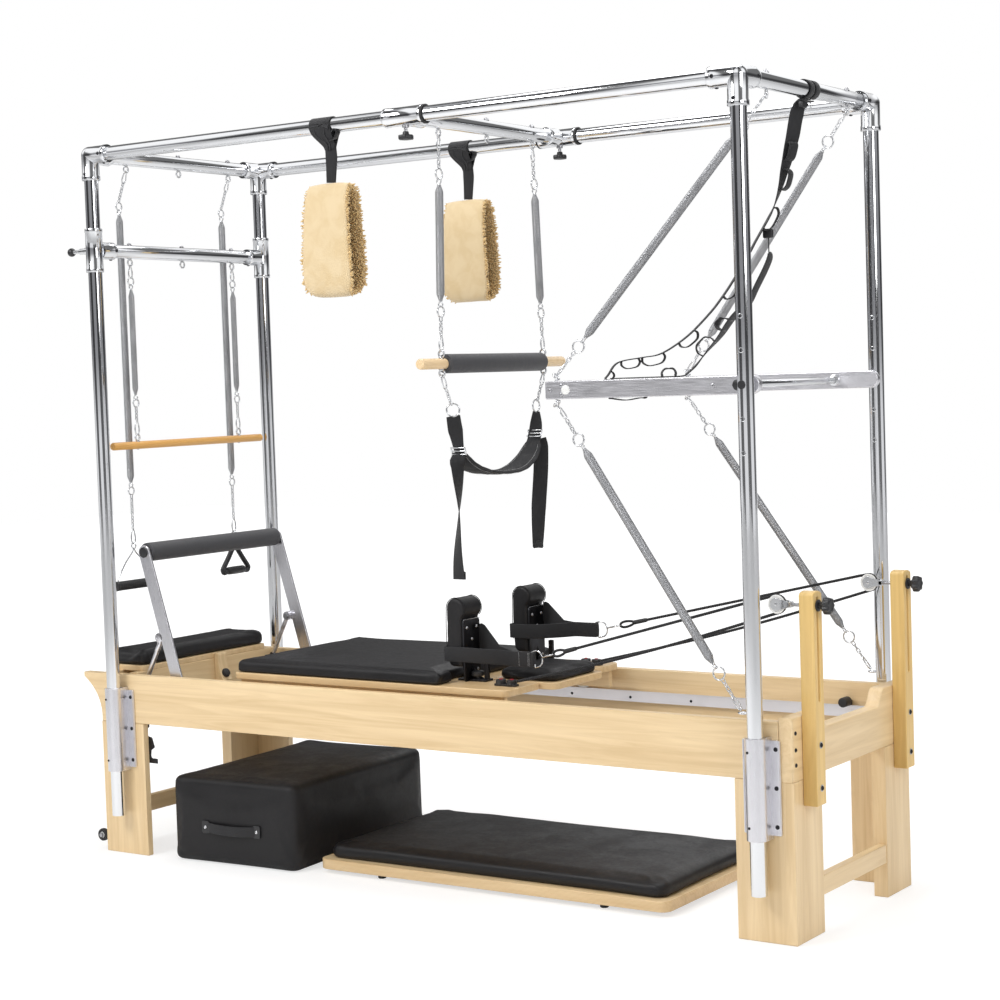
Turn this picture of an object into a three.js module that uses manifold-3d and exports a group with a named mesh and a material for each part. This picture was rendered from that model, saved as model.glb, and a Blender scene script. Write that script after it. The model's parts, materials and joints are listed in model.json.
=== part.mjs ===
// Pilates reformer with a full trapeze frame: a wooden bed with a sliding carriage, under a
// four-post tube frame that carries bars, springs, loops and straps. A box and a padded board
// stand below it.
// Millimetres. +X runs from the foot end to the head end, +Y from front to back, +Z up.
// The origin is on the floor, under the middle of the frame.

import * as THREE from "three";
import { mergeVertices } from "three/addons/utils/BufferGeometryUtils.js";
import Module from "manifold-3d";

const wasm = await Module();
wasm.setup();

// Clearances
const GAP = 0.3; // between pieces that touch
const OVERRUN = 2; // how far a cutter passes the face it cuts
const EMBED = 1.5; // how deep a joined piece sinks into what carries it

// Tube frame
const POST_SPACING = 2210; // upright axes along the bed
const POST_WIDTH = 770; // upright axes across the bed
const TUBE_RADIUS = 21;
const TUBE_FOOT_Z = 127;
const TOP_AXIS_Z = 2150;
const SOCKET_RADIUS = 27.5; // corner fitting
const SOCKET_REACH = 76;
const SOCKET_FLOOR = 32;
const SET_SCREW_RADIUS = 4;
const SET_SCREW_HEIGHT = 3;
const SOCKET_SCREW_SHARE = 0.78;

// Bed
const BED_WIDTH = 700; // over the outer faces of the rails
const RAIL_THICKNESS = 28;
const RAIL_HEIGHT = 150;
const LEG_HEIGHT = 410;
const HEAD_OVERHANG = 85; // head face past the upright axis
const FOOT_OVERHANG = 92;
const EAR_REACH = 71;
const EAR_LIP = 14;
const END_BOARD = 40;
const END_BOARD_RISE = 10;
const SCOOP_DEPTH = 46;
const SCOOP_FLAT_HALF = 150;
const SCOOP_RUN = 50;
const LEG_WIDTH = 176; // side board of a foot leg
const HEAD_LEG_WIDTH = 165;
const LEG_BOARD = 20;
const LEG_RETURN = 155;
const STRETCHER_Z = 95;
const STRETCHER_HEIGHT = 50;
const STRETCHER_THICKNESS = 26;
const TRACK_BOTTOM = 55; // above the rail's lower edge
const TRACK_HEIGHT = 30;
const TRACK_DEPTH = 14;
const HOOK_RACK_HEIGHT = 124;
const HOOK_RACK_REACH = 32; // past the leg's inner edge
const HOOK_RACK_ROOT = 40;
const HOOK_RACK_THICKNESS = 5;
const BUFFER_LENGTH = 38;
const BUFFER_INSET = 118; // head-end carriage stop, from the end board

// Foot platform
const PLATFORM_WIDTH = 166;
const PLATFORM_LENGTH = 580;
const PLATFORM_BOARD = 18;
const PLATFORM_RISE = 2; // above the rails
const PLATFORM_INSET = 36; // its outer edge past the foot legs' outer face
const PLATFORM_WALL = 30;
const PLATFORM_WALL_DROP = 130;
const PAD_THICKNESS = 46;
const PAD_CORNER = 28; // corner radius of the flat cushions
const PAD_DRAW_IN = 4; // how far their sides pull in between the corners
const GUSSET_THICKNESS = 42;
const GUSSET_Y = 52;
const GUSSET_HEIGHT = 90;
const GUSSET_REACH = 40;

// Clamp brackets that hold the uprights
const CLAMP_BOTTOM_Z = 266;
const CLAMP_HEIGHT = 257;
const CLAMP_WIDTH = 104;
const CLAMP_PLATE = 6;
const CLAMP_SLEEVE = 6; // wall round the tube
const CLAMP_FLANGE_INSET = 9;
const BOLT_RADIUS = 5.5;
const BOLT_HEIGHT = 4;
const CLAMP_BOLT_SHARES = [0.12, 0.5, 0.88];

// Transport wheels
const WHEEL_RADIUS = 19.5;
const WHEEL_WIDTH = 16;
const WHEEL_Z = 46;
const WHEEL_GAP = 6; // from the legs' outer face
const AXLE_RADIUS = 4;
const WHEEL_EAR = 5;

// Riser posts, pulleys and ropes
const RISER_Y = 275;
const RISER_WIDTH = 50;
const RISER_THICKNESS = 40;
const RISER_DROP = 65; // lower end below the rails' lower edge
const RISER_RISE = 325; // upper end above the rails' top
const SLOT_WIDTH = 10;
const SLOT_TOP_DROP = 18;
const SLOT_LENGTH = 262;
const PULLEY_DROP = 40; // below the post's top
const PULLEY_REACH = 70; // pulley axis from the post's inner face
const PULLEY_RADIUS = 24;
const GROOVE_DEPTH = 6;
const PULLEY_WIDTH = 14;
const CHEEK_THICKNESS = 2.5;
const CHEEK_RADIUS = 17;
const STUD_RADIUS = 4.6;
const KNOB_RADIUS = 22;
const KNOB_THICKNESS = 20;
const KNOB_LOBES = 7;
const FITTING_SIDES = 10;
const KNOB_STANDOFF = 18;
const WASHER_RADIUS = 15;
const WASHER_THICKNESS = 4;
const ROPE_RADIUS = 3.5;
const ROPE_SIDES = 8;

// Carriage
const CARRIAGE_LENGTH = 992;
const CARRIAGE_WIDTH = 600;
const CARRIAGE_START = 415; // from the foot-end uprights
const CARRIAGE_BOARD = 20;
const CARRIAGE_RISE = 2; // board's lower face above the rails
const CARRIAGE_SKIRT = 18;
const CARRIAGE_SKIRT_INSET = 16;
const SKIRT_DROP = 52;
const ROLLER_WIDTH = 10;
const ROLLER_SHARES = [0.14, 0.86];
const CUSHION_LENGTH = 762;
const CUSHION_THICKNESS = 38;
const HEADREST_BOARD_LENGTH = 216;
const HEADREST_WIDTH = 258;
const HEADREST_CUT_START = 824; // from the carriage's foot end
const HEADREST_PAD_THICKNESS = 34;
const HEADREST_PAD_INSET = 12;
const HINGE_GAP = 4;
const HINGE_SHARE = 0.25; // each knuckle's length in the headrest's width
const REST_WIDTH = 95;
const REST_Y = 167;
const REST_START = 732; // from the carriage's foot end
const REST_PAD = 52;
const REST_BOTTOM = 42; // above the carriage board
const REST_HEIGHT = 196;
const REST_ROLL_RADIUS = 32;
const REST_ROLL_OVERHANG = 13; // past the pad's back
const REST_PLATE = 6;
const REST_PLATE_HEIGHT = 176;
const REST_BASE = 62;
const STRAP_HEIGHT = 42;
const STRAP_THICKNESS = 4;
const STRAP_REACH = 230;
const STRAP_RISE = [16, 42]; // front and back strap above the foot of the pad
const RING_LIFT = [-6, 10]; // front and back ring above the middle of the strap
const RING_RADIUS = 17;
const RING_WIRE = 2.2;
const CLEAT_X = 905; // from the carriage's foot end
const CLEAT_Y = 222;
const CLEAT_LENGTH = 72;
const CLEAT_HEIGHT = 18;
const CLEAT_WIDTH = 24;
const CLEAT_CAMS = 2;

// Carriage springs below the carriage
const SPRING_BAR_INSET = 120; // from the foot-end uprights
const SPRING_BAR_DEPTH = 26;
const SPRING_BAR_HEIGHT = 14;
const SPRING_BAR_DROP = 8; // below the tracks
const BED_SPRINGS = 4;
const BED_SPRING_PITCH = 86;
const BED_SPRING_RADIUS = 11;
const BED_SPRING_STEM = 30;

// Footbar
const FOOTBAR_INSET = 205; // its pivot, from the foot-end uprights
const FOOTBAR_PIVOT_DROP = 40; // below the rails' top
const FOOTBAR_HEIGHT = 416;
const FOOTBAR_LEAN = 124;
const FOOTBAR_ARM_WIDTH = 44;
const FOOTBAR_ARM = 8;
const FOOTBAR_ARM_Y = 313; // outer face of an arm
const FOOTBAR_TUBE_RADIUS = 16;
const GRIP_RADIUS = 29;
const GRIP_LENGTH = 600;
const PIVOT_RADIUS = 6;
const STRUT_PIVOT_SHARE = 0.39; // up the arm
const STRUT_PIVOT_OFFSET = -30; // square to the arm, towards the foot end
const STRUT_RADIUS = 9;
const STRUT_EYE_RADIUS = 15;
const STRUT_EYE_WIDTH = 15;
const STRUT_PIN_RADIUS = 7;
const STRUT_SIDES = 10;
const STRUT_LENGTH = 150;
const STRUT_LEAN = 28; // degrees from upright
const SEAT_DEPTH = 32;
const SEAT_WIDTH = 40;

// Push-through bar
const PUSH_BAR_Z = 1397;
const PUSH_BAR_REACH = 605;
const PUSH_ARM_HEIGHT = 47;
const PUSH_ARM = 20;
const PUSH_ARM_GAP = 4; // from the uprights
const PUSH_SHAFT_RADIUS = 10;
const PUSH_SHAFT_X = 105; // from the pivot
const PUSH_END_TUBE_RADIUS = 16;
const PUSH_END_X = 30; // end tube from the free end
const PUSH_PIN_RADIUS = 8;
const PUSH_KNOB_X = 36;
const PUSH_KNOB_RADIUS = 14;
const PUSH_KNOB_HEIGHT = 3;
const HOLE_RADIUS = 5;
const HOLE_PITCH = 84;
const HOLE_COUNT = 3;
const LOWER_EYE_Z = 583; // eyes on the head uprights

// Lower crossbar at the foot end
const CROSSBAR_Z = 1863;
const TEE_HEIGHT = 132;
const TEE_WALL = 5;
const BALL_RADIUS = 13;
const PLUNGER_RADIUS = 6;
const PLUNGER_REACH = 97;

// Sliding bar between the top rails
const SLIDER_X = 93;
const COLLAR_LENGTH = 142;
const COLLAR_WALL = 5;
const COLLAR_KNOB_DROP = 38;
const COLLAR_KNOB_RADIUS = 22;
const COLLAR_KNOB_HEIGHT = 16;

// Eyes, links and springs
const TUBE_SIDES = 12;
const EYE_RADIUS = 9; // middle of the wire
const EYE_WIRE = 2.8;
const LINK_RADIUS = 9;
const LINK_WIRE = 2;
const LINK_SEGMENTS = 6;
const LINK_SIDES = 3;
const LINK_PLAY = 1; // between linked rings
const EYE_SPREAD = 235; // side eyes from the middle
const NUT_RADIUS = 6;
const NUT_HEIGHT = 7;
const SPRING_RADIUS = 11.5; // outside of the coils
const SPRING_WIRE = 2.2;
const TAPER_RADIUS_SHARE = 0.4;
const PUSH_COIL_SHARE = { upper: 0.73, lower: 0.71 }; // coil in the length between its links
const BIG_RING_RADIUS = 17;
const BIG_RING_WIRE = 2.2;
const SMALL_RING_RADIUS = 12;
const CHAIN_WIRE = 2.4;

// Trapeze
const TRAPEZE_Z = 1479;
const TRAPEZE_COIL_TOP_Z = 1974;
const TRAPEZE_COIL = 322;
const TRAPEZE_BAR_LENGTH = 720;
const TRAPEZE_BAR_RADIUS = 15;
const SLEEVE_RADIUS = 27;
const SLEEVE_LENGTH = 490;
const SLING_DROP = 130; // rings below the bar
const SLING_RING_Y = 211;
const SLING_DEPTH = 186; // lowest point below the rings
const SLING_PAD_WIDTH = 90;
const SLING_PAD_THICKNESS = 12;
const TAIL_WIDTH = 44;
const TAIL_THICKNESS = 4;
const FRONT_TAIL = 360;
const BACK_TAIL = 330;

// Roll-down bar and handles at the foot end
const ROLL_BAR_Z = 1264;
const ROLL_COIL_TOP_Z = 1746;
const ROLL_COIL = 325;
const ROLL_BAR_LENGTH = 690;
const ROLL_BAR_RADIUS = 12;
const HANDLE_HANG_X = 37; // springs stand outside the crossbar
const HANDLE_SPRING_TOP_Z = 1980;
const HANDLE_SPRING_LENGTH = 833;
const HANDLE_APEX_Z = 940;
const HANDLE_GRIP_Z = 828;
const GRIP_HANDLE_LENGTH = 170;
const GRIP_HANDLE_RADIUS = 14;
const D_HANDLE_WIDTH = 128;
const D_HANDLE_DEPTH = 26;

// Sheepskin loops
const LOOP_X = [-172, -250]; // front rail, back rail
const LOOP_TOP_Z = 1995;
const LOOP_HEIGHT = 325;
const LOOP_WIDTH = 160;
const LOOP_DEPTH = 104;
const LOOP_WALL = 22;
const HANGER_WIDTH = 72; // round the tube
const HANGER_NECK = 34;
const HANGER_THICKNESS = 3;

// Looped stretch strap over the push-through bar
const LADDER_WIDTH = 26;
const LADDER_THICKNESS = 5;
const LADDER_LOOP_STEP_COUNT = 3; // route steps between loops
const LADDER_END_X = 425; // strap's end on the arm, from the pivot

// Box and padded board on the floor
const BOX_LENGTH = 700;
const BOX_WIDTH = 475;
const BOX_HEIGHT = 262;
const BOX_CENTRE_X = -703;
const BOX_CENTRE_Y = 10;
const BOX_ROUND = 34;
const BOX_TURN = 3; // degrees
const BOX_HANDLE_STAND = 12;
const BOX_HANDLE_WIDTH = 30;
const BOARD_LENGTH = 1170;
const BOARD_WIDTH = 608;
const BOARD_CENTRE_X = 180;
const BOARD_CENTRE_Y = 31;
const BOARD_FOOT = 13;
const BOARD_FOOT_RADIUS = 9;
const BOARD_PLY = 30;
const BOARD_PAD = 48;
const BOARD_CORNER = 40;
const BOARD_TURN = 0.8; // degrees

// Places that follow from the sizes
const POST_X = POST_SPACING / 2;
const CARRIAGE_START_X = CARRIAGE_START - POST_X;
const SPRING_BAR_X = SPRING_BAR_INSET - POST_X;
const FOOTBAR_PIVOT_X = FOOTBAR_INSET - POST_X;
const POST_Y = POST_WIDTH / 2;
const RAIL_OUT_Y = BED_WIDTH / 2;
const RAIL_IN_Y = RAIL_OUT_Y - RAIL_THICKNESS;
const RAIL_TOP_Z = LEG_HEIGHT + RAIL_HEIGHT;
const HEAD_FACE_X = POST_X + HEAD_OVERHANG;
const HEAD_INNER_X = HEAD_FACE_X - END_BOARD;
const FOOT_FACE_X = -POST_X - FOOT_OVERHANG;
const EAR_TIP_X = FOOT_FACE_X - EAR_REACH;
const TRACK_TOP_Z = LEG_HEIGHT + TRACK_BOTTOM + TRACK_HEIGHT;
const CARRIAGE_TOP_Z = RAIL_TOP_Z + CARRIAGE_RISE + CARRIAGE_BOARD;
const TOP_EYE_Z = TOP_AXIS_Z - TUBE_RADIUS - EYE_RADIUS - EYE_WIRE;
const CROSSBAR_EYE_Z = CROSSBAR_Z - TUBE_RADIUS - EYE_RADIUS - EYE_WIRE;
const LINK_REACH = EYE_RADIUS - EYE_WIRE - LINK_WIRE - LINK_PLAY + LINK_RADIUS;
const RISER_BOTTOM_Z = LEG_HEIGHT - RISER_DROP;
const RISER_TOP_Z = RAIL_TOP_Z + RISER_RISE;
const FOOTBAR_PIVOT_Z = RAIL_TOP_Z - FOOTBAR_PIVOT_DROP;
const PULLEY_Z = RISER_TOP_Z - PULLEY_DROP;
const PULLEY_X = HEAD_FACE_X - PULLEY_REACH;
const ROPE_LINE_RADIUS = PULLEY_RADIUS - GROOVE_DEPTH + ROPE_RADIUS + GAP;
const PUSH_ARM_OUT_Y = POST_Y - TUBE_RADIUS - PUSH_ARM_GAP;
const PUSH_ARM_Y = PUSH_ARM_OUT_Y - PUSH_ARM / 2;
const PUSH_FREE_X = POST_X - PUSH_BAR_REACH;
const TRAPEZE_EYE_Y = SLEEVE_LENGTH / 2 + EYE_RADIUS + EYE_WIRE;
const HANDLE_X = -POST_X - HANDLE_HANG_X;
const HANDLE_RING_Z = HANDLE_SPRING_TOP_Z + 2 * SMALL_RING_RADIUS + 2 * SPRING_WIRE;
const FOOT_PLATE_X = FOOT_FACE_X - PLATFORM_INSET + PLATFORM_WIDTH;
const STRUT_Y = FOOTBAR_ARM_Y - FOOTBAR_ARM - GAP - STRUT_EYE_WIDTH / 2;
const WHEEL_X = FOOT_FACE_X - WHEEL_GAP - WHEEL_RADIUS;
const WHEEL_OUT_Y = RAIL_OUT_Y - EMBED;
const CARRIAGE_END_X = CARRIAGE_START_X + CARRIAGE_LENGTH;
const CARRIAGE_FLOOR_Z = RAIL_TOP_Z + CARRIAGE_RISE;
const HEADREST_X = CARRIAGE_START_X + HEADREST_CUT_START;
const REST_BACK_X = CARRIAGE_START_X + REST_START + REST_PAD;
const SIDES = [-1, 1];
const UP = new THREE.Vector3(0, 0, 1);
const ALONG_X = new THREE.Vector3(1, 0, 0);
const ALONG_Y = new THREE.Vector3(0, 1, 0);
const DEGREE = Math.PI / 180;
const MERGE_DISTANCE = 1e-4;
const SIMPLIFY_DISTANCE = 0.05;

const at = (x, y, z) => new THREE.Vector3(x, y, z);
const sideName = (side) => (side < 0 ? "front" : "back");

// Materials
const COLOURS = {
  maple: [0xecd2a0, 0.55, 0],
  yellowMaple: [0xe6c078, 0.5, 0],
  chrome: [0xd9dbe0, 0.12, 1],
  aluminium: [0xc9c8d2, 0.35, 0.8],
  steel: [0x9a9ca0, 0.3, 0.9],
  blackPlastic: [0x1a1a1c, 0.45, 0],
  blackVinyl: [0x2b2a2d, 0.5, 0],
  foam: [0x3a3a3e, 0.8, 0],
  webbing: [0x17171a, 0.85, 0],
  rope: [0x1b1b1d, 0.9, 0],
  sheepskin: [0xf0d9a8, 0.95, 0],
  rollWood: [0xe0a04a, 0.45, 0],
};

// A group of pieces that move or stand together. Its origin is given in the table's frame, and
// is its joint's axis where it has one, so that turning or moving the group moves the pieces.
function assembly(parent, origin = at(0, 0, 0)) {
  const group = new THREE.Group();
  group.position.copy(origin).sub(originOf(parent));
  parent.add(group);
  return group;
}

function originOf(group) {
  group.updateWorldMatrix(true, false);
  return at(0, 0, 0).setFromMatrixPosition(group.matrixWorld);
}

// A piece whose form is drawn in its group's own frame
function addLocalPiece(group, name, geometry, colour) {
  const [color, roughness, metalness] = COLOURS[colour];
  const material = new THREE.MeshStandardMaterial({ color, roughness, metalness });
  const mesh = new THREE.Mesh(geometry, material);
  mesh.name = name;
  group.add(mesh);
}

// A piece whose form is drawn in the table's frame
function addPiece(group, name, geometry, colour) {
  const origin = originOf(group);
  geometry.translate(-origin.x, -origin.y, -origin.z);
  addLocalPiece(group, name, geometry, colour);
}

const table = new THREE.Group();
const bed = assembly(table);
const tubeFrame = assembly(table);
const carriage = assembly(bed, at(CARRIAGE_START_X, 0, CARRIAGE_FLOOR_Z));
const crossbar = assembly(tubeFrame, at(-POST_X, 0, CROSSBAR_Z));
const slider = assembly(tubeFrame, at(SLIDER_X, 0, TOP_AXIS_Z));

// Solids: closed meshes turned into something that can be joined and cut

function welded(geometry) {
  const bare = geometry.clone();
  for (const name of Object.keys(bare.attributes)) {
    if (name !== "position") bare.deleteAttribute(name);
  }
  return mergeVertices(bare, MERGE_DISTANCE);
}

function solidOf(geometry) {
  const merged = welded(geometry);
  const corners = merged.index.array;
  const kept = [];
  for (let i = 0; i < corners.length; i += 3) {
    const [a, b, c] = [corners[i], corners[i + 1], corners[i + 2]];
    if (a !== b && b !== c && c !== a) kept.push(a, b, c);
  }
  const vertProperties = merged.attributes.position.array;
  if (signedVolume(vertProperties, kept) < 0) kept.reverse();
  return new wasm.Manifold(
    new wasm.Mesh({ numProp: 3, vertProperties, triVerts: Uint32Array.from(kept) }),
  );
}

function signedVolume(points, corners) {
  let volume = 0;
  const [a, b, c] = [at(0, 0, 0), at(0, 0, 0), at(0, 0, 0)];
  for (let i = 0; i < corners.length; i += 3) {
    a.fromArray(points, 3 * corners[i]);
    b.fromArray(points, 3 * corners[i + 1]);
    c.fromArray(points, 3 * corners[i + 2]);
    volume += a.dot(b.cross(c));
  }
  return volume;
}

function join(...geometries) {
  return geometryOf(geometries.map(solidOf).reduce((a, b) => a.add(b)));
}

function cut(body, ...tools) {
  return geometryOf(tools.map(solidOf).reduce((a, b) => a.subtract(b), solidOf(body)));
}

function geometryOf(solid) {
  const mesh = solid.asOriginal().simplify(SIMPLIFY_DISTANCE).getMesh();
  const geometry = new THREE.BufferGeometry();
  const points = new Float32Array(mesh.vertProperties);
  geometry.setAttribute("position", new THREE.BufferAttribute(points, 3));
  geometry.setIndex(Array.from(mesh.triVerts));
  return geometry;
}

// Forms

function outline(points) {
  return new THREE.Shape(points.map(([u, v]) => new THREE.Vector2(u, v)));
}

function rectangle(u0, u1, v0, v1) {
  return outline([
    [u0, v0],
    [u1, v0],
    [u1, v1],
    [u0, v1],
  ]);
}

// A rectangle with round corners, centred on the origin
function roundedRectangle(width, height, radius, cornerSteps = 4) {
  const points = [];
  for (let corner = 0; corner < 4; corner++) {
    const cu = (corner === 0 || corner === 3 ? 1 : -1) * (width / 2 - radius);
    const cv = (corner < 2 ? 1 : -1) * (height / 2 - radius);
    for (let step = 0; step <= cornerSteps; step++) {
      const angle = (corner + step / cornerSteps) * 90 * DEGREE;
      points.push([cu + radius * Math.cos(angle), cv + radius * Math.sin(angle)]);
    }
  }
  return points;
}

function prism(shape, depth) {
  return new THREE.ExtrudeGeometry(shape, { depth, bevelEnabled: false, curveSegments: 6 });
}

// An outline in X and Y, raised from one height to another
function slab(shape, z0, z1) {
  return prism(shape, z1 - z0).translate(0, 0, z0);
}

// An outline in X and Z, with its thickness along Y
function boardAcross(shape, y0, y1) {
  return prism(shape, y1 - y0)
    .rotateX(90 * DEGREE)
    .translate(0, y1, 0);
}

// An outline in Y and Z, with its thickness along X
function boardAlong(shape, x0, x1) {
  const turn = new THREE.Matrix4().makeBasis(ALONG_Y, UP, ALONG_X);
  return prism(shape, x1 - x0)
    .applyMatrix4(turn)
    .translate(x0, 0, 0);
}

function block(x0, x1, y0, y1, z0, z1) {
  return slab(rectangle(x0, x1, y0, y1), z0, z1);
}

// A turned form: the profile gives radius and distance along the axis, from axis to axis
function turned(profile, start, axis, sides = TUBE_SIDES) {
  const points = profile.map(([r, d]) => new THREE.Vector2(r, d));
  const turn = new THREE.Quaternion().setFromUnitVectors(ALONG_Y, axis.clone().normalize());
  return welded(new THREE.LatheGeometry(points, sides))
    .applyQuaternion(turn)
    .translate(start.x, start.y, start.z);
}

function rod(radius, start, end, sides = TUBE_SIDES) {
  const axis = end.clone().sub(start);
  const length = axis.length();
  const profile = [
    [0, 0],
    [radius, 0],
    [radius, length],
    [0, length],
  ];
  return turned(profile, start, axis, sides);
}

function ball(radius, centre, sides = 8, rings = 4) {
  const profile = [];
  for (let i = 0; i <= rings; i++) {
    const angle = (i / rings - 0.5) * 180 * DEGREE;
    const r = i === 0 || i === rings ? 0 : radius * Math.cos(angle);
    profile.push([r, radius * Math.sin(angle)]);
  }
  return turned(profile, centre, UP, sides);
}

// A screw head or nut: a short rod that sinks a little into its face
function head(radius, height, face, axis, sides = 6) {
  const start = face.clone().addScaledVector(axis, -EMBED);
  return rod(radius, start, face.clone().addScaledVector(axis, height), sides);
}

// A closed wire ring whose first corner lies along "towards"
function ring(radius, wire, centre, axis, towards, segments = LINK_SEGMENTS, sides = LINK_SIDES) {
  const w = axis.clone().normalize();
  const u = towards.clone().addScaledVector(w, -towards.dot(w)).normalize();
  const v = w.clone().cross(u);
  const rows = [];
  for (let i = 0; i <= segments; i++) {
    const angle = (i / segments) * 360 * DEGREE;
    const out = u.clone().multiplyScalar(Math.cos(angle)).addScaledVector(v, Math.sin(angle));
    const row = [];
    for (let j = 0; j < sides; j++) {
      const turn = (j / sides) * 360 * DEGREE;
      const point = centre.clone().addScaledVector(out, radius + wire * Math.cos(turn));
      row.push(point.addScaledVector(w, wire * Math.sin(turn)));
    }
    rows.push(row);
  }
  return skin(rows, false);
}

// A skin over rows of points, open or capped at its two ends
function skin(rows, capped = true) {
  const count = rows[0].length;
  const points = rows.flat().flatMap((p) => [p.x, p.y, p.z]);
  const faces = [];
  for (let i = 0; i + 1 < rows.length; i++) {
    for (let j = 0; j < count; j++) {
      const [a, b] = [i * count + j, i * count + ((j + 1) % count)];
      faces.push(a, b, b + count, a, b + count, a + count);
    }
  }
  if (capped) {
    for (const [row, flip] of [[0, true], [rows.length - 1, false]]) {
      const middle = rows[row].reduce((sum, p) => sum.add(p), at(0, 0, 0));
      middle.divideScalar(count);
      const hub = points.length / 3;
      points.push(middle.x, middle.y, middle.z);
      for (let j = 0; j < count; j++) {
        const [a, b] = [row * count + j, row * count + ((j + 1) % count)];
        faces.push(...(flip ? [b, a, hub] : [a, b, hub]));
      }
    }
  }
  const geometry = new THREE.BufferGeometry();
  geometry.setAttribute("position", new THREE.Float32BufferAttribute(points, 3));
  geometry.setIndex(faces);
  return geometryOf(solidOf(geometry));
}

// A route whose steps are its own points, so that bends can have more of them
class StepRoute extends THREE.Curve {
  constructor(points) {
    super();
    this.points = points;
  }

  getPoint(t, target = at(0, 0, 0)) {
    const place = t * (this.points.length - 1);
    const i = Math.min(Math.floor(place + MERGE_DISTANCE), this.points.length - 2);
    return target.lerpVectors(this.points[i], this.points[i + 1], place - i);
  }

  getPointAt(t, target) {
    return this.getPoint(t, target);
  }

  getTangentAt(t, target = at(0, 0, 0)) {
    const i = Math.round(t * (this.points.length - 1));
    target.set(0, 0, 0);
    for (const j of [i - 1, i]) {
      if (j < 0 || j > this.points.length - 2) continue;
      target.add(this.points[j + 1].clone().sub(this.points[j]).normalize());
    }
    return target.normalize();
  }
}

// A round cord through the points
function cord(points, radius, sides = ROPE_SIDES) {
  const section = [];
  for (let i = 0; i < sides; i++) {
    const angle = (i / sides) * 360 * DEGREE;
    section.push([radius * Math.cos(angle), radius * Math.sin(angle)]);
  }
  const extrudePath = new StepRoute(points);
  return new THREE.ExtrudeGeometry(outline(section), { steps: points.length - 1, extrudePath });
}

// A flat band along the points, its width along "across"
function band(points, across, width, thickness) {
  const rows = points.map((point, i) => {
    const before = points[Math.max(i - 1, 0)];
    const after = points[Math.min(i + 1, points.length - 1)];
    const wide = Array.isArray(across) ? across[i] : across;
    const normal = after.clone().sub(before).cross(wide).normalize();
    return [
      [-1, -1],
      [1, -1],
      [1, 1],
      [-1, 1],
    ].map(([a, b]) =>
      point
        .clone()
        .addScaledVector(wide, (a * width) / 2)
        .addScaledVector(normal, (b * thickness) / 2),
    );
  });
  return skin(rows);
}

// A stuffed pad: a rounded plan whose sides draw in between the corners, with a crowned top
function stuffedPad(length, width, thickness, corner, drawIn) {
  const levelShares = [
    [0, 0.12, 0],
    [0.16, 0, 0],
    [0.5, -0.05, 0],
    [0.82, 0.02, 0],
    [0.94, 0.16, 0],
    [1, 0.45, 0.35],
    [1.03, 1, 0.8],
  ];
  const plan = roundedRectangle(length, width, corner, 2);
  return skin(
    levelShares.map(([heightShare, insetShare, shrinkShare]) =>
      plan.map(([u, v]) => {
        const edgeU = 1 - Math.abs((2 * v) / width) ** 2;
        const edgeV = 1 - Math.abs((2 * u) / length) ** 2;
        const inset = insetShare * corner * 0.5;
        const shrink = 1 - shrinkShare;
        const side = Math.sign(u) * (drawIn * edgeU + inset) * (Math.abs(u) > length * 0.4);
        const end = Math.sign(v) * (drawIn * edgeV + inset) * (Math.abs(v) > width * 0.4);
        return at((u - side) * shrink, (v - end) * shrink, heightShare * thickness);
      }),
    ),
  );
}

// Links, eyes and springs

// An eye on a stem that hangs from a bar; "pull" is the way that the load pulls
function eye(centre, pull, stem, barPoint) {
  const axis = stemAxis(pull, stem);
  return [
    ring(EYE_RADIUS, EYE_WIRE, centre, axis, pull),
    rod(EYE_WIRE, barPoint, centre.clone().addScaledVector(stem, -EYE_RADIUS), 4),
  ];
}

// The eye ring's axis: square to the pull and to the stem
function stemAxis(pull, stem) {
  const axis = pull.clone().cross(stem);
  return axis.length() > 0.05 ? axis.normalize() : ALONG_Y.clone();
}

// Middle of the link that hangs in an eye
function linkCentre(eyeCentre, pull) {
  return eyeCentre.clone().addScaledVector(pull, LINK_REACH);
}

// A close-wound spring as a plain barrel between two thin stems
function barrel(start, end, stem, radius, sides = 8) {
  const axis = end.clone().sub(start);
  const length = axis.length();
  const taper = radius * 2;
  const profile = [
    [0, 0],
    [SPRING_WIRE, 0],
    [SPRING_WIRE, stem],
    [radius * TAPER_RADIUS_SHARE, stem],
    [radius, stem + taper],
    [radius, length - stem - taper],
    [radius * TAPER_RADIUS_SHARE, length - stem],
    [SPRING_WIRE, length - stem],
    [SPRING_WIRE, length],
    [0, length],
  ];
  return turned(profile, start, axis, sides);
}

// A spring with its rings, chains and end links, from one link's middle to the other's.
// "turn" is the way that the big rings face.
function springUnit(top, bottom, topAxis, bottomAxis, sizes) {
  const { ringRadius, coilStart, coilLength, radius } = sizes;
  const pull = bottom.clone().sub(top);
  const length = pull.length();
  pull.normalize();
  const along = (distance) => top.clone().addScaledVector(pull, distance);
  const facing = topAxis;
  const coilEnd = coilStart + coilLength;
  const firstRing = coilStart - ringRadius - 2 * SPRING_WIRE;
  const lastRing = coilEnd + ringRadius + 2 * SPRING_WIRE;
  const stemStart = along(firstRing + ringRadius);
  const stemEnd = along(lastRing - ringRadius);
  const away = pull.clone().negate();
  return join(
    ring(LINK_RADIUS, LINK_WIRE, top, topAxis, away),
    rod(CHAIN_WIRE, along(LINK_RADIUS), along(firstRing - ringRadius), 4),
    ring(ringRadius, BIG_RING_WIRE, along(firstRing), facing, pull, 8),
    barrel(stemStart, stemEnd, 2 * SPRING_WIRE, radius),
    ring(ringRadius, BIG_RING_WIRE, along(lastRing), facing, pull, 8),
    rod(CHAIN_WIRE, along(lastRing + ringRadius), along(length - LINK_RADIUS), 4),
    ring(LINK_RADIUS, LINK_WIRE, bottom, bottomAxis, pull),
  );
}

// The bed

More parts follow.
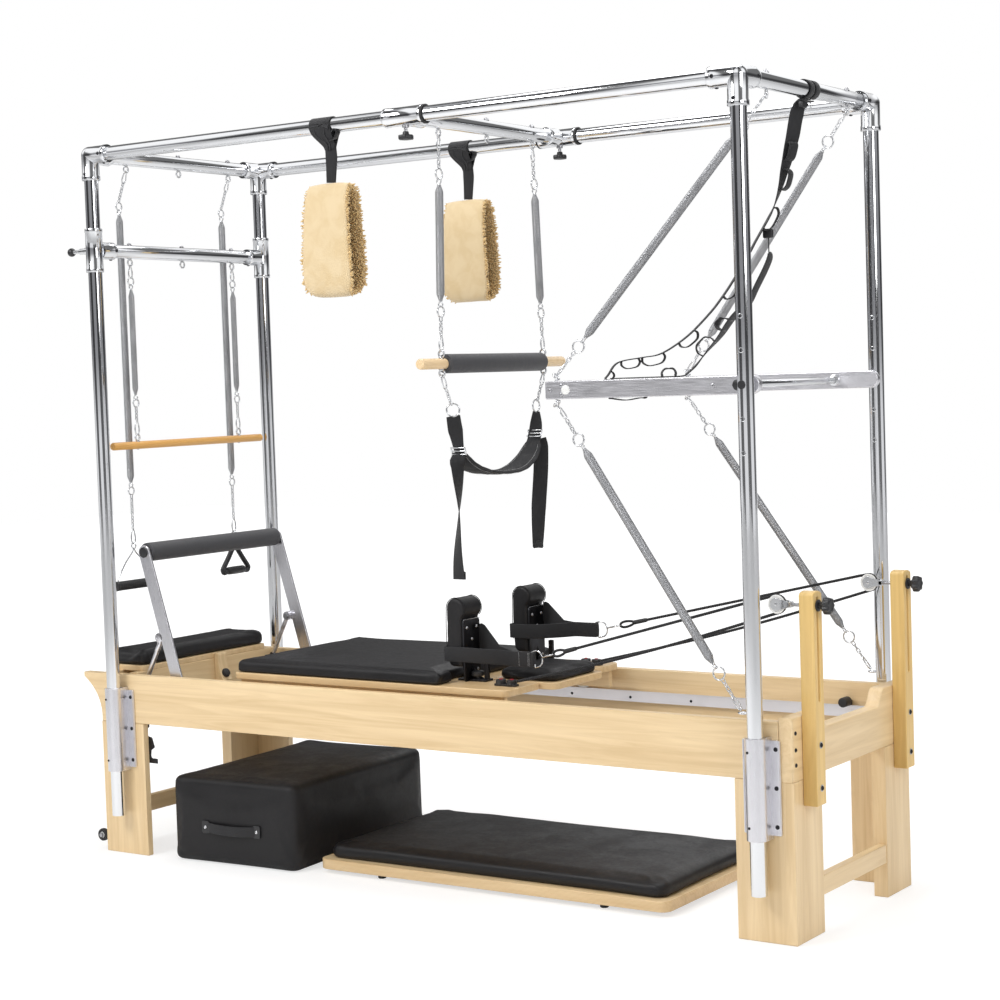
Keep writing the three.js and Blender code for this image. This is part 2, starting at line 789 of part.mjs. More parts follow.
function railOutline() {
  const shape = new THREE.Shape();
  shape.moveTo(EAR_TIP_X, RAIL_TOP_Z);
  shape.lineTo(EAR_TIP_X, RAIL_TOP_Z - EAR_LIP);
  shape.quadraticCurveTo(
    FOOT_FACE_X + EAR_LIP / 2,
    RAIL_TOP_Z - RAIL_HEIGHT * 0.45,
    FOOT_FACE_X,
    LEG_HEIGHT + GAP,
  );
  shape.lineTo(HEAD_INNER_X - GAP, LEG_HEIGHT + GAP);
  shape.lineTo(HEAD_INNER_X - GAP, RAIL_TOP_Z);
  shape.closePath();
  return shape;
}

function rail(side) {
  const inner = side * RAIL_IN_Y;
  const outer = side * RAIL_OUT_Y;
  const [y0, y1] = [Math.min(inner, outer), Math.max(inner, outer)];
  const trackEdge = side * (RAIL_IN_Y - TRACK_DEPTH);
  const trackRoot = side * (RAIL_IN_Y + EMBED);
  const board = boardAcross(railOutline(), y0, y1);
  const track = block(
    SPRING_BAR_X + SPRING_BAR_DEPTH,
    HEAD_INNER_X - GAP,
    Math.min(trackEdge, trackRoot),
    Math.max(trackEdge, trackRoot),
    LEG_HEIGHT + TRACK_BOTTOM,
    TRACK_TOP_Z,
  );
  const buffer = head(
    TRACK_DEPTH,
    BUFFER_LENGTH,
    at(HEAD_INNER_X - BUFFER_INSET, side * (RAIL_IN_Y - TRACK_DEPTH), TRACK_TOP_Z + TRACK_DEPTH),
    at(0, -side, 0),
    10,
  );
  const bufferStem = block(
    HEAD_INNER_X - BUFFER_INSET - TRACK_DEPTH / 2,
    HEAD_INNER_X - BUFFER_INSET + TRACK_DEPTH / 2,
    Math.min(trackEdge - side * EMBED, trackRoot),
    Math.max(trackEdge - side * EMBED, trackRoot),
    TRACK_TOP_Z - EMBED,
    TRACK_TOP_Z + TRACK_DEPTH,
  );
  const pivotHole = rod(
    PIVOT_RADIUS + GAP,
    at(FOOTBAR_PIVOT_X, side * (RAIL_IN_Y - OVERRUN), FOOTBAR_PIVOT_Z),
    at(FOOTBAR_PIVOT_X, side * (RAIL_OUT_Y + OVERRUN), FOOTBAR_PIVOT_Z),
  );
  const whole = join(board, track, buffer, bufferStem);
  addPiece(bed, sideName(side) + "_rail", cut(whole, pivotHole), "maple");
}

// Leg boards at one end, seen from above: a side board and a return board
function legPair(faceX, inward, width) {
  const pieces = [];
  for (const side of SIDES) {
    const y = side * RAIL_OUT_Y;
    const innerX = faceX + inward * width;
    const backX = faceX + inward * END_BOARD;
    const corner = outline([
      [faceX, y],
      [innerX, y],
      [innerX, y - side * LEG_BOARD],
      [backX, y - side * LEG_BOARD],
      [backX, y - side * LEG_RETURN],
      [faceX, y - side * LEG_RETURN],
    ]);
    pieces.push(slab(corner, 0, LEG_HEIGHT));
  }
  const [x0, x1] = [faceX + inward * EMBED, faceX + inward * (EMBED + STRETCHER_THICKNESS)];
  const half = RAIL_OUT_Y - LEG_RETURN + EMBED;
  pieces.push(
    block(
      Math.min(x0, x1),
      Math.max(x0, x1),
      -half,
      half,
      STRETCHER_Z,
      STRETCHER_Z + STRETCHER_HEIGHT,
    ),
  );
  return pieces;
}

function headEnd() {
  const top = RAIL_TOP_Z + END_BOARD_RISE;
  const low = top - SCOOP_DEPTH;
  const shape = new THREE.Shape();
  shape.moveTo(-RAIL_OUT_Y, LEG_HEIGHT - EMBED);
  shape.lineTo(RAIL_OUT_Y, LEG_HEIGHT - EMBED);
  shape.lineTo(RAIL_OUT_Y, top);
  shape.lineTo(SCOOP_FLAT_HALF + SCOOP_RUN, top);
  const middle = SCOOP_FLAT_HALF + SCOOP_RUN / 2;
  shape.bezierCurveTo(middle, top, middle, low, SCOOP_FLAT_HALF, low);
  shape.lineTo(-SCOOP_FLAT_HALF, low);
  shape.bezierCurveTo(-middle, low, -middle, top, -SCOOP_FLAT_HALF - SCOOP_RUN, top);
  shape.lineTo(-RAIL_OUT_Y, top);
  shape.closePath();
  const board = boardAlong(shape, HEAD_INNER_X, HEAD_FACE_X);
  addPiece(bed, "head_end_frame", join(board, ...legPair(HEAD_FACE_X, -1, HEAD_LEG_WIDTH)), "maple");
}

// A steel rack with two hooks on the inner face of a foot leg
function hookRack(side) {
  const x0 = FOOT_FACE_X + LEG_WIDTH - HOOK_RACK_ROOT;
  const x1 = FOOT_FACE_X + LEG_WIDTH + HOOK_RACK_REACH;
  const notch = HOOK_RACK_HEIGHT * 0.2;
  const points = [
    [x0, LEG_HEIGHT - HOOK_RACK_HEIGHT],
    [x1, LEG_HEIGHT - HOOK_RACK_HEIGHT],
    [x1, LEG_HEIGHT - HOOK_RACK_HEIGHT + notch * 0.6],
    [x1 - notch, LEG_HEIGHT - HOOK_RACK_HEIGHT + notch * 0.6],
    [x1 - notch, LEG_HEIGHT - HOOK_RACK_HEIGHT + notch * 1.6],
    [x1 - notch * 0.4, LEG_HEIGHT - HOOK_RACK_HEIGHT + notch * 2],
    [x1 - notch * 0.8, LEG_HEIGHT - notch * 1.8],
    [x1 - notch * 1.7, LEG_HEIGHT - notch * 1.6],
    [x1 - notch * 1.7, LEG_HEIGHT - notch * 0.8],
    [x1 - notch * 1.2, LEG_HEIGHT - notch * 0.5],
    [x1 - notch * 1.2, LEG_HEIGHT],
    [x0, LEG_HEIGHT],
  ];
  const face = RAIL_OUT_Y - LEG_BOARD;
  const [a, b] = [side * (face + EMBED), side * (face - HOOK_RACK_THICKNESS)];
  return boardAcross(outline(points), Math.min(a, b), Math.max(a, b));
}

// Where the foot of a strut stands, and the way that the strut points down
function strutFoot() {
  const pivot = strutPivot();
  const lean = STRUT_LEAN * DEGREE;
  const down = at(-Math.sin(lean), 0, -Math.cos(lean));
  return { down, foot: pivot.addScaledVector(down, STRUT_LENGTH) };
}

function strutPivot() {
  const arm = at(-FOOTBAR_LEAN, 0, FOOTBAR_HEIGHT);
  const square = at(arm.z, 0, -arm.x).normalize();
  return at(FOOTBAR_PIVOT_X, 0, FOOTBAR_PIVOT_Z)
    .addScaledVector(arm, STRUT_PIVOT_SHARE)
    .addScaledVector(square, STRUT_PIVOT_OFFSET);
}

// A wedge on the platform's wall, its top square to the strut that stands on it
function strutSeat(side) {
  const { down, foot } = strutFoot();
  const contact = foot.clone().addScaledVector(down, STRUT_RADIUS + GAP);
  const slope = down.x / down.z;
  const height = (x) => contact.z - (x - contact.x) * slope;
  const [x0, x1] = [FOOT_PLATE_X - EMBED, foot.x + SEAT_DEPTH / 2];
  const shape = outline([
    [x0, height(x0) - SEAT_DEPTH * 1.6],
    [x1, height(x1) - SEAT_DEPTH * 0.6],
    [x1, height(x1)],
    [x0, height(x0)],
  ]);
  const y = side * STRUT_Y;
  return boardAcross(shape, y - SEAT_WIDTH / 2, y + SEAT_WIDTH / 2);
}

function footEnd() {
  const inner = RAIL_IN_Y - GAP;
  const outerX = FOOT_FACE_X - PLATFORM_INSET;
  const boardZ = RAIL_TOP_Z + PLATFORM_RISE;
  const boardTop = boardZ + PLATFORM_BOARD;
  const half = PLATFORM_LENGTH / 2;
  const plan = roundedRectangle(PLATFORM_WIDTH - PLATFORM_RISE, PLATFORM_LENGTH, PLATFORM_BOARD);
  const platform = slab(outline(plan), boardZ, boardTop).translate(
    outerX + PLATFORM_WIDTH / 2,
    0,
    0,
  );
  const wallShape = rectangle(-inner, inner, RAIL_TOP_Z - PLATFORM_WALL_DROP, boardZ + EMBED);
  const wall = boardAlong(wallShape, FOOT_PLATE_X - PLATFORM_WALL, FOOT_PLATE_X);
  const panelShape = rectangle(-inner, inner, LEG_HEIGHT - EMBED, boardZ + EMBED);
  const panel = boardAlong(panelShape, FOOT_FACE_X, FOOT_FACE_X + END_BOARD);
  const gussetShape = new THREE.Shape();
  gussetShape.moveTo(FOOT_PLATE_X - EMBED, boardTop);
  gussetShape.lineTo(FOOT_PLATE_X - EMBED, boardTop - GUSSET_HEIGHT);
  gussetShape.lineTo(FOOT_PLATE_X + GUSSET_REACH, boardTop - GUSSET_HEIGHT);
  gussetShape.quadraticCurveTo(
    FOOT_PLATE_X + GUSSET_REACH * 0.4,
    boardTop - GUSSET_HEIGHT * 0.7,
    FOOT_PLATE_X + GUSSET_REACH * 0.4,
    boardTop,
  );
  gussetShape.closePath();
  const gusset = boardAcross(
    gussetShape,
    GUSSET_Y - GUSSET_THICKNESS / 2,
    GUSSET_Y + GUSSET_THICKNESS / 2,
  );
  const wheelMounts = SIDES.flatMap((side) => wheelMount(side));
  const whole = join(
    platform,
    wall,
    panel,
    gusset,
    ...SIDES.map(strutSeat),
    ...SIDES.map(hookRack),
    ...legPair(FOOT_FACE_X, 1, LEG_WIDTH),
    ...wheelMounts,
  );
  addPiece(bed, "foot_end_frame", whole, "maple");
  const pad = stuffedPad(PLATFORM_WIDTH, 2 * half, PAD_THICKNESS, PAD_CORNER, PAD_DRAW_IN);
  pad.translate(outerX + PLATFORM_WIDTH / 2, 0, boardTop + GAP);
  addPiece(bed, "foot_platform_pad", pad, "blackVinyl");
}

// Transport wheels

function wheelMount(side) {
  const earOut = WHEEL_OUT_Y - WHEEL_WIDTH - WHEEL_EAR / 2;
  const [a, b] = [side * earOut, side * (earOut - WHEEL_EAR)];
  const reach = WHEEL_RADIUS * 0.7;
  const ear = boardAcross(
    rectangle(WHEEL_X - reach, FOOT_FACE_X + EMBED, WHEEL_Z - reach, WHEEL_Z + reach),
    Math.min(a, b),
    Math.max(a, b),
  );
  const pin = rod(
    AXLE_RADIUS,
    at(WHEEL_X, side * (earOut - EMBED), WHEEL_Z),
    at(WHEEL_X, side * (WHEEL_OUT_Y + WHEEL_EAR), WHEEL_Z),
    8,
  );
  return [ear, pin];
}

function wheel(side) {
  const round = WHEEL_RADIUS * 0.15;
  const bore = AXLE_RADIUS + GAP;
  const profile = [
    [bore, 0],
    [WHEEL_RADIUS - round, 0],
    [WHEEL_RADIUS, round],
    [WHEEL_RADIUS, WHEEL_WIDTH - round],
    [WHEEL_RADIUS - round, WHEEL_WIDTH],
    [bore, WHEEL_WIDTH],
    [bore, 0],
  ];
  const start = at(WHEEL_X, side * (WHEEL_OUT_Y - WHEEL_WIDTH), WHEEL_Z);
  const geometry = turned(profile, start, at(0, side, 0));
  const group = assembly(bed, start);
  addPiece(group, sideName(side) + "_transport_wheel", join(geometry), "blackPlastic");
}

// The tube frame

function clampBracket(end, side) {
  const axisY = side * POST_Y;
  const face = side * (RAIL_OUT_Y + GAP);
  const outerR = TUBE_RADIUS + GAP + CLAMP_SLEEVE;
  const plateOut = face + side * CLAMP_PLATE;
  const x = end * POST_X;
  const [y0, y1] = [Math.min(face, plateOut), Math.max(face, plateOut)];
  const flange = slab(
    rectangle(x - CLAMP_WIDTH / 2, x + CLAMP_WIDTH / 2, y0, y1),
    CLAMP_BOTTOM_Z + CLAMP_FLANGE_INSET,
    CLAMP_BOTTOM_Z + CLAMP_HEIGHT - CLAMP_FLANGE_INSET,
  );
  const [w0, w1] = [Math.min(face, axisY), Math.max(face, axisY)];
  const web = slab(
    rectangle(x - outerR, x + outerR, w0, w1),
    CLAMP_BOTTOM_Z,
    CLAMP_BOTTOM_Z + CLAMP_HEIGHT,
  );
  const round = rod(
    outerR,
    at(x, axisY, CLAMP_BOTTOM_Z),
    at(x, axisY, CLAMP_BOTTOM_Z + CLAMP_HEIGHT),
  );
  const bolts = SIDES.flatMap((across) =>
    CLAMP_BOLT_SHARES.map((share) =>
      head(
        BOLT_RADIUS,
        BOLT_HEIGHT,
        at(
          x + across * (CLAMP_WIDTH / 2 - BOLT_RADIUS * 1.6),
          plateOut,
          CLAMP_BOTTOM_Z + share * CLAMP_HEIGHT,
        ),
        at(0, side, 0),
        6,
      ),
    ),
  );
  const bore = rod(
    TUBE_RADIUS + GAP,
    at(x, axisY, CLAMP_BOTTOM_Z - OVERRUN),
    at(x, axisY, CLAMP_BOTTOM_Z + CLAMP_HEIGHT + OVERRUN),
  );
  const name = sideName(side) + (end > 0 ? "_head_clamp" : "_foot_clamp");
  addPiece(tubeFrame, name, cut(join(flange, web, round, ...bolts), bore), "aluminium");
}

function upright(end, side) {
  const x = end * POST_X;
  const y = side * POST_Y;
  const tube = rod(
    TUBE_RADIUS,
    at(x, y, TUBE_FOOT_Z),
    at(x, y, TOP_AXIS_Z - SOCKET_FLOOR - GAP),
  );
  const name = sideName(side) + (end > 0 ? "_head_upright" : "_foot_upright");
  if (end < 0) {
    addPiece(tubeFrame, name, join(tube), "chrome");
    return;
  }
  // Holes for the bar's pin, and an eye near the rail for the lower spring
  const holes = [];
  for (let i = 0; i < HOLE_COUNT; i++) {
    const z = PUSH_BAR_Z + (i - (HOLE_COUNT - 1) / 2) * HOLE_PITCH;
    const radius = i === (HOLE_COUNT - 1) / 2 ? PUSH_PIN_RADIUS + 4 * GAP : HOLE_RADIUS;
    holes.push(
      rod(
        radius,
        at(x, y - side * (TUBE_RADIUS + OVERRUN), z),
        at(x, y + side * (TUBE_RADIUS + OVERRUN), z),
        radius === HOLE_RADIUS ? 6 : 12,
      ),
    );
  }
  const { eyes } = pushSpringEnds(side);
  const stemStart = at(x - TUBE_RADIUS + EMBED, y, LOWER_EYE_Z);
  const lowerEye = eye(eyes.floor, eyes.floorPull.clone().negate(), at(-1, 0, 0), stemStart);
  addPiece(tubeFrame, name, cut(join(tube, ...lowerEye), ...holes), "chrome");
}

// A three-way corner fitting round the ends of two tubes; the end bar is fixed in it
function cornerFitting(end, side) {
  const corner = at(end * POST_X, side * POST_Y, TOP_AXIS_Z);
  const ways = [at(-end, 0, 0), at(0, -side, 0), at(0, 0, -1)];
  const sockets = ways.map((way) =>
    rod(SOCKET_RADIUS, corner, corner.clone().addScaledVector(way, SOCKET_REACH), FITTING_SIDES),
  );
  const screws = ways.slice(0, 2).map((way, i) => {
    const out = ways[i ? 0 : 1].clone().negate();
    const base = corner.clone().addScaledVector(way, SOCKET_REACH * SOCKET_SCREW_SHARE);
    return head(
      SET_SCREW_RADIUS,
      SET_SCREW_HEIGHT,
      base.addScaledVector(out, SOCKET_RADIUS),
      out,
      6,
    );
  });
  const bores = [ways[0], ways[2]].map((way) =>
    rod(
      TUBE_RADIUS + GAP,
      corner.clone().addScaledVector(way, SOCKET_FLOOR),
      corner.clone().addScaledVector(way, SOCKET_REACH + OVERRUN),
    ),
  );
  return { solids: [ball(SOCKET_RADIUS, corner, FITTING_SIDES), ...sockets, ...screws], bores };
}

// Eyes below a bar that lies along Y
function hangingEyes(x, z, places, radius, pullOf) {
  return places.flatMap((y) => {
    const centre = at(x, y, z - radius - EYE_RADIUS - EYE_WIRE);
    const barPoint = at(x, y, z - radius + EMBED);
    return eye(centre, pullOf(y), at(0, 0, -1), barPoint);
  });
}

function endTopBar(end) {
  const x = end * POST_X;
  const reach = POST_Y - SOCKET_REACH + OVERRUN;
  const bar = rod(TUBE_RADIUS, at(x, -reach, TOP_AXIS_Z), at(x, reach, TOP_AXIS_Z));
  const corners = SIDES.map((side) => cornerFitting(end, side));
  const down = at(0, 0, -1);
  const pullOf = (y) => {
    if (end < 0) return handlePull();
    return y ? pushSpringEnds(Math.sign(y)).topPull : down;
  };
  const places = end > 0 ? [-EYE_SPREAD, EYE_SPREAD] : [-EYE_SPREAD, 0, EYE_SPREAD];
  const eyes = hangingEyes(x, TOP_AXIS_Z, places, TUBE_RADIUS, pullOf);
  const nuts = places.map((y) =>
    head(NUT_RADIUS, NUT_HEIGHT, at(x, y, TOP_AXIS_Z + TUBE_RADIUS), UP),
  );
  const whole = join(bar, ...corners.flatMap((c) => c.solids), ...eyes, ...nuts);
  const name = end > 0 ? "head_top_bar" : "foot_top_bar";
  addPiece(tubeFrame, name, cut(whole, ...corners.flatMap((c) => c.bores)), "chrome");
}

function topRail(side) {
  const reach = POST_X - SOCKET_FLOOR - GAP;
  const y = side * POST_Y;
  const tube = rod(TUBE_RADIUS, at(-reach, y, TOP_AXIS_Z), at(reach, y, TOP_AXIS_Z));
  addPiece(tubeFrame, sideName(side) + "_top_rail", join(tube), "chrome");
}

// Riser posts with their sliding pulley blocks

function riserPost(side) {
  const half = RISER_WIDTH / 2;
  const shape = new THREE.Shape();
  shape.moveTo(-half, RISER_BOTTOM_Z);
  shape.lineTo(half, RISER_BOTTOM_Z);
  shape.lineTo(half, RISER_TOP_Z - half * 0.6);
  shape.bezierCurveTo(half, RISER_TOP_Z, -half, RISER_TOP_Z, -half, RISER_TOP_Z - half * 0.6);
  shape.closePath();
  const slotTop = RISER_TOP_Z - SLOT_TOP_DROP;
  const slotPlan = roundedRectangle(SLOT_WIDTH, SLOT_LENGTH, SLOT_WIDTH / 2.01, 3);
  const slot = boardAlong(outline(slotPlan), HEAD_FACE_X, HEAD_FACE_X + RISER_THICKNESS * 2);
  slot.translate(-OVERRUN, 0, slotTop - SLOT_LENGTH / 2);
  const post = boardAlong(shape, HEAD_FACE_X + GAP, HEAD_FACE_X + RISER_THICKNESS);
  const screws = [0.08, 0.28].map((share) =>
    head(
      BOLT_RADIUS,
      BOLT_HEIGHT / 2,
      at(
        HEAD_FACE_X + RISER_THICKNESS,
        0,
        RISER_BOTTOM_Z + share * (RISER_TOP_Z - RISER_BOTTOM_Z),
      ),
      ALONG_X,
    ),
  );
  const whole = cut(join(post, ...screws), slot).translate(0, side * RISER_Y, 0);
  addPiece(bed, sideName(side) + "_riser_post", whole, "yellowMaple");
}

// A knob with lobes round its rim
function lobedKnob(radius, thickness, start, axis) {
  const points = [];
  const count = KNOB_LOBES * 3;
  for (let i = 0; i < count; i++) {
    const angle = (i / count) * 360 * DEGREE;
    const r = radius * (0.92 + 0.08 * Math.cos(KNOB_LOBES * angle));
    points.push([r * Math.cos(angle), r * Math.sin(angle)]);
  }
  const turn = new THREE.Quaternion().setFromUnitVectors(UP, axis);
  return prism(outline(points), thickness)
    .applyQuaternion(turn)
    .translate(start.x, start.y, start.z);
}

function riserBlock(side) {
  const y = side * RISER_Y;
  const centre = at(PULLEY_X, y, PULLEY_Z);
  const group = assembly(bed, centre);
  const postOut = HEAD_FACE_X + RISER_THICKNESS;
  const knobX = postOut + KNOB_STANDOFF;
  const alongStud = (radius, x0, x1, sides) =>
    rod(radius, at(x0, y, PULLEY_Z), at(x1, y, PULLEY_Z), sides);
  const pieces = [];
  const inside = PULLEY_WIDTH / 2 + GAP + CHEEK_THICKNESS;
  const cheekPlan = new THREE.Shape();
  cheekPlan.absarc(0, 0, CHEEK_RADIUS, 60 * DEGREE, 300 * DEGREE, false);
  cheekPlan.lineTo(PULLEY_RADIUS + STUD_RADIUS * 2, -STUD_RADIUS);
  cheekPlan.lineTo(PULLEY_RADIUS + STUD_RADIUS * 2, STUD_RADIUS);
  cheekPlan.closePath();
  for (const s of SIDES) {
    const [a, b] = [s * (PULLEY_WIDTH / 2 + GAP), s * inside];
    const cheek = boardAcross(cheekPlan, Math.min(a, b), Math.max(a, b));
    pieces.push(cheek.translate(centre.x, centre.y, centre.z));
  }
  const bridgeX = PULLEY_X + PULLEY_RADIUS + STUD_RADIUS;
  pieces.push(
    rod(
      AXLE_RADIUS,
      at(PULLEY_X, y - inside - EMBED, PULLEY_Z),
      at(PULLEY_X, y + inside + EMBED, PULLEY_Z),
      8,
    ),
    block(
      bridgeX,
      bridgeX + STUD_RADIUS * 2,
      y - inside,
      y + inside,
      PULLEY_Z - STUD_RADIUS,
      PULLEY_Z + STUD_RADIUS,
    ),
    alongStud(STUD_RADIUS, bridgeX + EMBED, knobX + EMBED, 8),
    alongStud(WASHER_RADIUS, postOut + GAP, postOut + GAP + WASHER_THICKNESS, 8),
    alongStud(STUD_RADIUS * 1.8, postOut + GAP + EMBED, knobX + EMBED, 10),
    lobedKnob(KNOB_RADIUS, KNOB_THICKNESS, at(knobX, y, PULLEY_Z), ALONG_X),
  );
  addPiece(group, sideName(side) + "_riser_block", join(...pieces), "blackPlastic");
  pulley(side, group);
}

function pulley(side, block) {
  const half = PULLEY_WIDTH / 2;
  const bore = AXLE_RADIUS + GAP;
  const core = PULLEY_RADIUS - GROOVE_DEPTH;
  const flange = PULLEY_WIDTH * 0.18;
  const profile = [
    [bore, -half],
    [PULLEY_RADIUS, -half],
    [PULLEY_RADIUS, -half + flange],
    [core, -half + flange * 1.2],
    [core, half - flange * 1.2],
    [PULLEY_RADIUS, half - flange],
    [PULLEY_RADIUS, half],
    [bore, half],
    [bore, -half],
  ];
  const axle = at(PULLEY_X, side * RISER_Y, PULLEY_Z);
  const geometry = turned(profile, axle, ALONG_Y, 10);
  const group = assembly(block, axle);
  addPiece(group, sideName(side) + "_pulley", join(geometry), "blackPlastic");
}

// Carriage

function carriageFrame() {
  const half = CARRIAGE_WIDTH / 2;
  const cutHalf = HEADREST_WIDTH / 2 + HINGE_GAP;
  const boardPlan = outline([
    [CARRIAGE_START_X, -half],
    [CARRIAGE_END_X, -half],
    [CARRIAGE_END_X, -cutHalf],
    [HEADREST_X, -cutHalf],
    [HEADREST_X, cutHalf],
    [CARRIAGE_END_X, cutHalf],
    [CARRIAGE_END_X, half],
    [CARRIAGE_START_X, half],
  ]);
  const board = slab(boardPlan, CARRIAGE_FLOOR_Z, CARRIAGE_TOP_Z);
  const skirtOut = half - CARRIAGE_SKIRT_INSET;
  const skirtLow = CARRIAGE_FLOOR_Z - SKIRT_DROP;
  const skirts = SIDES.map((side) => {
    const [a, b] = [side * skirtOut, side * (skirtOut - CARRIAGE_SKIRT)];
    return block(
      CARRIAGE_START_X + CARRIAGE_SKIRT,
      CARRIAGE_END_X - CARRIAGE_SKIRT,
      Math.min(a, b),
      Math.max(a, b),
      skirtLow,
      CARRIAGE_FLOOR_Z + EMBED,
    );
  });
  const cross = [CARRIAGE_START_X + CARRIAGE_SKIRT, HEADREST_X - 3 * CARRIAGE_SKIRT].map((x) =>
    block(x, x + CARRIAGE_SKIRT, -skirtOut, skirtOut, skirtLow, CARRIAGE_FLOOR_Z + EMBED),
  );
  const rollers = SIDES.flatMap((side) =>
    ROLLER_SHARES.map((share) => {
      const x = CARRIAGE_START_X + share * CARRIAGE_LENGTH;
      const radius = (CARRIAGE_FLOOR_Z - TRACK_TOP_Z) * 0.46;
      const z = TRACK_TOP_Z + GAP + radius;
      const inner = RAIL_IN_Y - TRACK_DEPTH + EMBED;
      const wheelBody = rod(
        radius,
        at(x, side * inner, z),
        at(x, side * (inner + ROLLER_WIDTH), z),
        8,
      );
      const axle = rod(
        AXLE_RADIUS,
        at(x, side * (skirtOut - EMBED), z),
        at(x, side * (inner + EMBED), z),
        8,
      );
      return join(wheelBody, axle);
    }),
  );
  const cleats = SIDES.flatMap(cleat);
  const bases = SIDES.map(restBase);
  addPiece(
    carriage,
    "carriage_frame",
    join(board, ...skirts, ...cross, ...rollers, ...cleats, ...bases, ...hingeKnuckles()),
    "maple",
  );
}

// The knuckles of the headrest's butt hinge, let into the edge of the carriage board
function hingeKnuckles() {
  const radius = HINGE_GAP / 2 - GAP / 2;
  const length = HEADREST_WIDTH * HINGE_SHARE;
  const z = CARRIAGE_TOP_Z - radius;
  return SIDES.map((side) => {
    const middle = at(HEADREST_X + radius - GAP / 2, (side * HEADREST_WIDTH) / 4, z);
    const [start, end] = SIDES.map((way) => middle.clone().add(at(0, (way * length) / 2, 0)));
    return rod(radius + GAP / 2, start, end, 8);
  });
}

// A jam cleat: a base with round cams that grip the rope
function cleat(side) {
  const x = CARRIAGE_START_X + CLEAT_X;
  const y = side * CLEAT_Y;
  const base = block(
    x,
    x + CLEAT_LENGTH,
    y - CLEAT_WIDTH / 2,
    y + CLEAT_WIDTH / 2,
    CARRIAGE_TOP_Z - EMBED,
    CARRIAGE_TOP_Z + CLEAT_HEIGHT * 0.35,
  );
  const cams = [];
  for (let i = 0; i < CLEAT_CAMS; i++) {
    const place = x + (CLEAT_LENGTH * (i + 0.5)) / CLEAT_CAMS;
    const camRadius = CLEAT_LENGTH / CLEAT_CAMS / 2.4;
    cams.push(
      rod(camRadius, at(place, y, CARRIAGE_TOP_Z), at(place, y, CARRIAGE_TOP_Z + CLEAT_HEIGHT), 6),
    );
  }
  return [base, ...cams];
}

// The steel foot of a shoulder rest: a plate on the board and an upright plate behind the pad
function restBase(side) {
  const x = REST_BACK_X;
  const y = side * REST_Y;
  const half = REST_WIDTH * 0.42;
  return join(
    block(
      x - REST_PAD,
      x + REST_BASE,
      y - half * 0.5,
      y + half * 0.5,
      CARRIAGE_TOP_Z - EMBED,
      CARRIAGE_TOP_Z + REST_PLATE,
    ),
    block(
      x,
      x + REST_PLATE,
      y - half,
      y + half,
      CARRIAGE_TOP_Z - EMBED,
      CARRIAGE_TOP_Z + REST_PLATE_HEIGHT,
    ),
  );
}

function carriageCushion() {
  const pad = stuffedPad(CUSHION_LENGTH, CARRIAGE_WIDTH, CUSHION_THICKNESS, PAD_CORNER, PAD_DRAW_IN);
  pad.translate(CARRIAGE_START_X + CUSHION_LENGTH / 2, 0, CARRIAGE_TOP_Z + GAP);
  const bites = SIDES.map((side) =>
    block(
      REST_BACK_X - REST_PAD - 4 * OVERRUN,
      CARRIAGE_END_X,
      side * REST_Y - REST_WIDTH / 2 - 2 * OVERRUN,
      side * REST_Y + REST_WIDTH / 2 + 2 * OVERRUN,
      CARRIAGE_TOP_Z - OVERRUN,
      CARRIAGE_TOP_Z + 2 * CUSHION_THICKNESS,
    ),
  );
  addPiece(carriage, "carriage_cushion", cut(pad, ...bites), "blackVinyl");
}

function headrest() {
  const half = HEADREST_WIDTH / 2;
  const x0 = HEADREST_X + HINGE_GAP;
  const x1 = x0 + HEADREST_BOARD_LENGTH;
  const corner = HEADREST_PAD_INSET * 2;
  const plan = outline([
    [x0, -half],
    [x1 - corner, -half],
    [x1, -half + corner],
    [x1, half - corner],
    [x1 - corner, half],
    [x0, half],
  ]);
  const board = slab(plan, CARRIAGE_FLOOR_Z, CARRIAGE_TOP_Z);
  const length = HEADREST_BOARD_LENGTH - 2 * HEADREST_PAD_INSET;
  const width = HEADREST_WIDTH - 2 * HEADREST_PAD_INSET;
  const pad = stuffedPad(length, width, HEADREST_PAD_THICKNESS, PAD_CORNER, PAD_DRAW_IN);
  pad.translate((x0 + x1) / 2, 0, CARRIAGE_TOP_Z - EMBED);
  const group = assembly(carriage, at(HEADREST_X, 0, CARRIAGE_TOP_Z));
  addPiece(group, "headrest", join(board, pad), "blackVinyl");
}

